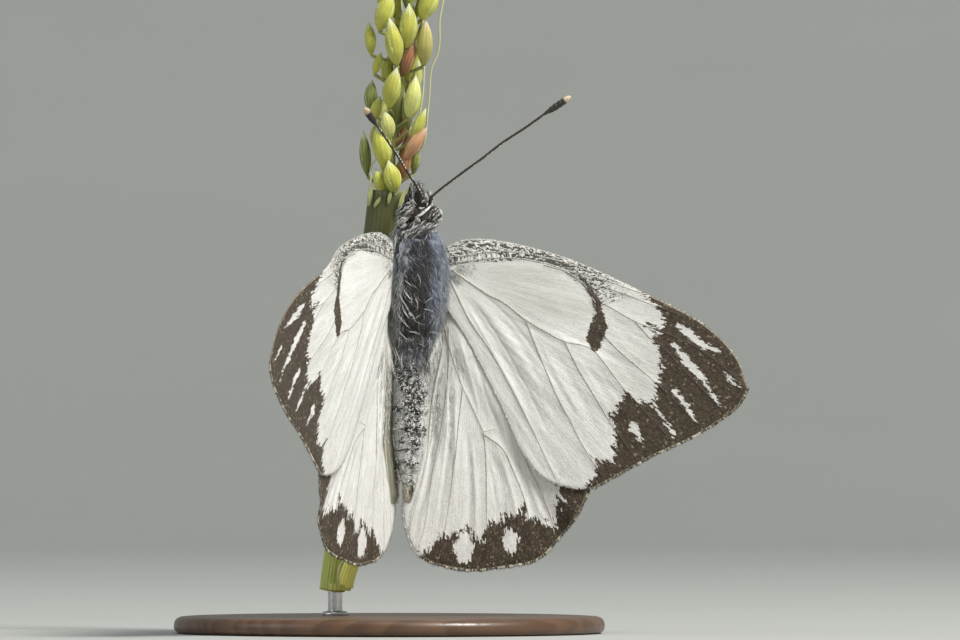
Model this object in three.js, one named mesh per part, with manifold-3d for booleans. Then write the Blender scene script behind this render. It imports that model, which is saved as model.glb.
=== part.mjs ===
// A male brown-veined white butterfly (Belenois aurota) as a still, life-size
// display model: it clings head-up to a short cut length of grass with its wings
// half open, and the cut stem stands on a short rod over a flat round base.
//
// Millimetres, +Z up. The back of the butterfly faces -Y, its right side is +X.
// The base stands on z = 0 and the origin is the centre of its underside.
//
// The butterfly and its perch are laid out in a body frame (origin inside the
// thorax at the wing roots, +Z to the head, -Y out of the back) and the whole
// figure is then leaned sideways a little over the stand.

import * as THREE from 'three';
import { mergeVertices } from 'three/addons/utils/BufferGeometryUtils.js';
import Module from 'manifold-3d';

const wasm = await Module();
wasm.setup();

const { Vector2, Vector3, CatmullRomCurve3 } = THREE;
const deg = Math.PI / 180;

// ---------------------------------------------------------------- sizes (mm)

const GAP = 0.15;               // clearance between pieces that touch on the animal

// whole figure over the stand
const BODY_HEIGHT = 26.04;      // wing roots above the floor
const BODY_SHIFT = [0.4, -2.6]; // wing roots from the centre of the base, X and Y
const LEAN = 3.4 * deg;         // sideways lean of the figure, head towards its right
const LEAN_AXIS_AZ = -33 * deg; // direction of the level axis the figure leans about

// stand
const BASE_R = 15.0;
const BASE_T = 1.2;
const BASE_CHAMFER = 0.25;
const ROD_R = 0.5;
const STAND_GAP = 0.15;

// wings: both are hinged at the same line and raised over the back
const ROOT_X = 2.37;            // wing roots out from the middle
const FORE_ROOT_H = 0.9;        // wing planes above the body axis at the roots
const HIND_ROOT_H = 0.85;
const FORE_RAISE = 35.5 * deg;
const HIND_RAISE = 30.5 * deg;
const SHEET_OVER = 0.46;        // forewing solid above its own mid surface
const SHEET_UNDER = 0.06;       // and below it; the hindwing has them the other way up
const WING_LAP = 0.28;          // hindwing mid surface under the forewing's

// forewing outline, wing plane: u outwards from the root, v towards the head
const FORE = {
  costaRoot: [0.1, 0.7], costaShoulder: [0.75, 1.46], costaBulge: [2.7, 1.62],
  costaThird: [7.6, 0.78], costaHalf: [13.3, -1.29], costaFar: [17.9, -3.38],
  apexShoulder: [20.25, -5.52], apex: [21.18, -7.6],
  apexUnder: [20.55, -8.85], outerUpper: [18.05, -10.85], outerMid: [14.75, -12.7],
  outerLow: [12.45, -14.15], tornus: [10.9, -15.15],
  tornusUnder: [9.4, -15.2], innerLow: [7.5, -14.7], innerBend: [6.05, -13.3],
  innerMid: [4.0, -9.5], innerUp: [1.3, -5.0], innerRoot: [0.1, -2.6],
};

// hindwing outline, its own wing plane
const HIND = {
  costaRoot: [0.35, -1.5], costaShoulder: [3.6, -2.4], costaMid: [7.6, -6.0],
  costaFar: [9.9, -10.0], apex: [10.75, -13.0],
  outerUpper: [10.55, -15.2], outerHigh: [9.85, -17.05], outerMid: [8.55, -18.95],
  outerTurn: [7.3, -20.3], outerLow: [4.7, -21.0], outerFoot: [2.6, -21.32],
  tornus: [0.2, -21.05],
  analTurn: [-1.1, -20.3], analAngle: [-1.9, -19.2], analLow: [-2.3, -17.7],
  analIn: [-1.75, -15.4], innerMid: [-0.9, -12.4], innerUp: [-0.55, -8.6], innerRoot: [0.2, -3.9],
};

// body, in the body frame
const THORAX = { centre: [0, -0.05, -1.7], radii: [2.26, 2.25, 3.8], fullness: 2.95 };
const COLLAR = { centre: [0, 0, 1.72], radii: [1.74, 1.58, 0.86] };   // its front, between the shoulders and the head
const HEAD = { centre: [0, -0.12, 3.22], radii: [1.32, 1.28, 1.02] };
const EYE = { centre: [1.0, -0.38, 3.12], radii: [0.6, 0.8, 0.68] };
const ABDOMEN = {
  path: [[0, 0.0, -5.62], [0.0, -0.22, -8.0], [0.05, -0.42, -10.6], [0.1, -0.66, -13.4], [0.15, -0.92, -16.9]],
  radius: [[0, 0.98], [0.05, 1.24], [0.2, 1.38], [0.4, 1.33], [0.62, 1.16], [0.82, 0.86], [0.93, 0.58], [1, 0.27]],
};
const PALP = { root: [0.40, 0.5, 3.95], mid: [0.46, 0.38, 4.65], tip: [0.34, 0.1, 5.3], r: 0.25 };
const PROBOSCIS = { centre: [0, 1.18, 4.02], ring: 0.36, r: 0.26 };
const ANTENNA = {
  root: [0.42, -1.1, 4.32],
  right: [8.02, -4.6, 7.58], left: [-8.02, -4.6, 5.78],   // root to tip
  bow: 0.42, shaft: 0.26, club: 0.33, clubFrom: 0.76,
};

// perch: a straight grass culm behind the body, nearer to it at the head
const STEM = {
  offset: 4.71, rake: 7.2 * deg,      // behind the body axis at the wing roots, and its lean
  top: 4.6, bottom: -23.4,            // culm with its leaf sheath, along the body axis
  rTop: 1.22, rBottom: 1.08,
};
const SEEDHEAD = { top: 21.4, rachis: 0.42, count: 20, first: 4.6, length: 3.1, width: 0.62, reach: 1.75 };
const SIDE_SHEATH = { from: -22.9, to: -15.5, out: 1.5, r: 0.72, turn: 62 * deg };

// legs: coxa, knee, shin end, foot end on the stem, right side
const LEG = {
  fore: [[0.62, 2.35, 0.7], [1.85, 2.6, 1.0], [1.9, 3.8, 0.8], [1.56, 4.95, -0.8]],
  mid: [[0.95, 2.42, -1.2], [2.6, 2.65, -1.3], [2.15, 4.2, -1.9], [1.54, 5.3, -3.5]],
  hind: [[0.8, 2.4, -3.2], [2.25, 2.9, -4.9], [2.0, 4.5, -6.2], [1.54, 5.9, -8.2]],
};
const LEG_R = { thigh: 0.34, shin: 0.27, foot: 0.25 };

// ------------------------------------------------------------------ helpers

// Merge the seam vertices of a closed shape and turn its faces outwards.
function closed(geometry) {
  geometry.deleteAttribute('normal');
  geometry.deleteAttribute('uv');
  const g = mergeVertices(geometry, 1e-5);
  const p = g.attributes.position;
  const keep = [];
  let volume = 0;
  const a = new Vector3(), b = new Vector3(), c = new Vector3();
  for (let i = 0; i < g.index.count; i += 3) {
    const [x, y, z] = [g.index.getX(i), g.index.getX(i + 1), g.index.getX(i + 2)];
    if (x === y || y === z || z === x) continue;
    keep.push(x, y, z);
    volume += a.fromBufferAttribute(p, x).dot(b.fromBufferAttribute(p, y).cross(c.fromBufferAttribute(p, z)));
  }
  if (volume < 0) for (let i = 0; i < keep.length; i += 3) [keep[i + 1], keep[i + 2]] = [keep[i + 2], keep[i + 1]];
  g.setIndex(keep);
  return g;
}

// Move every vertex of a shape through a function.
function mapped(geometry, move) {
  const p = geometry.attributes.position;
  const v = new Vector3();
  for (let i = 0; i < p.count; i++) {
    v.fromBufferAttribute(p, i);
    const q = move(v);
    p.setXYZ(i, q.x, q.y, q.z);
  }
  return geometry;
}

const smooth = (a, b, x) => { const t = Math.min(1, Math.max(0, (x - a) / (b - a))); return t * t * (3 - 2 * t); };

// Smooth value from a short table of [position, value] rows.
function along(table, t) {
  for (let i = 1; i < table.length; i++) {
    if (t <= table[i][0]) {
      const [t0, v0] = table[i - 1], [t1, v1] = table[i];
      const k = (t - t0) / (t1 - t0);
      return v0 + (v1 - v0) * k;
    }
  }
  return table[table.length - 1][1];
}

// A round bar along a curve; radius(t) may be a number or [side, depth].
function bar(curve, radius, sides, steps, spacing = (t) => t) {
  const frames = [];
  let normal = null;
  for (let i = 0; i <= steps; i++) {
    const t = spacing(i / steps);
    const at = curve.getPoint(t), tangent = curve.getTangent(t);
    if (!normal) {
      normal = Math.abs(tangent.x) < 0.8 ? new Vector3(1, 0, 0) : new Vector3(0, 1, 0);
    }
    normal = normal.clone().addScaledVector(tangent, -normal.dot(tangent)).normalize();
    frames.push({ at, tangent, normal, other: tangent.clone().cross(normal), r: radius(t) });
  }
  const g = new THREE.CylinderGeometry(1, 1, 1, sides, steps, false);
  mapped(g, (v) => {
    const f = frames[Math.round((v.y + 0.5) * steps)];
    const [rx, ry] = Array.isArray(f.r) ? f.r : [f.r, f.r];
    return f.at.clone().addScaledVector(f.normal, v.x * rx).addScaledVector(f.other, v.z * ry);
  });
  return closed(g);
}

// An egg shape; exponent above 2 makes it fuller towards its ends.
function egg(centre, radii, wide, high, exponent = 2) {
  const g = new THREE.SphereGeometry(1, wide, high);
  g.rotateX(Math.PI / 2);
  mapped(g, (v) => {
    const z = v.z, ring = Math.hypot(v.x, v.y);
    const full = Math.pow(Math.max(0, 1 - Math.pow(Math.abs(z), exponent)), 1 / exponent);
    const k = ring > 1e-6 ? full / ring : 0;
    return new Vector3(centre[0] + v.x * k * radii[0], centre[1] + v.y * k * radii[1], centre[2] + z * radii[2]);
  });
  return closed(g);
}

const toSolid = (g) => new wasm.Manifold(new wasm.Mesh({
  numProp: 3,
  vertProperties: Float32Array.from(g.attributes.position.array),
  triVerts: Uint32Array.from(g.index.array),
}));

function fromSolid(solid) {
  const mesh = solid.getMesh();
  const g = new THREE.BufferGeometry();
  g.setAttribute('position', new THREE.BufferAttribute(Float32Array.from(mesh.vertProperties), 3));
  g.setIndex(Array.from(mesh.triVerts));
  return g;
}

const v3 = (p) => new Vector3(p[0], p[1], p[2]);
const mirror = (p) => [-p[0], p[1], p[2]];

const figure = new THREE.Group();
const model = new THREE.Group();
model.add(figure);

function add(name, geometry, look, parent = figure) {
  geometry.computeVertexNormals();
  const material = new THREE.MeshStandardMaterial({ color: look[0], roughness: look[1], metalness: look[2] ?? 0, flatShading: true });
  const mesh = new THREE.Mesh(geometry, material);
  mesh.name = name;
  parent.add(mesh);
  return mesh;
}

const LOOK = {
  wing: [0xdedcd6, 0.75], hair: [0x6d7078, 0.9], abdomen: [0x8a8882, 0.85], eye: [0x3c3a34, 0.25],
  antenna: [0x2a2622, 0.6], palp: [0x8e8c88, 0.9], leg: [0x8d887c, 0.8],
  grass: [0x7d8044, 0.6], seed: [0xa3a44e, 0.6], wood: [0x4b2f1e, 0.5], steel: [0xb8bcc0, 0.3, 1],
};

// -------------------------------------------------------------------- wings

const flat = (names, table) => new THREE.CatmullRomCurve3(names.map((n) => new Vector3(table[n][0], table[n][1], 0)), false, 'centripetal');

// Soft rise of the forewing surface over its plane: the disc is domed, the
// costa is turned down along its inner half, the tip droops a little.
function foreHeight(u, v) {
  const x = u - 5.5;
  const costa = 1.75 - 0.37 * (x + Math.sqrt(x * x + 9)) / 2;
  const fromCosta = Math.max(0, (costa - v) * 0.92);
  const r = Math.hypot(u, v + 0.6);
  const dome = 0.45 * Math.exp(-((u - 9.5) ** 2 + (v + 5) ** 2) / 45);
  const turnDown = 0.7 * Math.exp(-fromCosta / 1.6) * (1 - smooth(8, 13, u));
  return dome - (1 - Math.exp(-r / 2.5)) * turnDown - 0.1 * (r / 21) ** 2;
}

// The hindwing is nearly flat, a little domed, with its anal lobe lifted, and
// where it slides under the forewing it stays below it.
function hindHeight(u, v) {
  const dome = 0.18 * Math.exp(-((u - 4.5) ** 2 + (v + 13) ** 2) / 30);
  const lobe = 0.25 * smooth(1.5, -2.2, u) * smooth(-14, -17.5, v);
  const upper = 0.25 * smooth(7, 11, u) * smooth(-13, -16, v);
  const fold = 0.3 * smooth(0.6, -0.8, u) * smooth(-15, -12, v) * smooth(-2, -5, v);
  const costal = 0.35 * Math.exp(-distanceToHindCosta(u, v) / 2.0);
  let h = dome + lobe + upper - fold - costal;
  // the same spot seen in the forewing's plane
  const c = Math.cos(HIND_RAISE), s = Math.sin(HIND_RAISE), C = Math.cos(FORE_RAISE), S = Math.sin(FORE_RAISE);
  const du = u * c - h * s, dn = HIND_ROOT_H + u * s + h * c - FORE_ROOT_H;
  const uF = du * C + dn * S, nF = -du * S + dn * C;
  const past = -(0.8 * (uF - 0.1) + 0.6 * (v + 2.6));          // beyond the forewing's inner margin
  const limit = foreHeight(uF, v) - WING_LAP + 0.45 * Math.max(0, past - 0.4);
  if (nF > limit) h -= (nF - limit) / Math.cos(FORE_RAISE - HIND_RAISE);
  return h;
}

function distanceToHindCosta(u, v) {
  // costa runs close to a quarter ellipse from the root to the apex
  const x = u / 11.4, y = Math.max(0, (v + 13.2) / 11.9);
  return Math.max(0, (1 - Math.hypot(x, y)) * 9);
}

// A wing solid: a thick sheet whose four edges follow the costa, the outer
// margin, the inner margin and the root.
function wingSheet(edges, height, under, over, side, rootH, raise, nOut, nAcross) {
  const [costa, outer, inner, root] = edges;          // inner and root run like costa and outer
  const g = new THREE.BoxGeometry(1, 1, 1, nOut, nAcross, 1);
  const c = Math.cos(raise), s = Math.sin(raise);
  mapped(g, (p) => {
    const t = p.x + 0.5, w = p.y + 0.5;
    const C = costa.getPoint(t), I = inner.getPoint(t), O = outer.getPoint(w), B = root.getPoint(w);
    const P00 = costa.getPoint(0), P10 = costa.getPoint(1), P01 = inner.getPoint(0), P11 = inner.getPoint(1);
    const at = (k) => (1 - w) * C[k] + w * I[k] + (1 - t) * B[k] + t * O[k]
      - ((1 - w) * (1 - t) * P00[k] + (1 - w) * t * P10[k] + w * (1 - t) * P01[k] + w * t * P11[k]);
    const u = at('x'), v = at('y');
    const h = height(u, v) + (p.z > 0 ? over : -under);
    return new Vector3(side * (ROOT_X + u * c - h * s), -(rootH + u * s + h * c), v);
  });
  return closed(g);
}

const foreEdges = [
  flat(['costaRoot', 'costaShoulder', 'costaBulge', 'costaThird', 'costaHalf', 'costaFar', 'apexShoulder', 'apex'], FORE),
  flat(['apex', 'apexUnder', 'outerUpper', 'outerMid', 'outerLow', 'tornus'], FORE),
  flat(['innerRoot', 'innerUp', 'innerMid', 'innerBend', 'innerLow', 'tornusUnder', 'tornus'], FORE),
  flat(['costaRoot', 'innerRoot'], FORE),
];
const hindEdges = [
  flat(['costaRoot', 'costaShoulder', 'costaMid', 'costaFar', 'apex'], HIND),
  flat(['apex', 'outerUpper', 'outerHigh', 'outerMid', 'outerTurn', 'outerLow', 'outerFoot', 'tornus'], HIND),
  flat(['innerRoot', 'innerUp', 'innerMid', 'analIn', 'analLow', 'analAngle', 'analTurn', 'tornus'], HIND),
  flat(['costaRoot', 'innerRoot'], HIND),
];

for (const [name, side] of [['right', 1], ['left', -1]]) {
  add(`forewing_${name}`, wingSheet(foreEdges, foreHeight, SHEET_UNDER, SHEET_OVER, side, FORE_ROOT_H, FORE_RAISE, 18, 9), LOOK.wing);
  add(`hindwing_${name}`, wingSheet(hindEdges, hindHeight, SHEET_OVER, SHEET_UNDER, side, HIND_ROOT_H, HIND_RAISE, 16, 10), LOOK.wing);
}

// --------------------------------------------------------------------- body

const eyeCut = (side, grow) => toSolid(egg([side * EYE.centre[0], EYE.centre[1], EYE.centre[2]], EYE.radii.map((r) => r + grow), 12, 8));

const thoraxSolid = (grow) => toSolid(egg(THORAX.centre, THORAX.radii.map((r) => r + grow), 20, 14, THORAX.fullness))
  .add(toSolid(egg(COLLAR.centre, COLLAR.radii.map((r) => r + grow), 16, 8)));
add('thorax', fromSolid(thoraxSolid(0)), LOOK.hair);

let headSolid = toSolid(egg(HEAD.centre, HEAD.radii, 18, 12, 2.2));
headSolid = headSolid.subtract(eyeCut(1, GAP)).subtract(eyeCut(-1, GAP));
headSolid = headSolid.subtract(thoraxSolid(GAP));
add('head', fromSolid(headSolid), LOOK.hair);

for (const [name, side] of [['right', 1], ['left', -1]]) {
  add(`eye_${name}`, egg([side * EYE.centre[0], EYE.centre[1], EYE.centre[2]], EYE.radii, 14, 9), LOOK.eye);
}

const abdomenPath = new CatmullRomCurve3(ABDOMEN.path.map(v3));
add('abdomen', bar(abdomenPath, (t) => along(ABDOMEN.radius, t), 14, 14), LOOK.abdomen);

for (const [name, side] of [['right', 1], ['left', -1]]) {
  const pick = (p) => v3(side > 0 ? p : mirror(p));
  const path = new CatmullRomCurve3([pick(PALP.root), pick(PALP.mid), pick(PALP.tip)]);
  let solid = toSolid(bar(path, (t) => PALP.r * (0.95 + 0.35 * Math.sin(Math.PI * t)) * (t > 0.95 ? 0.8 : 1), 8, 6));
  solid = solid.subtract(toSolid(egg(HEAD.centre, HEAD.radii.map((r) => r + GAP), 20, 14, 2.2)));
  add(`palp_${name}`, fromSolid(solid), LOOK.palp);
}

// the coiled tongue under the head, a ring standing in the middle plane
{
  const ring = new THREE.TorusGeometry(PROBOSCIS.ring, PROBOSCIS.r, 7, 12);
  ring.rotateY(Math.PI / 2);
  ring.translate(...PROBOSCIS.centre);
  const hub = new THREE.CylinderGeometry(PROBOSCIS.ring, PROBOSCIS.ring, PROBOSCIS.r * 1.2, 12);
  hub.rotateZ(Math.PI / 2);
  hub.translate(...PROBOSCIS.centre);
  let solid = toSolid(closed(ring)).add(toSolid(closed(hub)));
  solid = solid.subtract(toSolid(egg(HEAD.centre, HEAD.radii.map((r) => r + GAP), 20, 14, 2.2)));
  add('proboscis', fromSolid(solid), LOOK.antenna);
}

for (const [name, side] of [['right', 1], ['left', -1]]) {
  const root = v3(side > 0 ? ANTENNA.root : mirror(ANTENNA.root));
  const reach = v3(ANTENNA[name]);
  const tip = root.clone().add(reach);
  const points = [0, 0.22, 0.5, 0.75, 1].map((t) => root.clone().lerp(tip, t).add(new Vector3(0, 0, ANTENNA.bow * 2.6 * t * (1 - t) ** 1.3)));
  const path = new CatmullRomCurve3(points);
  const radius = (t) => ANTENNA.shaft + (ANTENNA.club - ANTENNA.shaft) * smooth(ANTENNA.clubFrom, 0.9, t) * (t > 0.985 ? 0.75 : 1);
  add(`antenna_${name}`, bar(path, radius, 6, 14), LOOK.antenna);
}

// --------------------------------------------------------------------- legs

for (const [name, side] of [['right', 1], ['left', -1]]) {
  for (const which of ['fore', 'mid', 'hind']) {
    const pts = LEG[which].map((p) => v3(side > 0 ? p : mirror(p)));
    // thigh, shin and foot with rounded turns between them
    const path = new THREE.CurvePath();
    const line = [pts[0]];
    for (let i = 1; i < pts.length - 1; i++) {
      line.push(pts[i].clone().lerp(pts[i - 1], 0.16), pts[i], pts[i].clone().lerp(pts[i + 1], 0.16));
    }
    line.push(pts[pts.length - 1]);
    const curve = new CatmullRomCurve3(line, false, 'centripetal');
    const radius = (t) => LEG_R.thigh + (LEG_R.shin - LEG_R.thigh) * smooth(0.25, 0.45, t) + (LEG_R.foot - LEG_R.shin) * smooth(0.6, 0.8, t);
    add(`${which}leg_${name}`, bar(curve, radius, 6, 12), LOOK.leg);
  }
}

// -------------------------------------------------------------------- perch

const stemY = (z) => STEM.offset - Math.tan(STEM.rake) * z;
const onStem = (z) => new Vector3(0, stemY(z), z);

{
  const culm = new THREE.LineCurve3(onStem(STEM.bottom), onStem(STEM.top));
  const swell = (t) => STEM.rBottom + (STEM.rTop - STEM.rBottom) * t + 0.1 * Math.exp(-(((t - 0.93) / 0.03) ** 2)) - 0.25 * smooth(0.965, 1, t);
  let solid = toSolid(bar(culm, swell, 12, 11));
  const rachis = new THREE.LineCurve3(onStem(STEM.top - 1), onStem(SEEDHEAD.top - 1.5));
  solid = solid.add(toSolid(bar(rachis, (t) => SEEDHEAD.rachis * (1 - 0.35 * t), 8, 2)));
  // a young leaf sheath that parts from the culm
  const turn = SIDE_SHEATH.turn;
  const side = [0, 0.25, 0.6, 1].map((t) => {
    const z = SIDE_SHEATH.from + (SIDE_SHEATH.to - SIDE_SHEATH.from) * t;
    const out = 0.35 + (SIDE_SHEATH.out - 0.35) * smooth(0, 0.6, t);
    return onStem(z).add(new Vector3(out * Math.sin(turn), -out * Math.cos(turn), 0));
  });
  solid = solid.add(toSolid(bar(new CatmullRomCurve3(side), (t) => SIDE_SHEATH.r * (1 - 0.55 * t * t), 8, 6)));
  // seeds stand in a spiral, close to the rachis, pointing upwards
  for (let i = 0; i < SEEDHEAD.count; i++) {
    const k = i / (SEEDHEAD.count - 1);
    const z = SEEDHEAD.first + (SEEDHEAD.top - SEEDHEAD.first - SEEDHEAD.length) * k;
    const a = i * 137.5 * deg + 0.4;
    const reach = SEEDHEAD.reach * (1 - 0.35 * k);
    const r = SEEDHEAD.width * (1 - 0.12 * k);
    const foot = onStem(z).add(new Vector3(0.2 * Math.cos(a), 0.2 * Math.sin(a), 0));
    const middle = onStem(z + SEEDHEAD.length * 0.45).add(new Vector3(reach * Math.cos(a), reach * Math.sin(a), 0));
    const tip = onStem(z + SEEDHEAD.length).add(new Vector3((reach + 0.1) * Math.cos(a), (reach + 0.1) * Math.sin(a), 0));
    const path = new CatmullRomCurve3([foot, middle, tip]);
    solid = solid.add(toSolid(bar(path, (t) => r * Math.max(0.28, Math.sin(Math.PI * Math.min(1, 0.1 + 0.88 * t)) ** 0.8), 5, 4)));
  }
  // nothing of the perch reaches into the butterfly
  const clear = [
    egg(HEAD.centre, [HEAD.radii[0] + 0.4, HEAD.radii[1] + 0.35, HEAD.radii[2] + 0.35], 12, 8),
    egg([0, 0.3, 5.2], [1.0, 0.8, 1.45], 12, 8),
    egg([0, 1.18, 4.02], [0.5, 0.85, 0.85], 10, 8),
  ];
  for (const c of clear) solid = solid.subtract(toSolid(c));
  for (const n of [1, -1]) {
    const root = v3(n > 0 ? ANTENNA.root : mirror(ANTENNA.root));
    const reach = v3(n > 0 ? ANTENNA.right : ANTENNA.left);
    solid = solid.subtract(toSolid(bar(new THREE.LineCurve3(root, root.clone().add(reach)), () => 0.6, 6, 2)));
  }
  add('perch_stem', fromSolid(solid), LOOK.grass);
}

// -------------------------------------------------- leaned figure and stand

const leanAxis = new Vector3(Math.sin(LEAN_AXIS_AZ), -Math.cos(LEAN_AXIS_AZ), 0);
figure.quaternion.setFromAxisAngle(leanAxis, -LEAN);
figure.position.set(BODY_SHIFT[0], BODY_SHIFT[1], BODY_HEIGHT);
figure.updateMatrixWorld(true);

{
  const foot = onStem(STEM.bottom).applyMatrix4(figure.matrixWorld);
  const rodTop = foot.z - STAND_GAP - STEM.rBottom * Math.sin(STEM.rake + LEAN);
  const rod = new THREE.CylinderGeometry(ROD_R, ROD_R, rodTop - BASE_T - STAND_GAP, 16);
  rod.rotateX(Math.PI / 2);
  rod.translate(foot.x, foot.y, (rodTop + BASE_T + STAND_GAP) / 2);
  add('stand_rod', closed(rod), LOOK.steel, model);

  const profile = [
    new Vector2(0, 0), new Vector2(BASE_R - BASE_CHAMFER * 0.6, 0), new Vector2(BASE_R, BASE_CHAMFER * 0.6),
    new Vector2(BASE_R, BASE_T - BASE_CHAMFER), new Vector2(BASE_R - BASE_CHAMFER, BASE_T), new Vector2(0, BASE_T),
  ];
  const disc = new THREE.LatheGeometry(profile, 44);
  disc.rotateX(Math.PI / 2);
  add('stand_base', closed(disc), LOOK.wood, model);
}

export default model;
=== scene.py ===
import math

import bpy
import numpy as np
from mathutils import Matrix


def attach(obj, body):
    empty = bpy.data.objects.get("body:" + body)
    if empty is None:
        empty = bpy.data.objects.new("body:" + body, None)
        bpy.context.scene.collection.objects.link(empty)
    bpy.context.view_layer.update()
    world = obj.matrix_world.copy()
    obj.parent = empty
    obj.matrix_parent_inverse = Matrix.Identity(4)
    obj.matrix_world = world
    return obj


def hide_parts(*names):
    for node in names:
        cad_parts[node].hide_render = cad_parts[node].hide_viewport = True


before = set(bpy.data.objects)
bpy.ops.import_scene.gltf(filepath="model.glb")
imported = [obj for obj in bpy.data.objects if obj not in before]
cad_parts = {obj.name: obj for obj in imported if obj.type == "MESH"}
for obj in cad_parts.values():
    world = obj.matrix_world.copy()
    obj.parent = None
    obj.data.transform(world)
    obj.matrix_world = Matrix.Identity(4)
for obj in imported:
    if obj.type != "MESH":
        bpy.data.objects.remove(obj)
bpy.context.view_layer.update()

# The looks of a male brown-veined white (Belenois aurota): scaled wings with
# their veins and fringe, one skin with its coat of hair, eyes, feelers, tongue,
# the grass stem it grips and a plain wood and steel stand.
#
# Shapes are worked out in millimetres in the body frame of the butterfly
# (origin in the thorax at the wing roots, +X its right, -Y its back, +Z its
# head) and then placed over the stand in metres.

MM = 0.001
DEG = math.pi / 180


# ------------------------------------------------------------------ numbers

def vec(*a):
    return np.array(a, dtype=float)


def unit(v):
    return v / np.maximum(np.linalg.norm(v, axis=-1, keepdims=True), 1e-9)


def dots(a, b):
    return (a * b).sum(-1)


def smooth(a, b, x):
    t = np.clip((x - a) / (b - a), 0, 1)
    return t * t * (3 - 2 * t)


def table(rows, x):
    rows = np.array(rows, float)
    return np.interp(x, rows[:, 0], rows[:, 1])


def turn(axis, angle):
    x, y, z = axis / np.linalg.norm(axis)
    c, s, k = math.cos(angle), math.sin(angle), 1 - math.cos(angle)
    return np.array([
        [c + x * x * k, x * y * k - z * s, x * z * k + y * s],
        [y * x * k + z * s, c + y * y * k, y * z * k - x * s],
        [z * x * k - y * s, z * y * k + x * s, c + z * z * k],
    ])


def lattice(ix, iy, iz, seed):
    m = 0xFFFFFFFF
    h = (ix.astype(np.int64) * 374761393 + iy.astype(np.int64) * 668265263 + iz.astype(np.int64) * 1274126177 + seed * 974634777) & m
    h = ((h ^ (h >> 13)) * 1103515245) & m
    h = ((h ^ (h >> 15)) * 668265263) & m
    return ((h ^ (h >> 16)) & 0xFFFF) / 65535.0


def noise(p, size, seed=0):
    """Smooth random values in 0..1 at points p, with features about size mm across."""
    q = np.asarray(p, float) / size
    i = np.floor(q).astype(np.int64)
    f = q - i
    f = f * f * (3 - 2 * f)
    out = 0
    for dx in (0, 1):
        for dy in (0, 1):
            for dz in (0, 1):
                w = np.abs(1 - dx - f[:, 0]) * np.abs(1 - dy - f[:, 1]) * np.abs(1 - dz - f[:, 2])
                out = out + w * lattice(i[:, 0] + dx, i[:, 1] + dy, i[:, 2] + dz, seed)
    return out


def curve(points, t):
    """A smooth (centripetal) curve through the points, at t in 0..1."""
    p = np.asarray(points, float)
    n = len(p)
    x = np.clip(np.atleast_1d(np.asarray(t, float)), 0, 1) * (n - 1)
    i = np.minimum(np.floor(x).astype(int), n - 2)
    w = (x - i)[:, None]
    q = np.vstack([2 * p[0] - p[1], p, 2 * p[-1] - p[-2]])
    a, b, c, d = q[i], q[i + 1], q[i + 2], q[i + 3]
    root = lambda v: np.maximum(np.sqrt(np.linalg.norm(v, axis=1, keepdims=True)), 1e-4)
    d0, d1, d2 = root(b - a), root(c - b), root(d - c)
    t1 = ((b - a) / d0 - (c - a) / (d0 + d1) + (c - b) / d1) * d1
    t2 = ((c - b) / d1 - (d - b) / (d1 + d2) + (d - c) / d2) * d1
    return b + t1 * w + (-3 * b + 3 * c - 2 * t1 - t2) * w ** 2 + (2 * b - 2 * c + t1 + t2) * w ** 3


def even(points, n, fine=400):
    """n points at even spacing on the smooth curve through the given ones."""
    p = curve(points, np.linspace(0, 1, fine))
    s = np.r_[0, np.cumsum(np.linalg.norm(np.diff(p, axis=0), axis=1))]
    want = np.linspace(0, s[-1], n)
    return np.stack([np.interp(want, s, p[:, k]) for k in range(p.shape[1])], axis=1)


def far(p, line):
    """Distance from points to a polyline, and how far along it (0..1) the nearest place is."""
    line = np.asarray(line, float)
    seg = np.diff(line, axis=0)
    size = np.linalg.norm(seg, axis=1)
    total = size.sum()
    start = np.r_[0, np.cumsum(size)[:-1]]
    best = np.full(len(p), 1e9)
    where = np.zeros(len(p))
    for a, s, l, st in zip(line[:-1], seg, size, start):
        if l < 1e-9:
            continue
        k = np.clip(((p - a) @ s) / (l * l), 0, 1)
        d = np.linalg.norm(p - a - k[:, None] * s, axis=1)
        m = d < best
        best[m] = d[m]
        where[m] = (st + k[m] * l) / total
    return best, where


def inside(p, poly):
    poly = np.asarray(poly, float)
    hit = np.zeros(len(p), bool)
    for (x0, y0), (x1, y1) in zip(poly, np.roll(poly, -1, axis=0)):
        if y0 == y1:
            continue
        crosses = (y0 > p[:, 1]) != (y1 > p[:, 1])
        hit ^= crosses & (p[:, 0] < (x1 - x0) * (p[:, 1] - y0) / (y1 - y0) + x0)
    return hit


def region(p, poly):
    """Signed distance to a closed outline, negative inside."""
    d, _ = far(p, np.vstack([poly, poly[:1]]))
    return np.where(inside(p, poly), -d, d)


def chain(p, rows):
    """Signed distance to a streak: points (x, y, radius) joined by tapering rounded bars."""
    rows = np.asarray(rows, float)
    best = np.full(len(p), 1e9)
    for a, b in zip(rows[:-1], rows[1:]):
        s = b[:2] - a[:2]
        k = np.clip(((p - a[:2]) @ s) / (s @ s), 0, 1)
        d = np.linalg.norm(p - a[:2] - k[:, None] * s, axis=1) - (a[2] + (b[2] - a[2]) * k)
        best = np.minimum(best, d)
    return best


# ------------------------------------------------------- place over the stand

SEEN_RIGHT = vec(math.cos(-33 * DEG), math.sin(-33 * DEG), 0)     # the photo's right, and towards its camera
SEEN_BACK = vec(math.sin(-33 * DEG), -math.cos(-33 * DEG), 0)
LEAN = turn(SEEN_BACK, -3.4 * DEG)
SHIFT = vec(0.4, -2.6, 26.04)
SCALE = 14.4                                                      # photo points per mm, with SHIFT at (414.4, 259)


def place(p):
    return np.asarray(p, float) @ LEAN.T + SHIFT


def unplace(p):
    return (np.asarray(p, float) - SHIFT) @ LEAN


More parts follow.
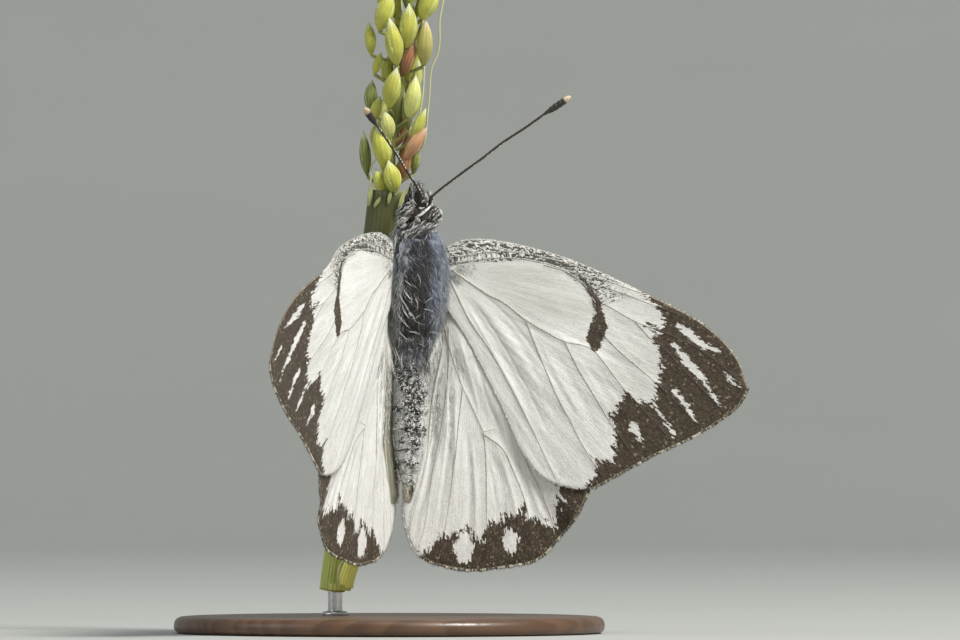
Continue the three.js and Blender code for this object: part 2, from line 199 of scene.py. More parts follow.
def photo_point(p):
    """Where body points fall in the photo (across, down), and how far towards the camera they are."""
    q = place(p) - SHIFT
    return np.stack([414.4 + SCALE * (q @ SEEN_RIGHT), 259 - SCALE * q[..., 2]], -1), q @ SEEN_BACK


def from_photo(at, depth):
    """Body points at a place in the photo and a distance towards the camera."""
    at = np.asarray(at, float)
    q = ((at[..., :1] - 414.4) / SCALE * SEEN_RIGHT + (259 - at[..., 1:2]) / SCALE * vec(0, 0, 1)
         + np.asarray(depth, float)[..., None] * SEEN_BACK)
    return unplace(q + SHIFT)


# ------------------------------------------------------------------- meshes

class Build:
    """Vertices, faces and named point values, gathered from many shapes."""

    def __init__(self):
        self.v, self.f, self.a, self.n = [], [], {}, 0

    def add(self, verts, faces, **values):
        verts = np.asarray(verts, float)
        for face in faces:
            if len(face):
                self.f.append(np.asarray(face, np.int64) + self.n)
        self.v.append(verts)
        for k, x in values.items():
            x = np.asarray(x, float)
            if x.ndim == 0 or (x.ndim == 1 and len(x) != len(verts)):
                x = np.broadcast_to(x, (len(verts),) + x.shape)
            self.a.setdefault(k, []).append(x)
        self.n += len(verts)
        return self

    def arrays(self):
        return np.vstack(self.v), self.f, {k: np.concatenate(x) for k, x in self.a.items()}


def outward(verts, faces):
    """Turn the faces of a closed shape so that they point out."""
    vol = 0.0
    for f in faces:
        if not len(f):
            continue
        for k in range(1, f.shape[1] - 1):
            vol += dots(verts[f[:, 0]], np.cross(verts[f[:, k]], verts[f[:, k + 1]])).sum()
    return [f[:, ::-1] for f in faces] if vol < 0 else faces


def make(name, build, material, replaces=(), figure=True, flat=False, uv="uv", body="root"):
    verts, faces, values = build.arrays()
    me = bpy.data.meshes.new(name)
    co = (place(verts) if figure else verts) * MM
    loops = np.concatenate([f.ravel() for f in faces]).astype(np.int32)
    counts = np.concatenate([np.full(len(f), f.shape[1]) for f in faces])
    starts = np.r_[0, np.cumsum(counts)[:-1]].astype(np.int32)
    me.vertices.add(len(co))
    me.vertices.foreach_set("co", co.astype(np.float32).ravel())
    me.loops.add(len(loops))
    me.loops.foreach_set("vertex_index", loops)
    me.polygons.add(len(counts))
    me.polygons.foreach_set("loop_start", starts)
    me.update(calc_edges=True)
    for k, x in values.items():
        if k == uv:
            continue
        if x.ndim == 1:
            me.attributes.new(k, "FLOAT", "POINT").data.foreach_set("value", x.astype(np.float32))
        else:
            me.attributes.new(k, "FLOAT_VECTOR", "POINT").data.foreach_set("vector", x.astype(np.float32).ravel())
    if uv in values:
        layer = me.uv_layers.new(name="OFBake")
        layer.data.foreach_set("uv", values[uv][loops].astype(np.float32).ravel())
    me.validate()
    me.shade_flat() if flat else me.shade_smooth()
    me.materials.append(material)
    ob = bpy.data.objects.new(name, me)
    bpy.context.scene.collection.objects.link(ob)
    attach(ob, body)
    if replaces:
        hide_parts(*replaces)
    return ob


def frames(p, hint=None):
    """Tangent, side and up along a line, turning as little as possible."""
    t = unit(np.gradient(p, axis=0))
    n = np.empty_like(t)
    first = vec(*hint) if hint is not None else (vec(1, 0, 0) if abs(t[0, 0]) < 0.8 else vec(0, 1, 0))
    for i in range(len(p)):
        first = first - (first @ t[i]) * t[i]
        first = first / np.linalg.norm(first)
        n[i] = first
    return t, n, np.cross(t, n)


def tube(p, r, sides, hint=None, section=None):
    """A closed bar along p. r is one radius per point, or two. Also returns how far along (0..1) and the angle of each vertex."""
    p = np.asarray(p, float)
    m = len(p)
    r = np.broadcast_to(np.asarray(r, float).reshape(m, -1) if np.ndim(r) else np.full((m, 1), r), (m, 2))
    t, n, b = frames(p, hint)
    a = np.arange(sides) / sides * 2 * math.pi
    grow = np.ones((m, sides)) if section is None else section(np.linspace(0, 1, m)[:, None], a[None, :])
    ring = p[:, None] + (n[:, None] * (np.cos(a)[None, :, None] * (r[:, :1] * grow)[..., None])
                         + b[:, None] * (np.sin(a)[None, :, None] * (r[:, 1:] * grow)[..., None]))
    verts = np.vstack([ring.reshape(-1, 3), p[:1], p[-1:]])
    i, j = np.meshgrid(np.arange(m - 1), np.arange(sides), indexing="ij")
    k = (j + 1) % sides
    quads = np.stack([i * sides + j, i * sides + k, (i + 1) * sides + k, (i + 1) * sides + j], -1).reshape(-1, 4)
    j = np.arange(sides)
    k = (j + 1) % sides
    tris = np.vstack([np.stack([k, j, np.full(sides, m * sides)], 1),
                      np.stack([(m - 1) * sides + j, (m - 1) * sides + k, np.full(sides, m * sides + 1)], 1)])
    faces = outward(verts, [quads, tris])
    go = np.r_[np.repeat(np.linspace(0, 1, m), sides), 0, 1]
    ang = np.r_[np.tile(a, m), 0, 0]
    return verts, faces, go, ang


def ball(centre, radii, wide, high, fullness=2.0):
    """A closed egg with its poles on Z."""
    th = np.linspace(0, math.pi, high + 1)[1:-1]
    a = np.arange(wide) / wide * 2 * math.pi
    z = np.cos(th)
    ring = np.maximum(0, 1 - np.abs(z) ** fullness) ** (1 / fullness)
    x = ring[:, None] * np.cos(a)
    y = ring[:, None] * np.sin(a)
    verts = np.stack([x, y, np.broadcast_to(z[:, None], x.shape)], -1).reshape(-1, 3)
    verts = np.vstack([verts, [0, 0, 1], [0, 0, -1]]) * np.asarray(radii) + np.asarray(centre)
    m = high - 1
    i, j = np.meshgrid(np.arange(m - 1), np.arange(wide), indexing="ij")
    k = (j + 1) % wide
    quads = np.stack([i * wide + j, i * wide + k, (i + 1) * wide + k, (i + 1) * wide + j], -1).reshape(-1, 4)
    j = np.arange(wide)
    k = (j + 1) % wide
    tris = np.vstack([np.stack([k, j, np.full(wide, m * wide)], 1),
                      np.stack([(m - 1) * wide + j, (m - 1) * wide + k, np.full(wide, m * wide + 1)], 1)])
    return verts, outward(verts, [quads, tris])


def tufts(root, normal, along, length, width, lift, droop, rings=(0.0, 0.58), flat=0.6, sway=None, seed=1):
    """Thin closed three-sided hairs or scales. Each starts at root, runs along the skin and rises by lift.

    Returns vertices, faces, the hair number and the place along the hair of each vertex."""
    n = len(root)
    side = unit(np.cross(along, normal))
    up = unit(np.cross(side, along))
    rnd = np.random.default_rng(seed)
    sway = rnd.normal(0, 0.08, n) if sway is None else sway
    out = []
    for s in list(rings) + [1.0]:
        p = (root + along * (length * s)[:, None] + up * (length * lift * s * (1 - droop * s))[:, None]
             + side * (length * sway * s * s)[:, None])
        if s == rings[0]:
            p = p - up * (0.25 * width)[:, None]
        if s == 1.0:
            out.append(p[:, None])
            continue
        w = width * 0.5 * (1 - s) ** 0.45
        ring = [p + side * (math.cos(a) * w)[:, None] + up * (math.sin(a) * w * flat)[:, None]
                for a in (math.pi / 2, math.pi / 2 + 2.2, math.pi / 2 - 2.2)]
        out.append(np.stack(ring, 1))
    verts = np.concatenate(out, 1)
    per = verts.shape[1]
    m = len(rings)
    local = [[0, 1, 2]]
    for i in range(m - 1):
        for j in range(3):
            k = (j + 1) % 3
            a, b, c, d = i * 3 + j, i * 3 + k, (i + 1) * 3 + k, (i + 1) * 3 + j
            local += [[a, c, b], [a, d, c]]
    for j in range(3):
        k = (j + 1) % 3
        local.append([(m - 1) * 3 + j, per - 1, (m - 1) * 3 + k])
    local = np.array(local)
    tris = (local[None] + (np.arange(n) * per)[:, None, None]).reshape(-1, 3)
    verts = verts.reshape(-1, 3)
    which = np.repeat(np.arange(n), per)
    place_along = np.tile(np.r_[np.repeat(rings, 3), 1.0], n)
    return verts, outward(verts, [tris]), which, place_along


def strands(path, width, up, flat=0.7):
    """Thin closed three-sided hairs along given paths (hair, point, xyz), widest near the root. up is the way out of the skin."""
    n, m = path.shape[:2]
    t = unit(np.gradient(path, axis=1))
    side = unit(np.cross(t, up[:, None]))
    out = unit(np.cross(side, t))
    s = np.linspace(0, 1, m)
    w = (0.5 * width[:, None] * np.minimum(1, 0.65 + 2.2 * s) * (1 - s) ** 0.5)[..., None]
    ring = [path[:, :-1] + (side * (math.cos(a) * w) + out * (math.sin(a) * w * flat))[:, :-1]
            for a in (math.pi / 2, math.pi / 2 + 2.2, math.pi / 2 - 2.2)]
    verts = np.concatenate([np.stack(ring, 2).reshape(n, -1, 3), path[:, -1:]], 1)
    per = verts.shape[1]
    k = m - 1
    local = [[0, 1, 2]]
    for i in range(k - 1):
        for j in range(3):
            a, b, c, d = i * 3 + j, i * 3 + (j + 1) % 3, (i + 1) * 3 + (j + 1) % 3, (i + 1) * 3 + j
            local += [[a, c, b], [a, d, c]]
    for j in range(3):
        local.append([(k - 1) * 3 + j, per - 1, (k - 1) * 3 + (j + 1) % 3])
    tris = (np.array(local)[None] + (np.arange(n) * per)[:, None, None]).reshape(-1, 3)
    verts = verts.reshape(-1, 3)
    return verts, outward(verts, [tris]), np.repeat(np.arange(n), per), np.tile(np.r_[np.repeat(s[:-1], 3), 1.0], n)


def coat_uv(at, which, go, n_side):
    """Each hair is a small patch at its root's place on the unwrap."""
    return at[which] + np.stack([0.0012 * n_side, 0.003 * (go - 0.5)], 1)


# ---------------------------------------------------------------- materials

class Look:
    """A node material with a short way of writing its node tree."""

    def __init__(self, name):
        self.mat = bpy.data.materials.new(name)
        self.mat.use_nodes = True
        self.nt = self.mat.node_tree
        self.nt.nodes.clear()
        self.out = self.nt.nodes.new("ShaderNodeOutputMaterial")
        self.bsdf = self.nt.nodes.new("ShaderNodeBsdfPrincipled")
        self.nt.links.new(self.bsdf.outputs["BSDF"], self.out.inputs["Surface"])

    def node(self, kind, **props):
        n = self.nt.nodes.new("ShaderNode" + kind)
        for k, v in props.items():
            setattr(n, k, v)
        return n

    def put(self, socket, value):
        if isinstance(value, bpy.types.NodeSocket):
            self.nt.links.new(value, socket)
        elif value is not None:
            socket.default_value = value

    def set(self, **values):
        names = {"color": "Base Color", "rough": "Roughness", "metal": "Metallic", "spec": "Specular IOR Level", "ior": "IOR",
                 "coat": "Coat Weight", "coat_rough": "Coat Roughness", "sheen": "Sheen Weight", "sheen_rough": "Sheen Roughness",
                 "sheen_tint": "Sheen Tint", "normal": "Normal", "sub": "Subsurface Weight", "sub_scale": "Subsurface Scale",
                 "sub_radius": "Subsurface Radius", "aniso": "Anisotropic"}
        for k, v in values.items():
            if isinstance(v, tuple) and len(v) == 3 and names[k] in ("Base Color", "Sheen Tint"):
                v = (*v, 1)
            self.put(self.bsdf.inputs[names[k]], v)
        return self.mat

    def attr(self, name):
        n = self.node("Attribute", attribute_name=name)
        return n

    def vector(self, name):
        return self.attr(name).outputs["Vector"]

    def value(self, name):
        return self.attr(name).outputs["Fac"]

    def split(self, v):
        n = self.node("SeparateXYZ")
        self.put(n.inputs[0], v)
        return n.outputs

    def join(self, x, y, z=0.0):
        n = self.node("CombineXYZ")
        for s, v in zip(n.inputs, (x, y, z)):
            self.put(s, v)
        return n.outputs[0]

    def math(self, op, a, b=None, c=None, clamp=False):
        n = self.node("Math", operation=op, use_clamp=clamp)
        for s, v in zip(n.inputs, (a, b, c)):
            self.put(s, v)
        return n.outputs[0]

    def add(self, a, b):
        return self.math("ADD", a, b)

    def sub(self, a, b):
        return self.math("SUBTRACT", a, b)

    def mul(self, a, b, clamp=False):
        return self.math("MULTIPLY", a, b, clamp=clamp)

    def mad(self, a, b, c):
        return self.math("MULTIPLY_ADD", a, b, c)

    def scale(self, v, by):
        n = self.node("VectorMath", operation="MULTIPLY")
        self.put(n.inputs[0], v)
        n.inputs[1].default_value = by
        return n.outputs[0]

    def shift(self, v, by):
        n = self.node("VectorMath", operation="ADD")
        self.put(n.inputs[0], v)
        self.put(n.inputs[1], by)
        return n.outputs[0]

    def step(self, x, a, b, lo=0.0, hi=1.0, kind="SMOOTHSTEP"):
        n = self.node("MapRange", interpolation_type=kind)
        for s, v in zip(n.inputs, (x, a, b, lo, hi)):
            self.put(s, v)
        return n.outputs[0]

    def noise(self, v, scale=1.0, detail=2.0, rough=0.5, distortion=0.0, color=False):
        n = self.node("TexNoise")
        self.put(n.inputs["Vector"], v)
        n.inputs["Scale"].default_value = scale
        n.inputs["Detail"].default_value = detail
        n.inputs["Roughness"].default_value = rough
        n.inputs["Distortion"].default_value = distortion
        return n.outputs["Color" if color else "Fac"]

    def cells(self, v, scale=1.0, feature="F1", dims="3D", random=1.0):
        n = self.node("TexVoronoi", feature=feature, voronoi_dimensions=dims)
        self.put(n.inputs["Vector"], v)
        n.inputs["Scale"].default_value = scale
        n.inputs["Randomness"].default_value = random
        return n.outputs

    def mix(self, f, a, b, kind="MIX"):
        n = self.node("Mix", data_type="RGBA", blend_type=kind)
        n.clamp_factor = True
        for s, v in ((n.inputs[0], f), (n.inputs[6], a), (n.inputs[7], b)):
            if isinstance(v, tuple) and len(v) == 3:
                v = (*v, 1)
            self.put(s, v)
        return n.outputs[2]

    def ramp(self, f, stops):
        n = self.node("ValToRGB")
        self.put(n.inputs[0], f)
        e = n.color_ramp.elements
        while len(e) < len(stops):
            e.new(0.5)
        for el, (pos, col) in zip(e, stops):
            el.position = pos
            el.color = (*col, 1) if len(col) == 3 else col
        return n.outputs[0]

    def dim(self, color, by):
        """Multiply a colour by a number."""
        n = self.node("VectorMath", operation="SCALE")
        self.put(n.inputs[0], color)
        self.put(n.inputs[3], by)
        return n.outputs[0]

    def bump(self, height, distance, strength=1.0, normal=None):
        n = self.node("Bump")
        n.inputs["Strength"].default_value = strength
        n.inputs["Distance"].default_value = distance
        self.put(n.inputs["Height"], height)
        if normal is not None:
            self.put(n.inputs["Normal"], normal)
        return n.outputs[0]


def srgb(r, g, b):
    f = lambda c: c / 12.92 if c <= 0.04045 else ((c + 0.055) / 1.055) ** 2.4
    return tuple(f(c / 255) for c in (r, g, b))


# -------------------------------------------------------------------- wings

ROOT_X = 2.37
FORE_ROOT_H, HIND_ROOT_H = 0.9, 0.85
FORE_RAISE, HIND_RAISE = 35.5 * DEG, 30.5 * DEG
WING_LAP = 0.13
HALF = 0.042                     # half the thickness of a wing membrane

FORE = dict(
    costaRoot=(-0.6, 0.75), costaShoulder=(0.75, 1.46), costaBulge=(2.7, 1.62),
    costaThird=(7.6, 0.78), costaHalf=(13.3, -1.29), costaFar=(17.9, -3.38),
    apexShoulder=(20.25, -5.52), apex=(21.18, -7.6),
    apexUnder=(20.55, -8.85), outerUpper=(18.05, -10.85), outerMid=(14.75, -12.7),
    outerLow=(12.45, -14.15), tornus=(10.9, -15.15),
    tornusUnder=(9.4, -15.2), innerLow=(7.5, -14.7), innerBend=(6.05, -13.3),
    innerMid=(4.0, -9.5), innerUp=(1.3, -5.0), innerRoot=(-0.6, -2.6))
HIND = dict(
    costaRoot=(-0.5, -1.5), costaShoulder=(3.6, -2.4), costaMid=(7.6, -6.0),
    costaFar=(9.9, -10.0), apex=(10.75, -13.0),
    outerUpper=(10.55, -15.2), outerHigh=(9.85, -17.05), outerMid=(8.55, -18.95),
    outerTurn=(7.3, -20.3), outerLow=(4.7, -21.0), outerFoot=(2.6, -21.32),
    tornus=(0.2, -21.05),
    analTurn=(-1.1, -20.3), analAngle=(-1.75, -19.2), analLow=(-2.15, -17.7),
    analIn=(-2.15, -15.4), innerMid=(-1.62, -12.4), innerUp=(-1.38, -8.6), innerRoot=(-0.75, -3.9))


def pick(rows, names):
    return [rows[n] for n in names.split()]


FORE_EDGES = (
    pick(FORE, "costaRoot costaShoulder costaBulge costaThird costaHalf costaFar apexShoulder apex"),
    pick(FORE, "apex apexUnder outerUpper outerMid outerLow tornus"),
    pick(FORE, "innerRoot innerUp innerMid innerBend innerLow tornusUnder tornus"),
    pick(FORE, "costaRoot innerRoot"))
HIND_EDGES = (
    pick(HIND, "costaRoot costaShoulder costaMid costaFar apex"),
    pick(HIND, "apex outerUpper outerHigh outerMid outerTurn outerLow outerFoot tornus"),
    pick(HIND, "innerRoot innerUp innerMid analIn analLow analAngle analTurn tornus"),
    pick(HIND, "costaRoot innerRoot"))


def fore_height(u, v):
    x = u - 5.5
    costa = 1.75 - 0.37 * (x + np.sqrt(x * x + 9)) / 2
    from_costa = np.maximum(0, (costa - v) * 0.92)
    r = np.hypot(u, v + 0.6)
    dome = 0.45 * np.exp(-((u - 9.5) ** 2 + (v + 5) ** 2) / 45)
    turn_down = 0.7 * np.exp(-from_costa / 1.6) * (1 - smooth(8, 13, u))
    dip = 0.16 * np.exp(-((u - 5.6) / 4.2) ** 2 - ((v + 1.1) / 1.25) ** 2)
    return dome - dip - (1 - np.exp(-r / 2.5)) * turn_down - 0.1 * (r / 21) ** 2


RIDGE = ([3.9, 8.6, 12.4, 15.4, 17.7], [0.1, -0.58, -0.84, -1.38, -2.0])
SIDE = [1]                       # the wing being built


def ridge_of(v):
    """Where the fold along the inner margin runs; on the left wing it stands further out."""
    v = -np.asarray(v, float)
    return np.interp(v, *RIDGE) + (0.54 * smooth(4, 8, v) * smooth(18.2, 16.6, v) if SIDE[0] < 0 else 0.0)


def hind_height(u, v):
    dome = 0.18 * np.exp(-((u - 4.5) ** 2 + (v + 13) ** 2) / 30)
    lobe = 0.25 * smooth(1.5, -2.2, u) * smooth(-14, -17.5, v)
    upper = 0.25 * smooth(7, 11, u) * smooth(-13, -16, v)
    fold = 0.3 * smooth(0.6, -0.8, u) * smooth(-15, -12, v) * smooth(-2, -5, v)
    x, y = u / 11.4, np.maximum(0, (v + 13.2) / 11.9)
    costal = 0.35 * np.exp(-np.maximum(0, (1 - np.hypot(x, y)) * 9) / 2.0)
    # the inner margin turns up against the abdomen
    ridge = ridge_of(v)
    turn_up = (0.62 if SIDE[0] > 0 else 0.24) * smooth(0.0, 0.80, ridge - u) * smooth(-17.2, -16.4, v) * smooth(-4, -7, v)
    turn_up = turn_up + 0.10 * np.exp(-((u - ridge - 0.12) / 0.20) ** 2) * smooth(-17.3, -15.8, v) * smooth(-5, -8, v)
    h = dome + lobe + upper - fold - costal + turn_up
    c, s, C, S = math.cos(HIND_RAISE), math.sin(HIND_RAISE), math.cos(FORE_RAISE), math.sin(FORE_RAISE)
    du, dn = u * c - h * s, HIND_ROOT_H + u * s + h * c - FORE_ROOT_H
    uf, nf = du * C + dn * S, -du * S + dn * C
    past = -(0.8 * (uf - 0.1) + 0.6 * (v + 2.6))
    limit = fore_height(uf, v) - WING_LAP + 0.45 * np.maximum(0, past - 0.4)
    down = np.where(nf > limit, h - (nf - limit) / math.cos(FORE_RAISE - HIND_RAISE), h)
    # it lies close under the forewing along that wing's edge
    close = 0.9 * smooth(2.6, 0.0, past) * smooth(-0.3, 1.2, u)
    return np.where(nf < limit, h + close * (limit - nf), down)


def on_wing(fore, side, u, v, h):
    raise_, root = (FORE_RAISE, FORE_ROOT_H) if fore else (HIND_RAISE, HIND_ROOT_H)
    c, s = math.cos(raise_), math.sin(raise_)
    return np.stack([side * (ROOT_X + u * c - h * s), -(root + u * s + h * c), v + 0 * u], -1)


def patch(edges, t, w):
    """The wing plane between its four edges (a Coons patch)."""
    costa, outer, inner, root = edges
    C, I = curve(costa, t)[:, None], curve(inner, t)[:, None]
    O, B = curve(outer, w)[None], curve(root, w)[None]
    t, w = t[:, None, None], w[None, :, None]
    p = lambda e, k: np.asarray(e[k], float)
    return ((1 - w) * C + w * I + (1 - t) * B + t * O
            - ((1 - w) * (1 - t) * p(costa, 0) + (1 - w) * t * p(costa, -1) + w * (1 - t) * p(inner, 0) + w * t * p(inner, -1)))


def spaced(edges, n, along_t):
    """Parameter values that make the rows of a patch evenly spaced."""
    fine = np.linspace(0, 1, 300)
    p = patch(edges, fine, vec(0.0, 0.35, 0.65, 1.0)) if along_t else patch(edges, vec(0.25, 0.5, 0.75, 1.0), fine).transpose(1, 0, 2)
    step = np.linalg.norm(np.diff(p, axis=0), axis=2).mean(1)
    s = np.r_[0, np.cumsum(step)]
    return np.interp(np.linspace(0, s[-1], n), s, fine)


# veins and folds in each wing plane: points, how thick at the root, at the end
FORE_VEINS = [
    ([(0.3, 0.3), (4, 0.9), (8, 0.35), (12, -0.85)], 0.11, 0.06),
    ([(0.2, -0.1), (4, 0.45), (7.5, 0), (9.3, -1.0), (10.36, -2.09), (11.29, -2.52), (13.08, -3.39), (14.86, -3.98), (17.5, -5), (20.9, -7.3)], 0.12, 0.05),
    ([(6.5, 0.1), (11, -0.75), (13.5, -1.45)], 0.07, 0.05),
    ([(8.5, -0.5), (13, -1.8), (16.5, -2.9)], 0.07, 0.05),
    ([(13.08, -3.39), (14.19, -4.51), (14.92, -4.95), (17.2, -7.1), (19.75, -9.4)], 0.066, 0.05),
    ([(10.36, -2.09), (10.5, -2.8), (10.5, -3.8), (10.38, -4.5), (10.22, -5.42)], 0.055, 0.05),
    ([(10.5, -4.1), (12.2, -5.6), (14.6, -7.43), (18.2, -10.5)], 0.066, 0.05),
    ([(0.17, -0.61), (0.97, -1.12), (2.92, -2.25), (3.77, -2.59), (5.52, -3.77), (7.10, -4.58), (8.31, -5.10), (9.58, -5.30),
      (10.29, -5.57), (12.89, -8.41), (16.3, -11.7)], 0.115, 0.05),
    ([(8.31, -5.10), (8.54, -5.54), (9.48, -7.15), (10.77, -9.02), (11.92, -10.69), (13.8, -13.1)], 0.072, 0.05),
    ([(5.52, -3.77), (5.84, -4.52), (6.63, -6.21), (7.43, -7.83), (8.21, -9.31), (8.98, -10.52), (9.76, -11.87), (10.67, -13.20), (11.55, -14.5)], 0.075, 0.05),
    ([(0.08, -1.31), (1.63, -4.07), (3.14, -6.0), (5.29, -9.35), (6.45, -11.37), (7.47, -13.25), (8.33, -14.73)], 0.09, 0.05),
]
FORE_FOLDS = [   # points, height, half width
    ([(1.2, -1.9), (3.6, -4.3), (6.2, -7.6), (8.6, -11.0)], 0.075, 0.42),
    ([(0.9, -2.2), (2.7, -4.3), (4.4, -6.8), (6.2, -9.8)], -0.07, 0.34),
    ([(2.6, -2.7), (4.9, -5.0), (6.9, -8.4), (8.9, -11.9)], -0.055, 0.34),
    ([(7.3, -5.4), (9.2, -8.2), (11.3, -11.9)], -0.045, 0.3),
    ([(9.6, -6.2), (11.6, -8.9), (13.4, -11.3)], -0.04, 0.3),
    ([(11.0, -5.4), (13.6, -7.6)], -0.035, 0.28),
    ([(11.2, -3.4), (14.2, -5.9)], -0.035, 0.28),
    ([(3.0, -0.7), (6.2, -1.9), (9.2, -3.3)], 0.02, 0.5),
    ([(1.6, -1.6), (4.2, -3.6), (7.4, -7.4), (10.2, -11.3)], -0.045, 0.13),
    ([(1.3, -2.1), (3.6, -5.0), (5.9, -8.6), (8.0, -12.4)], -0.05, 0.12),
    ([(1.0, -2.4), (2.6, -4.9), (4.6, -8.0), (6.6, -11.6)], 0.05, 0.14),
    ([(6.4, -4.9), (8.2, -7.9), (10.2, -11.0)], 0.04, 0.13),
    ([(8.9, -5.7), (10.9, -8.6), (12.6, -11.4)], 0.035, 0.12),
    ([(10.4, -6.4), (12.2, -8.7), (13.2, -9.9)], -0.03, 0.12),
    ([(11.6, -4.6), (13.4, -6.0), (14.6, -7.0)], 0.03, 0.13),
    ([(10.9, -2.9), (13.0, -4.2), (14.4, -5.2)], -0.03, 0.12),
]
HIND_VEINS = [
    ([(0.4, -2), (4, -3.6), (7.5, -7), (9.8, -10.6), (10.6, -12.8)], 0.1, 0.05),
    ([(0.3, -2.5), (3.5, -5.2), (5.5, -8.5), (8, -12), (10.3, -15.6)], 0.1, 0.05),
    ([(3.06, -11.71), (4.0, -11.4)], 0.0, 0.0),
    ([(0.1, -2.9), (-0.2, -3.57), (0.36, -6.02), (1.42, -8.67), (1.97, -9.68), (3.06, -11.71)], 0.1, 0.075),
    ([(1.42, -8.67), (1.28, -10.98), (1.17, -13.77), (0.98, -16.56), (0.73, -19.36), (0.6, -20.95)], 0.075, 0.05),
    ([(3.06, -11.71), (3.32, -13.64), (3.67, -18.49), (3.8, -21.0)], 0.07, 0.05),
    ([(3.14, -11.91), (4.45, -12.81), (5.23, -14.22), (6.11, -16.05), (6.45, -17.07), (6.95, -20.2)], 0.07, 0.05),
    ([(4.9, -10.6), (6.25, -13.81), (7.26, -15.49), (7.98, -17.05), (8.38, -18.0), (8.8, -18.6)], 0.07, 0.05),
    ([(0.2, -4.5), (0.35, -7), (0.29, -9.64), (0.08, -11.95), (-0.35, -15.25), (-0.65, -18.4), (-1.0, -20.1)], 0.085, 0.05),
    ([(-0.1, -6.0), (-0.62, -9.71), (-0.82, -13.89), (-1.40, -17.40), (-1.75, -18.9)], 0.08, 0.05),
]
HIND_FOLDS = [
    ([(1.8, -11.0), (2.33, -15.78), (2.41, -20.65)], -0.07, 0.3),
    ([(0.6, -7.5), (0.72, -12.0), (0.4, -16.0), (0.1, -20.0)], -0.08, 0.26),
    ([(0.35, -6.0), (1.0, -9.8), (0.9, -14.0)], 0.04, 0.3),
    ([(3.6, -12.8), (4.4, -15.0), (5.0, -20.0)], -0.06, 0.36),
    ([(5.2, -12.8), (6.4, -16.0), (7.6, -19.4)], -0.05, 0.34),
    ([(6.2, -11.6), (7.7, -14.4), (9.0, -17.4)], -0.05, 0.34),
    ([(-0.3, -9.0), (-0.4, -13.0), (-0.9, -17.0)], -0.12, 0.22),
    ([(0.9, -9.5), (1.15, -13.0), (1.3, -17.5)], 0.045, 0.12),
    ([(2.2, -12.2), (2.7, -15.5), (3.0, -19.6)], 0.05, 0.13),
    ([(3.5, -13.6), (4.2, -16.4), (4.5, -19.2)], -0.045, 0.12),
    ([(4.3, -13.2), (5.3, -15.9), (6.0, -18.6)], 0.045, 0.13),
    ([(5.6, -13.2), (6.6, -15.4), (7.6, -17.6)], 0.04, 0.12),
    ([(0.15, -7.6), (0.5, -11.0), (0.35, -15.0), (0.0, -19.0)], 0.05, 0.12),
    ([(2.0, -6.0), (3.0, -9.0), (4.6, -12.5)], -0.04, 0.16),
    ([(0.9, -5.0), (1.9, -8.0), (2.9, -11.0)], 0.04, 0.16),
]

# dark marks of the upper side
FORE_BORDER = [
    (12.6, -0.5), (13.31, -1.36), (13.89, -1.81), (14.40, -2.13), (14.78, -2.59), (15.01, -3.0), (15.17, -3.34), (14.86, -3.93),
    (13.93, -3.55), (14.87, -4.12), (14.40, -4.49), (14.71, -4.96), (14.96, -5.64), (15.16, -6.74), (15.05, -7.24), (14.72, -7.47),
    (14.96, -8.08), (14.80, -8.78), (14.61, -9.14), (14.11, -9.03), (13.76, -8.98), (13.26, -8.74), (12.89, -8.30), (12.51, -8.92),
    (12.33, -9.42), (11.74, -10.08), (11.98, -10.69), (12.31, -11.50), (12.20, -11.93), (12.04, -12.77), (11.92, -13.06),
    (11.23, -13.24), (10.52, -12.83), (11.05, -13.67), (11.01, -14.16), (10.62, -14.60), (10.40, -15.05),
    (10.4, -16.2), (13, -16), (20, -13), (24, -8), (22, -2), (16, 0)]
FORE_WHITES = [
    [(16.1, -3.55, .15), (17.0, -4.15, .34), (18.1, -4.9, .26), (19.15, -5.2, .08)],
    [(15.85, -4.9, .16), (16.7, -5.75, .34), (17.5, -6.6, .30), (18.4, -7.7, .19), (19.4, -9.0, .06)],
    [(19.35, -6.55, .07), (19.9, -7.05, .18), (20.6, -7.5, .06)],
    [(16.1, -8.1, .15), (16.6, -8.5, .27), (17.1, -9.3, .18), (17.8, -10.15, .06)],
    [(14.65, -9.05, .08), (15.4, -9.9, .17), (15.9, -10.5, .16), (16.25, -11.2, .06)],
    [(13.45, -10.8, .38), (13.7, -11.1, .28), (14.0, -11.6, .15), (14.4, -12.2, .06)],
    [(11.84, -12.99, .08), (12.36, -13.52, .07)],
]
FORE_SPOT = [
    [(8.9, -0.42, .02), (9.5, -0.95, .10), (9.98, -1.50, .15), (10.40, -2.10, .20), (10.50, -2.78, .26)],
    [(10.60, -3.3, .42), (10.62, -3.95, .58), (10.38, -4.7, .59), (10.45, -5.2, .38), (10.45, -5.5, .22)],
]
FORE_GREY = [(0.03, -0.48), (0.71, -0.23), (2.09, 0.03), (3.47, 0.14), (4.86, 0.30), (6.25, 0.31), (6.96, 0.07), (7.67, -0.16),
             (8.39, -0.61), (9.11, -1.05), (9.49, -1.45), (9.87, -2.12), (10.05, -2.80)]
GREY_ABOVE = np.array(FORE_GREY + [(11.5, -2.2), (14.5, -1.2), (14, 1.5), (5, 3.5), (-0.5, 2.5), (-0.5, -0.48)])
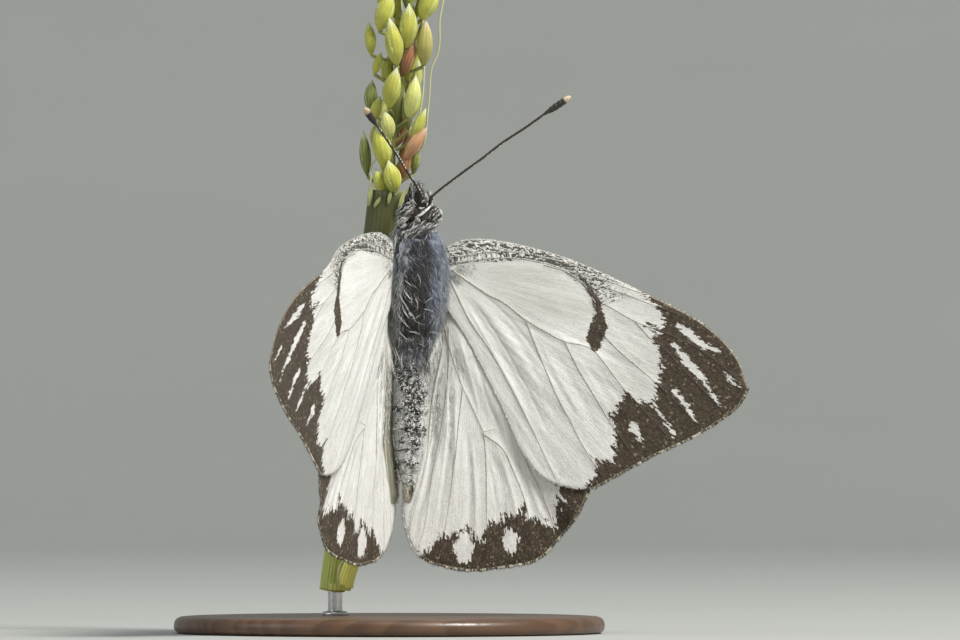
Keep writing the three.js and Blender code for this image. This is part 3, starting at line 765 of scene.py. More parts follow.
HIND_BORDER = [
    (9.9, -11.6), (9.35, -13.2), (8.75, -14.3), (8.35, -15.22), (8.35, -16.33), (8.52, -16.81), (8.38, -18.0), (7.65, -17.42),
    (6.96, -17.60), (6.47, -17.56), (6.21, -16.60), (5.76, -17.32), (4.86, -17.37), (4.56, -18.16), (3.85, -17.92), (3.67, -18.49),
    (3.51, -19.26), (2.73, -19.03), (2.40, -18.21), (1.81, -18.67), (1.07, -19.20), (0.70, -18.80), (0.13, -19.74), (-0.53, -20.34),
    (-0.95, -20.6), (-1.4, -21.6), (3, -23), (9, -21.5), (13, -17), (12.5, -12)]
HIND_WHITES = [
    [(2.15, -19.15, .38), (2.15, -19.75, .70), (2.25, -20.4, .50)],
    [(5.15, -18.55, .25), (5.35, -19.05, .58), (5.45, -19.6, .42), (5.5, -20.1, .12)],
    [(7.3, -17.44, .10), (7.7, -17.75, .16), (8.45, -18.0, .05)],
    [(7.65, -15, .08), (8.4, -15.7, .20), (9.15, -16.3, .05)],
]


def union(p, rows):
    return np.min([chain(p, r) for r in rows], axis=0)


def relief(p, veins, folds, seed):
    h = np.zeros(len(p))
    for line, r0, r1 in veins:
        d, _ = far(p, curve(line, np.linspace(0, 1, 6 * len(line))))
        h += 0.030 * np.exp(-(d / 0.16) ** 2)
    for line, amount, wide in folds:
        d, k = far(p, curve(line, np.linspace(0, 1, 6 * len(line))))
        ends = smooth(0, 0.2, k) * smooth(1, 0.75, k)
        h += (0.95 if seed in (3, 43) else 1.5) * amount * ends / (1 + (d / wide) ** 2) ** 1.5
    # the membrane is a little wavy across the rays of the wing
    th = np.arctan2(-p[:, 1], p[:, 0] + 3.0)
    r = np.hypot(p[:, 0] + 3.0, p[:, 1])
    q = np.stack([th * 16, r * 0.22, np.full(len(p), seed * 7.3)], 1)
    h += (noise(q, 1.0, seed) - 0.5) * 0.07 * smooth(5, 13, r) + (noise(q * [2.6, 0.6, 1], 1.0, seed + 5) - 0.5) * 0.040 * smooth(4, 12, r)
    return h


def rays(p, centre, at):
    """Along and across coordinates for grain that runs out from the wing root."""
    d = p - np.asarray(centre)
    r = np.hypot(d[:, 0], d[:, 1])
    return r, np.arctan2(d[:, 1], d[:, 0]) * at


def wing(fore, side, nt, nw):
    SIDE[0] = side
    edges = FORE_EDGES if fore else HIND_EDGES
    veins, folds = (FORE_VEINS, FORE_FOLDS) if fore else (HIND_VEINS, HIND_FOLDS)
    t, w = spaced(edges, nt, True), spaced(edges, nw, False)
    p = patch(edges, t, w)
    nt, nw = len(t), len(w)
    p = p.reshape(-1, 2)
    seed = (3 if fore else 11) + (0 if side > 0 else 40)
    outline = np.vstack([curve(edges[0], np.linspace(0, 1, 120)), curve(edges[1], np.linspace(0, 1, 120)),
                         curve(edges[2], np.linspace(1, 0, 120))])
    rim, _ = far(p, outline)
    rim = np.where(inside(p, outline), rim, 0)
    h = (fore_height if fore else hind_height)(p[:, 0], p[:, 1]) + relief(p, veins, folds, seed) * smooth(0, 0.5, rim)
    half = HALF * (0.35 + 0.65 * smooth(0, 0.25, rim))

    # marks
    vein = np.full(len(p), 9.0)
    for line, r0, r1 in veins:
        d, k = far(p, curve(line, np.linspace(0, 1, 6 * len(line))))
        vein = np.minimum(vein, d - (r0 + (r1 - r0) * k))
    if fore:
        border, white = region(p, FORE_BORDER), union(p, FORE_WHITES) + 0.05
        spot = union(p, FORE_SPOT)
        d, _ = far(p, curve(FORE_GREY, np.linspace(0, 1, 80)))
        inner = inside(p, GREY_ABOVE)
        x = p[:, 0]
        band = np.where(inner, d, -d)
        grey = smooth(-0.14, 0.22, band) * (1 - 0.75 * smooth(9.6, 12.8, x))
        costal = smooth(0.42, 0.10, rim) * smooth(15, 8, x) * (p[:, 1] > -3)
        edge_dark = np.exp(-((band - 0.26) / 0.24) ** 2) * smooth(1.2, 5.0, x) * (1 - smooth(10.6, 12, x))
        speck = grey * (0.525 + 0.07 * smooth(3, 7, x)) + 0.22 * edge_dark - 0.06 * costal * grey
        root = np.exp(-np.hypot(p[:, 0] + 0.3, 0.5 * (p[:, 1] + 0.8)) / 0.6)
        speck = np.maximum(speck, 0.30 * root)
        below = p[:, 1] + 0.62 * (p[:, 0] - 4.6) + 2.2
        # painted shade: an olive darkening of the forewing's cell, strong on the right wing and faint on the left
        painted_shade = 0.85 * np.exp(-((p[:, 0] - 4.3) / 2.9) ** 2 - ((p[:, 1] + 0.42 * (p[:, 0] - 4.3) + 2.35) / np.where(below > 0, 1.7, 1.25)) ** 2) * (1.0 if side > 0 else 0.22)
        if side > 0:
            # more painted shade over the right forewing's cell and towards its tip
            painted_shade = np.maximum(painted_shade, 0.95 * np.exp(-(((p[:, 0] - 6.4) / 4.6) ** 2 + ((p[:, 1] + 1.7 + 0.2 * (p[:, 0] - 6.4)) / 2.0) ** 2) ** 2))
            painted_shade = np.maximum(painted_shade, 0.34 * smooth(9.5, 13.0, p[:, 0]) * smooth(-12, -9, p[:, 1]))
        grain = rays(p, (-2.0, -0.2), 15.0)
        # the costal speckles run with the costa
        k = smooth(-0.4, 0.6, band) * smooth(14, 10, x)
        grain = (grain[0], grain[1] * (1 - k) + k * (p[:, 1] + 0.12 * p[:, 0]) * 1.0)
    else:
        border, white = region(p, HIND_BORDER), union(p, HIND_WHITES)
        spot = np.full(len(p), 5.0)
        root = np.exp(-np.hypot(p[:, 0] * 1.2, (p[:, 1] + 3) * 0.7) / 1.6)
        grey = root
        speck = 0.3 * root
        # painted shade: the hindwing's inner margin strip is darkened where it lies in shade, most on the left wing; on
        # the right wing thin painted shadow lines run beside the ridge
        painted_shade = smooth(0.02, 0.16, ridge_of(p[:, 1]) - p[:, 0]) * smooth(-17.4, -16.9, p[:, 1]) * smooth(-6, -8.5, p[:, 1]) * (0.6 if side > 0 else 2.0)
        if side > 0:
            k = smooth(-20.4, -18.5, p[:, 1]) * smooth(-5.5, -8.0, p[:, 1])
            gap = p[:, 0] - ridge_of(p[:, 1])
            painted_shade = np.maximum(painted_shade, 1.35 * k * np.exp(-((gap - 0.30) / 0.060) ** 2))
            painted_shade = np.maximum(painted_shade, 1.0 * k * np.exp(-((gap - 0.98) / 0.075) ** 2))
        grain = rays(p, (1.2, 2.0), 18.0)
    # under side: broad dark veins on the hindwing, a zigzag band, a pale-spotted border
    if fore:
        apical = smooth(13.2, 15.0, p[:, 0] + 0.15 * p[:, 1] + 1.2)
        u_vein = np.where(apical > 0.5, vein - 0.10, vein - 0.02)
        u_mark = np.minimum(border + 0.35, spot + 0.06)
        u_pale = union(p, [[(a, b, r * 1.9 + 0.06) for a, b, r in row] for row in FORE_WHITES[:6]])
        u_warm = apical
    else:
        zig = [(9.6, -12.2), (8.3, -13.4), (7.5, -14.7), (6.5, -14.4), (5.6, -15.9), (4.4, -15.6), (3.5, -17.0), (2.3, -16.3),
               (1.1, -17.8), (0.1, -17.2), (-0.9, -18.2)]
        bars = [[(x, y, 0.16) for x, y in zig], [(5.9, -9.5, .14), (4.6, -10.7, .17), (3.1, -11.6, .15)],
                [(7.6, -7.4, .12), (6.4, -8.3, .16)]]
        u_vein = vein - 0.13
        u_mark = np.minimum(np.minimum(union(p, bars), border + 0.62 - 0.2 * noise(np.c_[p, p[:, :1] * 0], 1.3, 8)), 9)
        u_pale = union(p, HIND_WHITES + [[(0.0, -19.95, .2), (0.2, -20.5, .3)], [(9.0, -14.2, .2), (9.9, -14.7, .22)]])
        u_warm = smooth(1.2, 0.2, np.abs(p[:, 1] + 2.55 + 0.28 * p[:, 0])) * smooth(5.2, 2.0, p[:, 0])
    n = len(p)
    both = Build()
    grid = np.arange(n).reshape(nt, nw)
    quad = np.stack([grid[:-1, :-1], grid[1:, :-1], grid[1:, 1:], grid[:-1, 1:]], -1).reshape(-1, 4)
    loop = np.r_[grid[:, 0], grid[-1, 1:], grid[-2::-1, -1], grid[0, -2:0:-1]]
    nxt = np.roll(loop, -1)
    rim_quads = np.stack([loop, nxt, nxt + n, loop + n], -1)
    top = on_wing(fore, side, p[:, 0], p[:, 1], h + half)
    low = on_wing(fore, side, p[:, 0], p[:, 1], h - half)
    verts = np.vstack([top, low])
    faces = outward(verts, [quad[:, ::-1], quad + n, rim_quads])
    two = lambda a, b=None: np.concatenate([a, a if b is None else b])
    size = vec(24.0, 24.0)
    base = (p - [-2.6, -21.6]) / size
    uv = np.vstack([base * [0.48, 0.98] + [0.01, 0.01], base * [0.48, 0.98] + [0.51, 0.01]])
    flag = np.r_[np.ones(n), np.zeros(n)]
    both.add(verts, faces,
             wuv=np.column_stack([two(p[:, 0]), two(p[:, 1]), flag]),
             wray=np.column_stack([two(grain[0]), two(grain[1]), np.full(2 * n, seed * 3.1) + 9.0 * flag]),
             wmark=np.column_stack([two(border, u_mark), two(white, u_pale), two(spot, u_vein)]),
             wgrey=np.column_stack([two(grey, u_warm), two(speck, 0 * speck), two(rim)]),
             # painted shade, on the upper side only
             wpainted_shade=two(painted_shade, 0 * painted_shade),
             uv=uv)
    return both


def rim_direction(build):
    """Make the three groups of faces of a wing agree with each other."""
    verts, faces, _ = build.arrays()
    top, low, rim = faces
    # an edge shared by two faces that agree is walked once each way
    def edges(f):
        return {(int(a), int(b)) for q in f for a, b in zip(q, np.roll(q, -1))}
    rim_e = edges(rim)
    if rim_e & edges(top) or rim_e & edges(low):
        build.f[2] = rim[:, ::-1]
    return build


def vein_tubes(fore, side, seed):
    SIDE[0] = side
    veins, folds = (FORE_VEINS, FORE_FOLDS) if fore else (HIND_VEINS, HIND_FOLDS)
    out = Build()
    height = fore_height if fore else hind_height
    outline = np.vstack([curve(e, np.linspace(0, 1, 120)) for e in ((FORE_EDGES if fore else HIND_EDGES)[k] for k in (0, 1))]
                        + [curve((FORE_EDGES if fore else HIND_EDGES)[2], np.linspace(1, 0, 120))])
    for line, r0, r1 in veins:
        size = np.linalg.norm(np.diff(np.asarray(line, float), axis=0), axis=1).sum()
        p = even(line, max(8, int(size / 0.22)))
        rim, _ = far(p, outline)
        h = height(p[:, 0], p[:, 1]) + relief(p, veins, folds, (3 if fore else 11) + (0 if side > 0 else 40)) * smooth(0, 0.5, rim)
        mid = on_wing(fore, side, p[:, 0], p[:, 1], h)
        k = np.linspace(0, 1, len(p))
        wobble = 1 + 0.10 * (noise(np.c_[k * size * 1.2, k * 0 + seed, k * 0], 1.0, seed) - 0.5)
        r = (0.050 + 0.22 * (r0 + (r1 - r0) * k ** 0.8)) * wobble * (1 - 0.5 * smooth(0.985, 1, k))
        border = region(p, FORE_BORDER if fore else HIND_BORDER)
        if fore:
            border = np.minimum(border, union(p, FORE_SPOT) - 0.04)
        white = union(p, FORE_WHITES if fore else HIND_WHITES)
        band = np.where(inside(p, GREY_ABOVE), far(p, curve(FORE_GREY, np.linspace(0, 1, 80)))[0], -1) if fore else np.full(len(p), -1.0)
        grey = smooth(-0.1, 0.2, band) * smooth(13.5, 10.5, p[:, 0])
        v, f, go, ang = tube(mid, r, 8)
        i = np.minimum((go * (len(p) - 1)).round().astype(int), len(p) - 1)
        out.add(v, f, vdark=np.column_stack([border[i], white[i], grey[i]]), vuv=np.column_stack([p[i], np.full(len(v), seed)]), vgo=go)
    return out


def fringe(fore, side, seed):
    """Short scales that stand out round the outer edge of a wing."""
    SIDE[0] = side
    edges = FORE_EDGES if fore else HIND_EDGES
    rnd = np.random.default_rng(seed)
    parts = []
    runs = ([(edges[1], 1700, 0.20), (edges[0], 1100, 0.08), (edges[2], 700, 0.15)] if fore
            else [(edges[1], 2000, 0.21), (edges[2], 1200, 0.24)])
    height = fore_height if fore else hind_height
    P, D, N, L, K, G = [], [], [], [], [], []
    for line, count, length in runs:
        fine = curve(line, np.linspace(0, 1, 400))
        s = np.r_[0, np.cumsum(np.linalg.norm(np.diff(fine, axis=0), axis=1))]
        at = np.sort(rnd.uniform(0, s[-1], count))
        p = np.stack([np.interp(at, s, fine[:, k]) for k in (0, 1)], 1)
        q = np.stack([np.interp(np.minimum(at + 0.05, s[-1]), s, fine[:, k]) - np.interp(np.maximum(at - 0.05, 0), s, fine[:, k]) for k in (0, 1)], 1)
        q = unit(q)
        out = np.stack([-q[:, 1], q[:, 0]], 1)
        mid = vec(7.0, -5.5) if fore else vec(4.0, -13.0)
        out = np.where(dots(out, p - mid)[:, None] < 0, -out, out)
        along = unit(p - (vec(-1.0, 0.5) if fore else vec(1.0, 1.0)))
        out = unit(out * 0.75 + along * 0.6 + rnd.normal(0, 0.16, out.shape))
        clump = noise(np.c_[at, at * 0, at * 0 + seed], 0.30, seed)
        P.append(p - out * 0.10); D.append(out); G.append(clump)
        L.append(length * rnd.uniform(0.5, 1.15, count) * (0.7 + 0.6 * clump))
        K.append(at)
    p, d, length, clump = np.vstack(P), np.vstack(D), np.concatenate(L), np.concatenate(G)
    h = height(p[:, 0], p[:, 1])
    root = on_wing(fore, side, p[:, 0], p[:, 1], h)
    tip = on_wing(fore, side, p[:, 0] + d[:, 0] * 0.1, p[:, 1] + d[:, 1] * 0.1, h + 0.0)
    up = on_wing(fore, side, p[:, 0], p[:, 1], h + 1.0) - root
    along = unit(tip - root)
    n = len(p)
    v, f, which, go = tufts(root, unit(up), along, length + 0.10, rnd.uniform(0.04, 0.075, n), rnd.normal(0, 0.25, n), 0.3,
                            rings=(0.0, 0.55), flat=0.35, seed=seed)
    border = region(p, FORE_BORDER if fore else HIND_BORDER)
    # cream flecks among brown ones where the border is dark, white elsewhere
    pale = np.where(border > 0.1, 1.0, (rnd.uniform(0, 1, n) < smooth(0.60, 0.78, clump) * 0.95 + 0.24).astype(float))
    tone = rnd.uniform(0.75, 1.12, n)
    cream = vec(0.72, 0.69, 0.56)
    brown = vec(0.085, 0.065, 0.048)
    white = vec(0.76, 0.76, 0.73)
    col = np.where(pale[:, None] > 0.5, np.where(border[:, None] > 0.1, white, cream), brown) * tone[:, None]
    size = vec(24.0, 24.0)
    at = ((p - [-2.6, -21.6]) / size) * [0.98, 0.98] + 0.01
    b = Build()
    b.add(v, f, tint=col[which], go=go, bp=v, uv=coat_uv(at, which, go, np.tile([1, 0, -1, 1, 0, -1, 0], n)))
    return b


def wing_look():
    m = Look("wing_scales")
    uvw = m.split(m.vector("wuv"))
    flat = m.vector("wuv")
    ray = m.vector("wray")
    mark = m.split(m.vector("wmark"))
    more = m.split(m.vector("wgrey"))
    top = uvw[2]
    # single scales: long cells that lie along the rays of the wing
    scales = m.cells(m.scale(ray, (1 / 0.15, 1 / 0.085, 1.0)), 1.0)
    tone = m.split(scales["Color"])
    long_scales = m.cells(m.scale(ray, (1 / 0.62, 1 / 0.115, 1.0)), 1.0)
    long_tone = m.split(long_scales["Color"])
    streak = m.noise(m.scale(ray, (1.3, 8.5, 1.0)), 1.0, 3.0, 0.6)
    fine = m.noise(m.scale(ray, (4.0, 16.0, 1.0)), 1.0, 2.0, 0.6)
    ragged = m.noise(flat, 6.5, 2.0, 0.65)
    # feathered edge between white and dark scales
    feather = m.add(m.mul(m.sub(long_tone[0], 0.5), 0.46), m.mul(m.sub(streak, 0.5), 0.75))
    feather = m.add(feather, m.add(m.mul(m.sub(tone[0], 0.5), 0.16), m.mul(m.sub(ragged, 0.5), 0.45)))
    tuft = m.add(m.mul(m.sub(ragged, 0.5), 1.15), m.add(m.mul(m.sub(tone[1], 0.5), 0.22), m.mul(m.sub(long_tone[1], 0.5), 0.16)))
    border = m.step(m.add(mark[0], feather), 0.03, -0.03)
    spot = m.step(m.add(mark[2], m.add(m.mul(m.sub(fine, 0.5), 0.20), m.add(m.mul(m.sub(ragged, 0.5), 0.35), m.mul(m.sub(tone[0], 0.5), 0.14)))), 0.03, -0.03)
    hairy = m.add(m.mul(m.sub(streak, 0.5), 0.34), m.mul(m.sub(long_tone[1], 0.5), 0.20))
    whites = m.step(m.add(m.add(mark[1], m.mul(tuft, 0.30)), hairy), 0.03, -0.03)
    stray = m.step(m.add(tone[2], m.mul(m.math("ABSOLUTE", mark[0]), -0.8)), 0.84, 0.88)
    dark = m.math("MAXIMUM", m.mul(border, m.sub(1.0, whites)), spot)
    dark = m.math("MAXIMUM", dark, m.mul(m.mul(stray, m.step(mark[0], 0.5, 0.05)), 0.75), clamp=True)

    cloud = m.noise(flat, 0.32, 3.0, 0.55)
    blotch = m.noise(flat, 2.2, 3.0, 0.6)
    rays_ = m.noise(m.scale(ray, (0.35, 5.0, 1.0)), 1.0, 3.0, 0.55)
    white = m.mix(m.step(cloud, 0.32, 0.68), (0.69, 0.685, 0.66), (0.76, 0.757, 0.735))
    white = m.mix(m.mul(m.step(blotch, 0.42, 0.75), 0.30), white, (0.62, 0.62, 0.60))
    white = m.dim(white, m.mul(m.step(tone[1], 0.0, 1.0, 0.92, 1.05, "LINEAR"), m.step(rays_, 0.30, 0.70, 0.93, 1.05, "LINEAR")))
    white = m.dim(white, m.step(long_tone[2], 0.0, 1.0, 0.955, 1.035, "LINEAR"))
    # painted shade along thin creases, with a thin painted highlight beside each
    crease_shade = m.noise(m.scale(ray, (0.10, 1.7, 1.0)), 1.0, 3.0, 0.6)
    crease_shade = m.math("ABSOLUTE", m.sub(crease_shade, 0.5))
    white = m.dim(white, m.mul(m.step(crease_shade, 0.0, 0.012, 0.84, 1.0), m.step(m.math("ABSOLUTE", m.sub(crease_shade, 0.022)), 0.0, 0.010, 1.06, 1.0)))
    # painted olive shade: the shaded cell and tip of the right forewing, and the shaded inner margin strips of the
    # hindwings with thin painted shadow lines
    painted_shade = m.value("wpainted_shade")
    white = m.mix(m.mul(m.math("MINIMUM", painted_shade, 1.0), 0.66), white, m.dim((0.405, 0.398, 0.362), m.step(streak, 0.25, 0.75, 0.8, 1.2, "LINEAR")))
    white = m.mix(m.mul(m.step(painted_shade, 1.0, 1.7), 0.9), white, m.dim((0.20, 0.192, 0.135), m.step(streak, 0.25, 0.75, 0.7, 1.3, "LINEAR")))
    # greyer where dark scales are dusted in
    white = m.mix(m.mul(more[0], 0.72), white, (0.40, 0.395, 0.36))
    dust = m.noise(m.scale(ray, (2.3, 7.4, 1.0)), 1.0, 3.0, 0.75)
    specks = m.step(m.add(m.add(more[1], m.mul(m.sub(dust, 0.5), 1.25)), m.mul(m.sub(tone[2], 0.5), 0.60)), 0.44, 0.54)
    speck_on = m.mul(specks, m.step(more[1], 0.03, 0.14))
    white = m.mix(m.mul(speck_on, 0.96), white, (0.044, 0.040, 0.036))
    glint = m.mul(m.step(m.add(m.mul(m.sub(dust, 0.5), -1.1), m.mul(tone[0], 0.5)), 0.38, 0.48), m.step(more[1], 0.1, 0.3))
    white = m.mix(m.mul(glint, 0.70), white, (0.77, 0.77, 0.75))

    brown = m.mix(m.math("POWER", tone[2], 1.6), (0.046, 0.035, 0.024), (0.130, 0.098, 0.066))
    brown = m.mix(m.mul(m.step(blotch, 0.45, 0.8), 0.5), brown, (0.052, 0.040, 0.034))
    brown = m.dim(brown, m.step(scales["Distance"], 0.1, 0.6, 1.18, 0.72, "LINEAR"))
    pale_scale = m.step(m.add(tone[1], m.mul(m.step(more[2], 0.9, 0.1), 0.05)), 0.958, 0.975)
    brown = m.mix(m.mul(pale_scale, 0.5), brown, (0.34, 0.29, 0.21))
    above = m.mix(dark, white, brown)
    # a thin pale line of edge scales all round
    margin = m.step(m.add(more[2], m.mul(m.sub(fine, 0.5), 0.10)), 0.085, 0.045)
    above = m.mix(m.mul(margin, m.step(dark, 0.2, 0.8, 0.1, 0.62)), above, (0.40, 0.35, 0.25))

    # under side
    u_edge = m.add(m.mul(m.sub(streak, 0.5), 0.20), m.mul(m.sub(tone[0], 0.5), 0.10))
    u_vein = m.step(m.add(mark[2], m.mul(u_edge, 0.5)), 0.025, -0.03)
    u_mark = m.step(m.add(mark[0], u_edge), 0.03, -0.03)
    u_pale = m.step(m.add(mark[1], u_edge), 0.03, -0.03)
    u_dark = m.math("MAXIMUM", m.mul(u_mark, m.sub(1.0, u_pale)), u_vein, clamp=True)
    cream = m.dim(m.mix(cloud, (0.72, 0.71, 0.63), (0.76, 0.755, 0.70)), m.step(tone[1], 0.0, 1.0, 0.93, 1.05, "LINEAR"))
    cream = m.mix(more[0], cream, (0.72, 0.60, 0.30))
    u_brown = m.mix(tone[2], (0.085, 0.062, 0.042), (0.15, 0.112, 0.080))
    below = m.mix(u_dark, cream, u_brown)
    color = m.mix(m.step(top, 0.45, 0.55), below, above)

    relief_h = m.add(m.mul(scales["Distance"], -0.55), m.add(m.mul(streak, 0.9), m.mul(fine, 0.5)))
    normal = m.bump(relief_h, 0.00004, 0.6)
    rough = m.step(tone[0], 0.0, 1.0, 0.50, 0.68, "LINEAR")
    return m.set(color=color, rough=rough, spec=0.22, normal=normal, sheen=0.10, sheen_rough=0.4)


def vein_look():
    m = Look("wing_veins")
    dark = m.split(m.vector("vdark"))
    at = m.vector("vuv")
    n = m.noise(at, 5.0, 3.0, 0.6)
    grain = m.noise(at, 20.0, 2.0, 0.5)
    in_border = m.mul(m.step(m.add(dark[0], m.mul(m.sub(n, 0.5), 0.3)), 0.03, -0.03),
                      m.sub(1.0, m.step(m.add(dark[1], m.mul(m.sub(n, 0.5), 0.2)), 0.03, -0.03)))
    pale = m.mix(m.step(n, 0.3, 0.7), (0.29, 0.27, 0.23), (0.50, 0.485, 0.44))
    gap = m.step(m.noise(at, 1.1, 2.0, 0.5), 0.35, 0.65)
    pale = m.mix(m.mul(m.step(m.value("vgo"), 0.25, 0.95), m.step(gap, 0.0, 1.0, 0.45, 0.9, "LINEAR")), pale, (0.66, 0.655, 0.62))
    band = m.mix(m.step(grain, 0.44, 0.54), (0.115, 0.105, 0.09), (0.50, 0.495, 0.46))
    pale = m.mix(dark[2], pale, band)
    pale = m.dim(pale, m.step(grain, 0.2, 0.8, 0.85, 1.1, "LINEAR"))
    color = m.mix(in_border, pale, m.dim(m.mix(n, (0.05, 0.038, 0.028), (0.075, 0.058, 0.044)), m.step(grain, 0.2, 0.8, 0.8, 1.2, "LINEAR")))
    return m.set(color=color, rough=m.step(n, 0.2, 0.8, 0.52, 0.68, "LINEAR"), spec=0.22, normal=m.bump(grain, 0.00001, 0.4))


def hair_look(name, rough=0.42, spec=0.45, sheen=0.15):
    """Hair and scale tufts take the colour stored with each; roots are darker, tips brighter."""
    m = Look(name)
    tint = m.vector("tint")
    go = m.value("go")
    n = m.noise(m.vector("bp"), 9.0, 2.0, 0.5)
    tone = m.step(go, 0.0, 1.0, 0.82, 1.10, "LINEAR")
    color = m.dim(tint, m.mul(tone, m.step(n, 0.25, 0.75, 0.88, 1.12, "LINEAR")))
    return m.set(color=color, rough=m.step(n, 0.2, 0.8, rough - 0.05, rough + 0.08, "LINEAR"), spec=spec, sheen=sheen, sheen_rough=0.35)

# --------------------------------------------------------------------- body

EYE = dict(centre=vec(1.0, -0.38, 3.10), radii=vec(0.6, 0.8, 0.68))
ABDOMEN = [(0, 0.0, -5.2), (0, 0.0, -5.62), (0.0, -0.22, -8.0), (0.05, -0.42, -10.6), (0.1, -0.66, -13.4), (0.15, -0.86, -16.0)]
ABDOMEN_R = [(0, 1.15), (.05, 1.27), (.2, 1.32), (.4, 1.27), (.62, 1.10), (.8, .86), (.93, .58), (1, .36)]
LEG = dict(
    fore=[(.62, 2.35, .7), (1.85, 2.6, 1.0), (1.9, 3.8, .8), (1.56, 4.95, -.8)],
    mid=[(.95, 2.42, -1.2), (2.6, 2.65, -1.3), (2.15, 4.2, -1.9), (1.54, 5.3, -3.5)],
    hind=[(.8, 2.4, -3.2), (2.25, 2.9, -4.9), (2.0, 4.5, -6.2), (1.54, 5.9, -8.2)])
PALP = [(.40, .50, 3.85), (.46, .38, 4.55), (.34, .10, 5.12)]
ANTENNA_ROOT = vec(.42, -1.1, 4.32)
ANTENNA = dict(right=vec(8.02, -4.6, 7.58), left=vec(-8.02, -4.6, 5.78))


def mirrored(p, side):
    return np.asarray(p, float) * vec(side, 1, 1)


def leg_lines(which, side):
    """Coxa and thigh, shin, and the foot with its claws."""
    a, b, c, d = [mirrored(p, side) for p in LEG[which]]
    coxa = vec(a[0] * 0.75, 1.35, a[2] + 0.15)
    bend = lambda p, q, r, k: p + (q - p) * k + r
    thigh = [coxa, a + vec(0, -0.1, 0), bend(a, b, vec(0, -0.06, 0.05), 0.5), b]
    shin = [b, bend(b, c, vec(side * 0.05, 0, 0.02), 0.5), c]
    foot = [c, bend(c, d, vec(side * 0.06, -0.03, 0.02), 0.4), bend(c, d, vec(side * 0.05, 0.02, 0), 0.8), d]
    return thigh, shin, foot


def abdomen_ring(t):
    """Radius of the abdomen with the overlapping edges of its segments."""
    base = table(ABDOMEN_R, t)
    edges = np.array([0.10, 0.235, 0.375, 0.515, 0.65, 0.775, 0.885])
    step = np.zeros_like(t)
    for e in edges:
        step += 0.030 * smooth(e - 0.10, e - 0.02, t) * smooth(e + 0.02, e, t) - 0.010 * np.exp(-((t - e - 0.006) / 0.012) ** 2)
    return base + step


def flesh():
    """Closed shapes that a fine remesh joins into one skin."""
    b = Build()
    b.add(*ball((0, -0.02, -1.70), (2.14, 2.02, 3.68), 64, 48, 3.0))
    b.add(*ball((0, 0.0, 1.76), (1.54, 1.42, 0.96), 48, 30))
    b.add(*ball((0, -0.06, 3.16), (1.02, 0.98, 0.86), 56, 36, 2.2))
    b.add(*ball((0, 0.10, 3.74), (0.72, 0.70, 0.50), 40, 24))
    b.add(*ball((0, 0.0, -5.25), (1.50, 1.42, 1.75), 40, 24))
    for s in (1, -1):
        b.add(*ball((s * 0.86, -0.06, 0.62), (1.16, 1.46, 1.42), 48, 36))
        line = [(s * 0.36, -0.35, 3.72), (s * 0.40, -0.74, 3.95), (s * 0.42, -1.0, 4.12)]
        b.add(*tube(even(line, 14), np.linspace(0.2, 0.13, 14), 14)[:2])
        line = even([mirrored(p, s) for p in PALP], 24)
        k = np.linspace(0, 1, 24)
        v, f, *_ = tube(line, 0.155 * (0.9 + 0.35 * np.sin(math.pi * k)) * (1 - 0.55 * smooth(0.72, 1, k)), 14)
        b.add(v, f)
        for which in ("fore", "mid", "hind"):
            thigh, shin, foot = leg_lines(which, s)
            p = even(thigh, 26)
            k = np.linspace(0, 1, 26)
            b.add(*tube(p, 0.25 - 0.07 * k + 0.03 * np.sin(math.pi * k) - 0.05 * smooth(0.9, 1, k), 14)[:2])
            p = even(shin, 22)
            k = np.linspace(0, 1, 22)
            b.add(*tube(p, 0.135 + 0.03 * np.sin(math.pi * k) - 0.03 * np.exp(-(k / 0.08) ** 2), 12)[:2])
            p = even(foot, 60)
            k = np.linspace(0, 1, 60)
            cut = np.minimum.reduce([np.abs(k - e) for e in (0.0, 0.44, 0.62, 0.76, 0.88)])
            b.add(*tube(p, 0.115 - 0.02 * k - 0.035 * np.exp(-(cut / 0.018) ** 2), 12)[:2])
    # abdomen: seven segments and the two clasping plates of a male
    m = 220
    t = np.linspace(0, 1, m)
    p = even(ABDOMEN, m)
    r = abdomen_ring(t)
    keel = lambda g, a: 1.0 + 0 * g * a
    v, f, *_ = tube(p, np.stack([r, r * 1.03], 1), 72, hint=(1, 0, 0), section=keel)
    b.add(v, f)
    for s in (1, -1):
        line = even([(0.10 + s * 0.13, -0.86, -15.3), (0.08 + s * 0.22, -0.84, -16.1), (0.06 + s * 0.10, -0.92, -16.86)], 24)
        k = np.linspace(0, 1, 24)
        rr = 0.30 * np.sqrt(np.clip(1 - ((k - 0.35) / 0.66) ** 2, 0.02, 1))
        b.add(*tube(line, np.stack([rr * 0.52, rr * 1.15], 1), 20, hint=(1, 0, 0))[:2])
    return b


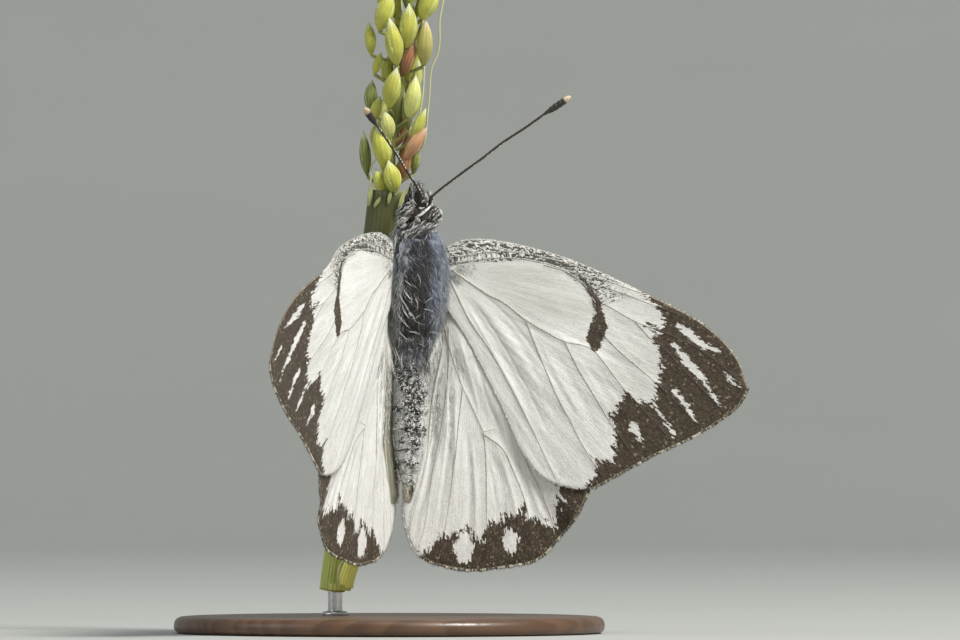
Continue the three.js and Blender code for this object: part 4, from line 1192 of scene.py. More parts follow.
def remeshed(build, voxel, rounds):
    """One skin from overlapping closed shapes; returns vertices, faces and normals in mm."""
    verts, faces, _ = build.arrays()
    me = bpy.data.meshes.new("skin_work")
    loops = np.concatenate([f.ravel() for f in faces]).astype(np.int32)
    counts = np.concatenate([np.full(len(f), f.shape[1]) for f in faces])
    me.vertices.add(len(verts))
    me.vertices.foreach_set("co", verts.astype(np.float32).ravel())
    me.loops.add(len(loops))
    me.loops.foreach_set("vertex_index", loops)
    me.polygons.add(len(counts))
    me.polygons.foreach_set("loop_start", np.r_[0, np.cumsum(counts)[:-1]].astype(np.int32))
    me.update(calc_edges=True)
    ob = bpy.data.objects.new("skin_work", me)
    bpy.context.scene.collection.objects.link(ob)
    mod = ob.modifiers.new("remesh", "REMESH")
    mod.mode = "VOXEL"
    mod.voxel_size = voxel
    mod.adaptivity = 0
    sm = ob.modifiers.new("smooth", "SMOOTH")
    sm.factor = 0.5
    sm.iterations = rounds
    dg = bpy.context.evaluated_depsgraph_get()
    done = bpy.data.meshes.new_from_object(ob.evaluated_get(dg))
    n = len(done.vertices)
    v = np.empty(n * 3, np.float32)
    done.vertices.foreach_get("co", v)
    v = v.reshape(-1, 3).astype(float)
    q = np.empty(len(done.loops), np.int32)
    done.loops.foreach_get("vertex_index", q)
    q = q.reshape(-1, 4)
    no = np.empty(n * 3, np.float32)
    done.vertex_normals.foreach_get("vector", no)
    no = no.reshape(-1, 3).astype(float)
    bpy.data.objects.remove(ob)
    bpy.data.meshes.remove(me)
    bpy.data.meshes.remove(done)
    return v, q, no


def axis_of(z):
    """Middle of the body at height z."""
    rows = np.array([(-16.86, 0.15, -0.9), (-13.4, 0.1, -0.66), (-10.6, 0.05, -0.42), (-8.0, 0, -0.22), (-5.6, 0, 0.0), (0, 0, 0), (4, 0, -0.1), (6.2, 0, 0.1)])
    return np.interp(z, rows[:, 0], rows[:, 1]), np.interp(z, rows[:, 0], rows[:, 2])


def round_body(p):
    """Angle round the body in degrees: 0 on the back, 90 on the right side, 180 below."""
    x, y = axis_of(p[:, 2])
    return np.degrees(np.arctan2(p[:, 0] - x, -(p[:, 1] - y)))


def part_weights(p):
    """How much each point belongs to the legs, palps, head, thorax and abdomen."""
    best = np.full(len(p), 9.0)
    go = np.zeros(len(p))
    for s in (1, -1):
        for i, which in enumerate(("fore", "mid", "hind")):
            lines = leg_lines(which, s)
            for j, line in enumerate(lines):
                a = np.asarray(line)
                if j == 0:
                    a = a[1:]
                d, k = far(p, curve(a, np.linspace(0, 1, 12)))
                m = d < best
                best = np.where(m, d, best)
                go = np.where(m, j + k, go)
    leg = smooth(0.36, 0.26, best) * (p[:, 1] > 1.5)
    palp = np.full(len(p), 9.0)
    for s in (1, -1):
        d, _ = far(p, curve([mirrored(q, s) for q in PALP], np.linspace(0, 1, 12)))
        palp = np.minimum(palp, d)
    palp = smooth(0.3, 0.2, palp) * (p[:, 2] > 4.1)
    z = p[:, 2]
    head = smooth(2.25, 2.6, z) * (1 - palp)
    belly = smooth(-5.1, -5.5, z)
    return leg, palp, head, belly, go


BLUE = vec(0.325, 0.365, 0.458)
SLATE = vec(0.165, 0.18, 0.225)
INK = vec(0.030, 0.029, 0.031)
UMBER = vec(0.060, 0.052, 0.044)
ASH = vec(0.34, 0.34, 0.335)
PALE = vec(0.66, 0.66, 0.64)
WHITE = vec(0.80, 0.79, 0.76)
CREAM = vec(0.70, 0.67, 0.55)


def blend(a, b, k):
    k = np.asarray(k)[..., None]
    return a * (1 - k) + b * k


def markings(p):
    """Ground colour of the skin and coat at body points."""
    phi = round_body(p)
    z = p[:, 2]
    leg, palp, head, belly, go = part_weights(p)
    n1 = noise(p, 0.9, 3)
    n2 = noise(p, 0.35, 4)
    # thorax: dark down the middle of the back, smooth blue-grey flanks, whitish below. The dark band is the coat's own
    # colour, but it is set left of the middle, which paints shade on the back's left half
    far_ = smooth(0.4, -2.4, z)
    dark = smooth(31 + 17 * far_, 17 + 15 * far_, np.abs(phi + 22 + 16 * far_ + 6 * (n1 - 0.5)))
    low = smooth(100, 135, np.abs(phi))
    flank = blend(blend(BLUE, SLATE, 0.35 * n1), ASH, smooth(70, 100, np.abs(phi)) * 0.6)
    rear = smooth(-3.0, -5.0, z)
    flank = blend(flank, ASH * 1.05, 0.55 * rear * (np.abs(phi) > 25))
    # painted shade: the rear of the left flank is greyed
    flank = blend(flank, vec(0.21, 0.21, 0.20), 0.75 * smooth(-0.4, -2.2, z) * smooth(-34, -48, phi))
    thorax = blend(flank, blend(blend(INK, SLATE, 0.28), UMBER * 0.60, smooth(0.6, -1.6, z)), 0.96 * dark)
    thorax = blend(thorax, PALE, low)
    # abdomen: pale grey with ink specks along the back and at the segment edges
    t = np.clip((-5.2 - z) / 10.8, 0, 1)
    rows = np.array([0.10, 0.235, 0.375, 0.515, 0.65, 0.775, 0.885])
    edge = np.min(np.abs(t[:, None] - rows[None]), axis=1)
    clusters = np.exp(-((z + 9.6) / 0.7) ** 2) + np.exp(-((z + 11.9) / 0.45) ** 2) + np.exp(-((z + 13.0) / 0.5) ** 2) * 0.9 + np.exp(-((z + 14.3) / 0.3) ** 2) * 0.5
    mid = np.exp(-((phi + 6) / (22 + 8 * n1)) ** 2)
    grey = blend(ASH * 2.22, ASH * 1.82, n1)
    grey = blend(grey, PALE, 0.5 * smooth(0.45, 0.8, n2))
    front = smooth(-8.6, -6.6, z)
    grey = blend(grey, SLATE * 0.75, 0.85 * front * smooth(75, 30, np.abs(phi + 5)))
    ink = np.clip(mid * (0.15 + 0.6 * clusters), 0, 1) * smooth(0.46, 0.62, n2 + 0.22 * clusters * mid)
    ink = 0.95 * ink
    abdomen = blend(grey, INK * 1.3, 0.85 * ink)
    abdomen = blend(abdomen, CREAM, smooth(95, 130, np.abs(phi)) * 0.85)
    tail = smooth(-15.3, -15.9, z)
    abdomen = blend(abdomen, blend(CREAM, vec(0.30, 0.24, 0.15), 0.5 * n2), tail)
    # head
    crown = blend(INK, UMBER * 0.9, n1)
    skull = blend(crown, PALE, smooth(95, 130, np.abs(phi)))
    body = blend(blend(thorax, abdomen, belly), skull, head)
    body = blend(body, blend(ASH, INK, 0.4 * n2), palp)
    shin = blend(vec(0.42, 0.40, 0.35), vec(0.16, 0.14, 0.11), smooth(0.9, 2.1, go))
    shin = blend(shin, vec(0.60, 0.58, 0.52), 0.5 * smooth(0.5, 0.8, n2))
    return blend(body, shin, leg)


def skin_look():
    m = Look("skin")
    tint = m.vector("tint")
    at = m.vector("bp")
    n = m.noise(at, 3.2, 4.0, 0.6)
    fine = m.noise(at, 16.0, 3.0, 0.6)
    cells = m.cells(m.scale(at, (13, 13, 7)), 1.0)
    color = m.dim(tint, m.mul(m.step(n, 0.25, 0.75, 0.78, 1.18, "LINEAR"), m.step(m.split(cells["Color"])[0], 0, 1, 0.86, 1.14, "LINEAR")))
    h = m.add(m.mul(cells["Distance"], -0.5), fine)
    return m.set(color=color, rough=m.step(fine, 0.2, 0.8, 0.5, 0.72, "LINEAR"), spec=0.35, normal=m.bump(h, 0.00004, 0.6), sheen=0.1)


class Skin:
    def __init__(self):
        self.v, self.q, self.n = remeshed(flesh(), 0.066, 4)
        self.tri = np.vstack([self.q[:, [0, 1, 2]], self.q[:, [0, 2, 3]]])
        a, b, c = (self.v[self.tri[:, k]] for k in range(3))
        self.mid = (a + b + c) / 3
        self.area = np.linalg.norm(np.cross(b - a, c - a), axis=1) / 2
        self.fn = unit(np.cross(b - a, c - a))
        if dots(self.fn, self.n[self.tri[:, 0]]).sum() < 0:
            self.fn = -self.fn

    def scatter(self, count, weight, seed):
        rnd = np.random.default_rng(seed)
        w = self.area * weight
        cum = np.cumsum(w)
        pick_ = np.searchsorted(cum, rnd.uniform(0, cum[-1], count))
        pick_ = np.minimum(pick_, len(w) - 1)
        r = rnd.uniform(0, 1, (count, 2))
        flip = r.sum(1) > 1
        r[flip] = 1 - r[flip]
        t = self.tri[pick_]
        a, b, c = self.v[t[:, 0]], self.v[t[:, 1]], self.v[t[:, 2]]
        p = a + (b - a) * r[:, :1] + (c - a) * r[:, 1:]
        n = unit(self.n[t[:, 0]] * (1 - r.sum(1))[:, None] + self.n[t[:, 1]] * r[:, :1] + self.n[t[:, 2]] * r[:, 1:])
        return p, n, rnd


    def front(self, at):
        """The skin point and its direction that the photo's camera sees at each place in the photo."""
        if not hasattr(self, "seen"):
            xy, depth = photo_point(self.v)
            facing = (self.n @ LEAN.T) @ SEEN_BACK > 0.05
            self.seen = np.flatnonzero(facing), xy[facing], depth[facing]
        ids, xy, depth = self.seen
        out = np.empty(len(at), int)
        for i, a in enumerate(at):
            d = ((xy - a) ** 2).sum(1)
            near = d < 1.3
            out[i] = np.argmax(np.where(near, depth, -99)) if near.any() else np.argmin(d)
        k = ids[out]
        p = self.v[k]
        # slide to the exact place across the view
        got, dep = photo_point(p)
        at = np.asarray(at, float)
        p, n = from_photo(at, dep), self.n[k].copy()
        # the eyes stand in front of the skin
        foot = from_photo(at, 0 * dep)
        ray = from_photo(at, 0 * dep + 1) - foot
        for side in (1, -1):
            c, R = EYE["centre"] * vec(side, 1, 1), EYE["radii"]
            a = ((ray / R) ** 2).sum(1)
            b = ((foot - c) / R * (ray / R)).sum(1)
            e = (((foot - c) / R) ** 2).sum(1) - 1
            disc = b * b - a * e
            t = (-b + np.sqrt(np.maximum(disc, 0))) / a
            on = (disc > 0) & (t > dep)
            q = foot + t[:, None] * ray
            p = np.where(on[:, None], q, p)
            n = np.where(on[:, None], unit((q - c) / R ** 2), n)
            dep = np.where(on, t, dep)
        return p, n


def unwrap(p):
    """An unwrap of the body by angle and height, for the coat's colours."""
    return np.stack([0.02 + 0.96 * (round_body(p) / 360 + 0.5), 0.02 + 0.96 * (p[:, 2] + 17.2) / 24.0], 1)


def lay(n, d):
    """Direction d laid along a surface with normal n."""
    return unit(d - dots(d, n)[:, None] * n)


LIMIT = 185000


def coat_piece(name, parts, material):
    """Joined tufts, each with its own colour; split so that no piece is too heavy."""
    groups, size = [[]], 0
    for item in parts:
        n = sum(len(f) for f in item[0][1])
        if size + n > LIMIT and groups[-1]:
            groups.append([])
            size = 0
        groups[-1].append(item)
        size += n
    for i, group in enumerate(groups):
        b = Build()
        for (v, f, which, go), colour, at in group:
            per = int((which == 0).sum())
            pattern = np.r_[np.tile([1, 0, -1], (per - 1) // 3), 0]
            b.add(v, f, tint=colour[which], go=go, bp=v, uv=coat_uv(at, which, go, np.tile(pattern, len(v) // per)))
        make(name if len(groups) == 1 else f"{name}_{i + 1}", b, material)


def around(p):
    """Direction round the body, towards its right over the back."""
    x, y = axis_of(p[:, 2])
    return unit(np.stack([-(p[:, 1] - y), p[:, 0] - x, 0 * x], 1))


def thorax_coat(skin, material):
    z, phi = skin.mid[:, 2], round_body(skin.mid)
    leg, palp, head, belly, _ = part_weights(skin.mid)
    dense = smooth(-7.4, -6.0, z) * smooth(2.2, 1.9, z) * (1 - leg)
    parts = []
    # close smooth coat
    for layer, count in enumerate((9500, 9500)):
        p, n, rnd = skin.scatter(count, dense, 21 + 50 * layer)
        phi, z = round_body(p), p[:, 2]
        sway = noise(p, 0.8, 31) - 0.5
        d = np.stack([0.10 * np.sign(p[:, 0]) + 0.4 * sway, -0.2 + 0 * z, -1.0 + 0 * z], 1)
        # left of the middle the hair lies slanting
        slant = smooth(-12, -40, phi) * smooth(-6, 0, z) * smooth(-140, -100, phi)
        d += around(p) * (0.55 * slant)[:, None]
        mess = smooth(42, 18, np.abs(phi + 22))
        d = d + rnd.normal(0, 1, d.shape) * (0.07 + 0.36 * mess)[:, None]
        d = lay(n, d)
        ground = markings(p)
        size = rnd.uniform(0.45, 0.95, len(p)) * np.where(np.abs(phi) > 100, 0.8, 1.0)
        bunch = noise(np.c_[phi / 9.0, z * 1.1, 0 * z], 1.0, 61 + layer)
        calm = smooth(0, 12, phi) * smooth(110, 90, phi)
        col = ground * (1 + (0.9 - 0.55 * calm) * (bunch - 0.5))[:, None] * rnd.uniform(0.85, 1.15, len(p))[:, None]
        # streaks of white and ink on the left flank, light hairs strewn over the back
        left = smooth(-30, -48, phi) * smooth(-128, -100, phi)
        r = rnd.uniform(0, 1, len(p))
        col = np.where(((bunch > 0.63) & (r < 0.6 * left))[:, None], vec(0.52, 0.545, 0.60) * rnd.uniform(0.75, 1.1, len(p))[:, None], col)
        col = np.where(((bunch < 0.44) & (r < 0.80 * left))[:, None], INK * 1.1, col)
        glint = r > 1 - 0.027 * (0.3 + 1.5 * mess)
        col = np.where(glint[:, None], blend(col, PALE, 0.60), col)
        lift = 0.12 + 0.10 * mess + rnd.uniform(0, 0.10, len(p))
        parts.append((tufts(p, n, d, size, rnd.uniform(0.036, 0.060, len(p)), lift, 0.75, seed=2 + layer), col, unwrap(p)))
    # longer loose hairs
    p, n, rnd = skin.scatter(2600, dense, 22)
    phi, z = round_body(p), p[:, 2]
    d = lay(n, np.stack([rnd.normal(0.25, 0.45, len(p)), rnd.normal(-0.2, 0.3, len(p)), rnd.normal(-1.0, 0.35, len(p))], 1))
    pale = rnd.uniform(0, 1, len(p))
    back = smooth(55, 30, np.abs(phi + 22))
    col = np.where((pale < 0.84)[:, None], INK, np.where((pale < 0.93)[:, None], ASH, WHITE)) * rnd.uniform(0.8, 1.1, len(p))[:, None]
    col = np.where((back < 0.5)[:, None], blend(markings(p), PALE, 0.22), col)
    col = np.where((np.abs(phi) > 100)[:, None], PALE, col)
    parts.append((tufts(p, n, d, rnd.uniform(0.6, 1.25, len(p)), rnd.uniform(0.030, 0.046, len(p)), rnd.uniform(0.15, 0.42, len(p)), 0.8,
                        sway=rnd.normal(0, 0.25, len(p)), seed=4), col, unwrap(p)))
    # a skirt of long hair from the end of the thorax over the root of the abdomen
    w = smooth(-6.1, -5.3, skin.mid[:, 2]) * smooth(-3.2, -4.2, skin.mid[:, 2]) * (1 - leg) * (np.abs(round_body(skin.mid)) < 125)
    p, n, rnd = skin.scatter(2400, w, 33)
    phi, z = round_body(p), p[:, 2]
    d = lay(n, np.stack([rnd.normal(0, 0.16, len(p)) - 0.10 * p[:, 0], rnd.normal(0, 0.12, len(p)), -np.ones(len(p))], 1))
    r = rnd.uniform(0, 1, len(p))
    side_ = smooth(18, 42, phi) + 0.45 * smooth(-62, -84, phi)
    col = np.where((r < 0.80)[:, None], blend(INK * 1.1, UMBER * 0.8, rnd.uniform(0, 1, len(p))), ASH * 0.8)
    col = blend(col, np.where((r < 0.72)[:, None], blend(SLATE, BLUE, r), ASH * 1.35), side_) * rnd.uniform(0.8, 1.15, len(p))[:, None]
    parts.append((tufts(p, n, d, rnd.uniform(0.8, 1.9, len(p)), rnd.uniform(0.034, 0.056, len(p)), rnd.uniform(0.03, 0.16, len(p)), 0.55,
                        sway=rnd.normal(0, 0.15, len(p)), seed=34), col, unwrap(p)))
    # soft hair that leaves the flanks over the roots of the wings
    side_phi = np.abs(round_body(skin.mid))
    w = smooth(-6.0, -4.8, skin.mid[:, 2]) * smooth(0.9, 0.2, skin.mid[:, 2]) * smooth(44, 56, side_phi) * smooth(86, 74, side_phi)
    p, n, rnd = skin.scatter(3000, w, 35)
    out = np.stack([np.sign(p[:, 0]), -0.22 + 0 * p[:, 0], 0 * p[:, 0]], 1)
    r = rnd.uniform(0, 1, len(p))
    # the further back, the more the hair runs along the wing
    d = unit(out * rnd.uniform(0.25, 0.75, len(p))[:, None] + vec(0, 0, -1) * (0.75 + 0.5 * smooth(-1, -4, p[:, 2]))[:, None] + rnd.normal(0, 0.10, p.shape))
    tone = blend(BLUE * 0.95, vec(0.44, 0.45, 0.46), rnd.uniform(0.1, 1.0, len(p)))
    low_left = (p[:, 0] < 0) * smooth(-0.2, -1.8, p[:, 2])
    tone = blend(tone, np.where((r < 0.42)[:, None], INK * 1.6, vec(0.56, 0.56, 0.54)), 0.9 * low_left)
    tone = np.where((r < 0.10)[:, None], SLATE, tone) * rnd.uniform(0.85, 1.15, len(p))[:, None]
    parts.append((tufts(p, n, d, rnd.uniform(0.5, 1.15, len(p)), rnd.uniform(0.030, 0.048, len(p)), rnd.uniform(-0.02, 0.10, len(p)), 0.55,
                        sway=rnd.normal(0, 0.15, len(p)), seed=36), tone, unwrap(p)))
    coat_piece("coat_thorax", parts, material)


def collar_coat(skin, material):
    z = skin.mid[:, 2]
    dense = smooth(1.30, 1.75, z) * smooth(2.95, 2.65, z)
    p, n, rnd = skin.scatter(4600, dense, 23)
    phi, z = round_body(p), p[:, 2]
    d = lay(n, around(p) * 0.85 + vec(0, 0, 0.50) + rnd.normal(0, 0.20, p.shape))
    # black and white bands that run slanting over the collar
    band = np.sin((z * 10.5 - np.radians(phi) * 3.6) + 2.6 * noise(p, 0.6, 41))
    r = rnd.uniform(0, 1, len(p))
    low = smooth(2.05, 1.60, z)
    white = (band > 0.66) & (r < 0.75)
    col = np.where(white[:, None], WHITE * 0.95, np.where((r < 0.16)[:, None], ASH * 0.55, INK)) * rnd.uniform(0.75, 1.12, len(p))[:, None]
    col = blend(col, np.where(white[:, None], BLUE * 1.9, BLUE * 0.62), 0.8 * low)
    col = np.where((np.abs(phi) > 110)[:, None], PALE * 0.95, col)
    parts = [(tufts(p, n, d, rnd.uniform(0.26, 0.48, len(p)), rnd.uniform(0.034, 0.054, len(p)), rnd.uniform(0.04, 0.15, len(p)), 0.9, seed=5), col, unwrap(p))]
    coat_piece("coat_collar", parts, material)


def head_coat(skin, material):
    leg, palp, head, belly, _ = part_weights(skin.mid)
    m = skin.mid
    away = np.min([np.linalg.norm((m - EYE["centre"] * vec(s, 1, 1)) / EYE["radii"], axis=1) for s in (1, -1)], axis=0)
    z = m[:, 2]
    parts = []
    dense = head * smooth(0.99, 1.05, away) * smooth(2.3, 2.7, z)
    p, n, rnd = skin.scatter(4200, dense, 24)
    phi, z = round_body(p), p[:, 2]
    d = lay(n, np.stack([rnd.normal(0, 0.30, len(p)) + 0.35 * p[:, 0], -0.25 + 0.1 * rnd.normal(0, 1, len(p)), 0.8 + 0 * z], 1))
    bunch = noise(p, 0.26, 43)
    r = rnd.uniform(0, 1, len(p))
    col = np.where(((bunch < 0.66) | (r < 0.55))[:, None], blend(INK, UMBER * 1.3, r), np.where((r < 0.8)[:, None], ASH, WHITE)) * rnd.uniform(0.8, 1.1, len(p))[:, None]
    col = np.where((np.abs(phi) > 115)[:, None], PALE, col)
    # white patches behind the eyes
    for s in (1, -1):
        k = np.linalg.norm((p - vec(s * 0.95, -0.30, 2.45)) / vec(0.34, 0.45, 0.20), axis=1)
        col = np.where((k < 1.0)[:, None] & (r < 0.6)[:, None], WHITE, col)
    size = rnd.uniform(0.14, 0.27, len(p))
    parts.append((tufts(p, n, d, size, rnd.uniform(0.034, 0.055, len(p)), rnd.uniform(0.08, 0.30, len(p)), 0.7, seed=6), col, unwrap(p)))
    # a thin row of white scales behind and below each eye
    for s in (1, -1):
        k = 170
        th = np.sort(rnd.uniform(0.55 * math.pi, 1.75 * math.pi, k))
        c, R = EYE["centre"] * vec(s, 1, 1), EYE["radii"]
        ring = np.stack([np.full(k, s * -0.42) + rnd.normal(0, 0.03, k), -np.sin(th) * 0.93, np.cos(th) * 0.93], 1)
        root = c + ring * R
        nn = unit(ring / R + vec(-0.4 * s, 0, 0))
        dd = lay(nn, np.stack([np.full(k, s * 0.25), -np.sin(th), np.cos(th)], 1) + rnd.normal(0, 0.25, (k, 3)))
        col = np.where((rnd.uniform(0, 1, k) < 0.8)[:, None], WHITE, ASH) * rnd.uniform(0.85, 1.1, k)[:, None]
        parts.append((tufts(root, nn, dd, rnd.uniform(0.12, 0.22, k), rnd.uniform(0.04, 0.06, k), rnd.uniform(0.1, 0.3, k), 0.7, rings=(0.0, 0.5), seed=7), col, unwrap(root)))
    # upright bristles of the brow and the palps: they draw together to one peak, black with a few white bundles
    brow = head * smooth(3.30, 3.75, m[:, 2]) * (np.abs(m[:, 0]) < 0.95) * smooth(1.0, 1.06, away) * (m[:, 1] < 0.60)
    dense = palp * 0.7 + brow
    p, n, rnd = skin.scatter(3600, dense, 25)
    peak = vec(-0.28, -0.45, 5.35) + rnd.normal(0, 1, p.shape) * vec(0.22, 0.18, 0.10)
    d = unit(unit(peak - p) + 0.16 * n + rnd.normal(0, 0.05, p.shape))
    ang = np.arctan2(p[:, 0] + 0.05, -(p[:, 1] - 0.2))
    bunch = noise(np.stack([ang * 3.4, 0.25 * p[:, 2], 0 * ang], 1), 0.55, 44)
    r = rnd.uniform(0, 1, len(p))
    col = np.where((bunch > 0.74)[:, None] & (r < 0.9)[:, None] & (p[:, 0] < 0.45)[:, None], WHITE * 1.05, np.where((r < 0.95)[:, None], INK * 0.8, UMBER)) * rnd.uniform(0.8, 1.1, len(p))[:, None]
    room = np.linalg.norm(peak - p, axis=1) * 0.97
    size = np.clip(rnd.uniform(0.45, 1.35, len(p)), 0.15, np.maximum(room, 0.15))
    size = size * np.where(p[:, 0] > 0.30, 0.72, 1.0)
    parts.append((tufts(p, n, d, size, rnd.uniform(0.034, 0.056, len(p)), rnd.uniform(0.0, 0.08, len(p)), 0.35, seed=8), col, unwrap(p)))
    coat_piece("coat_head", parts, material)


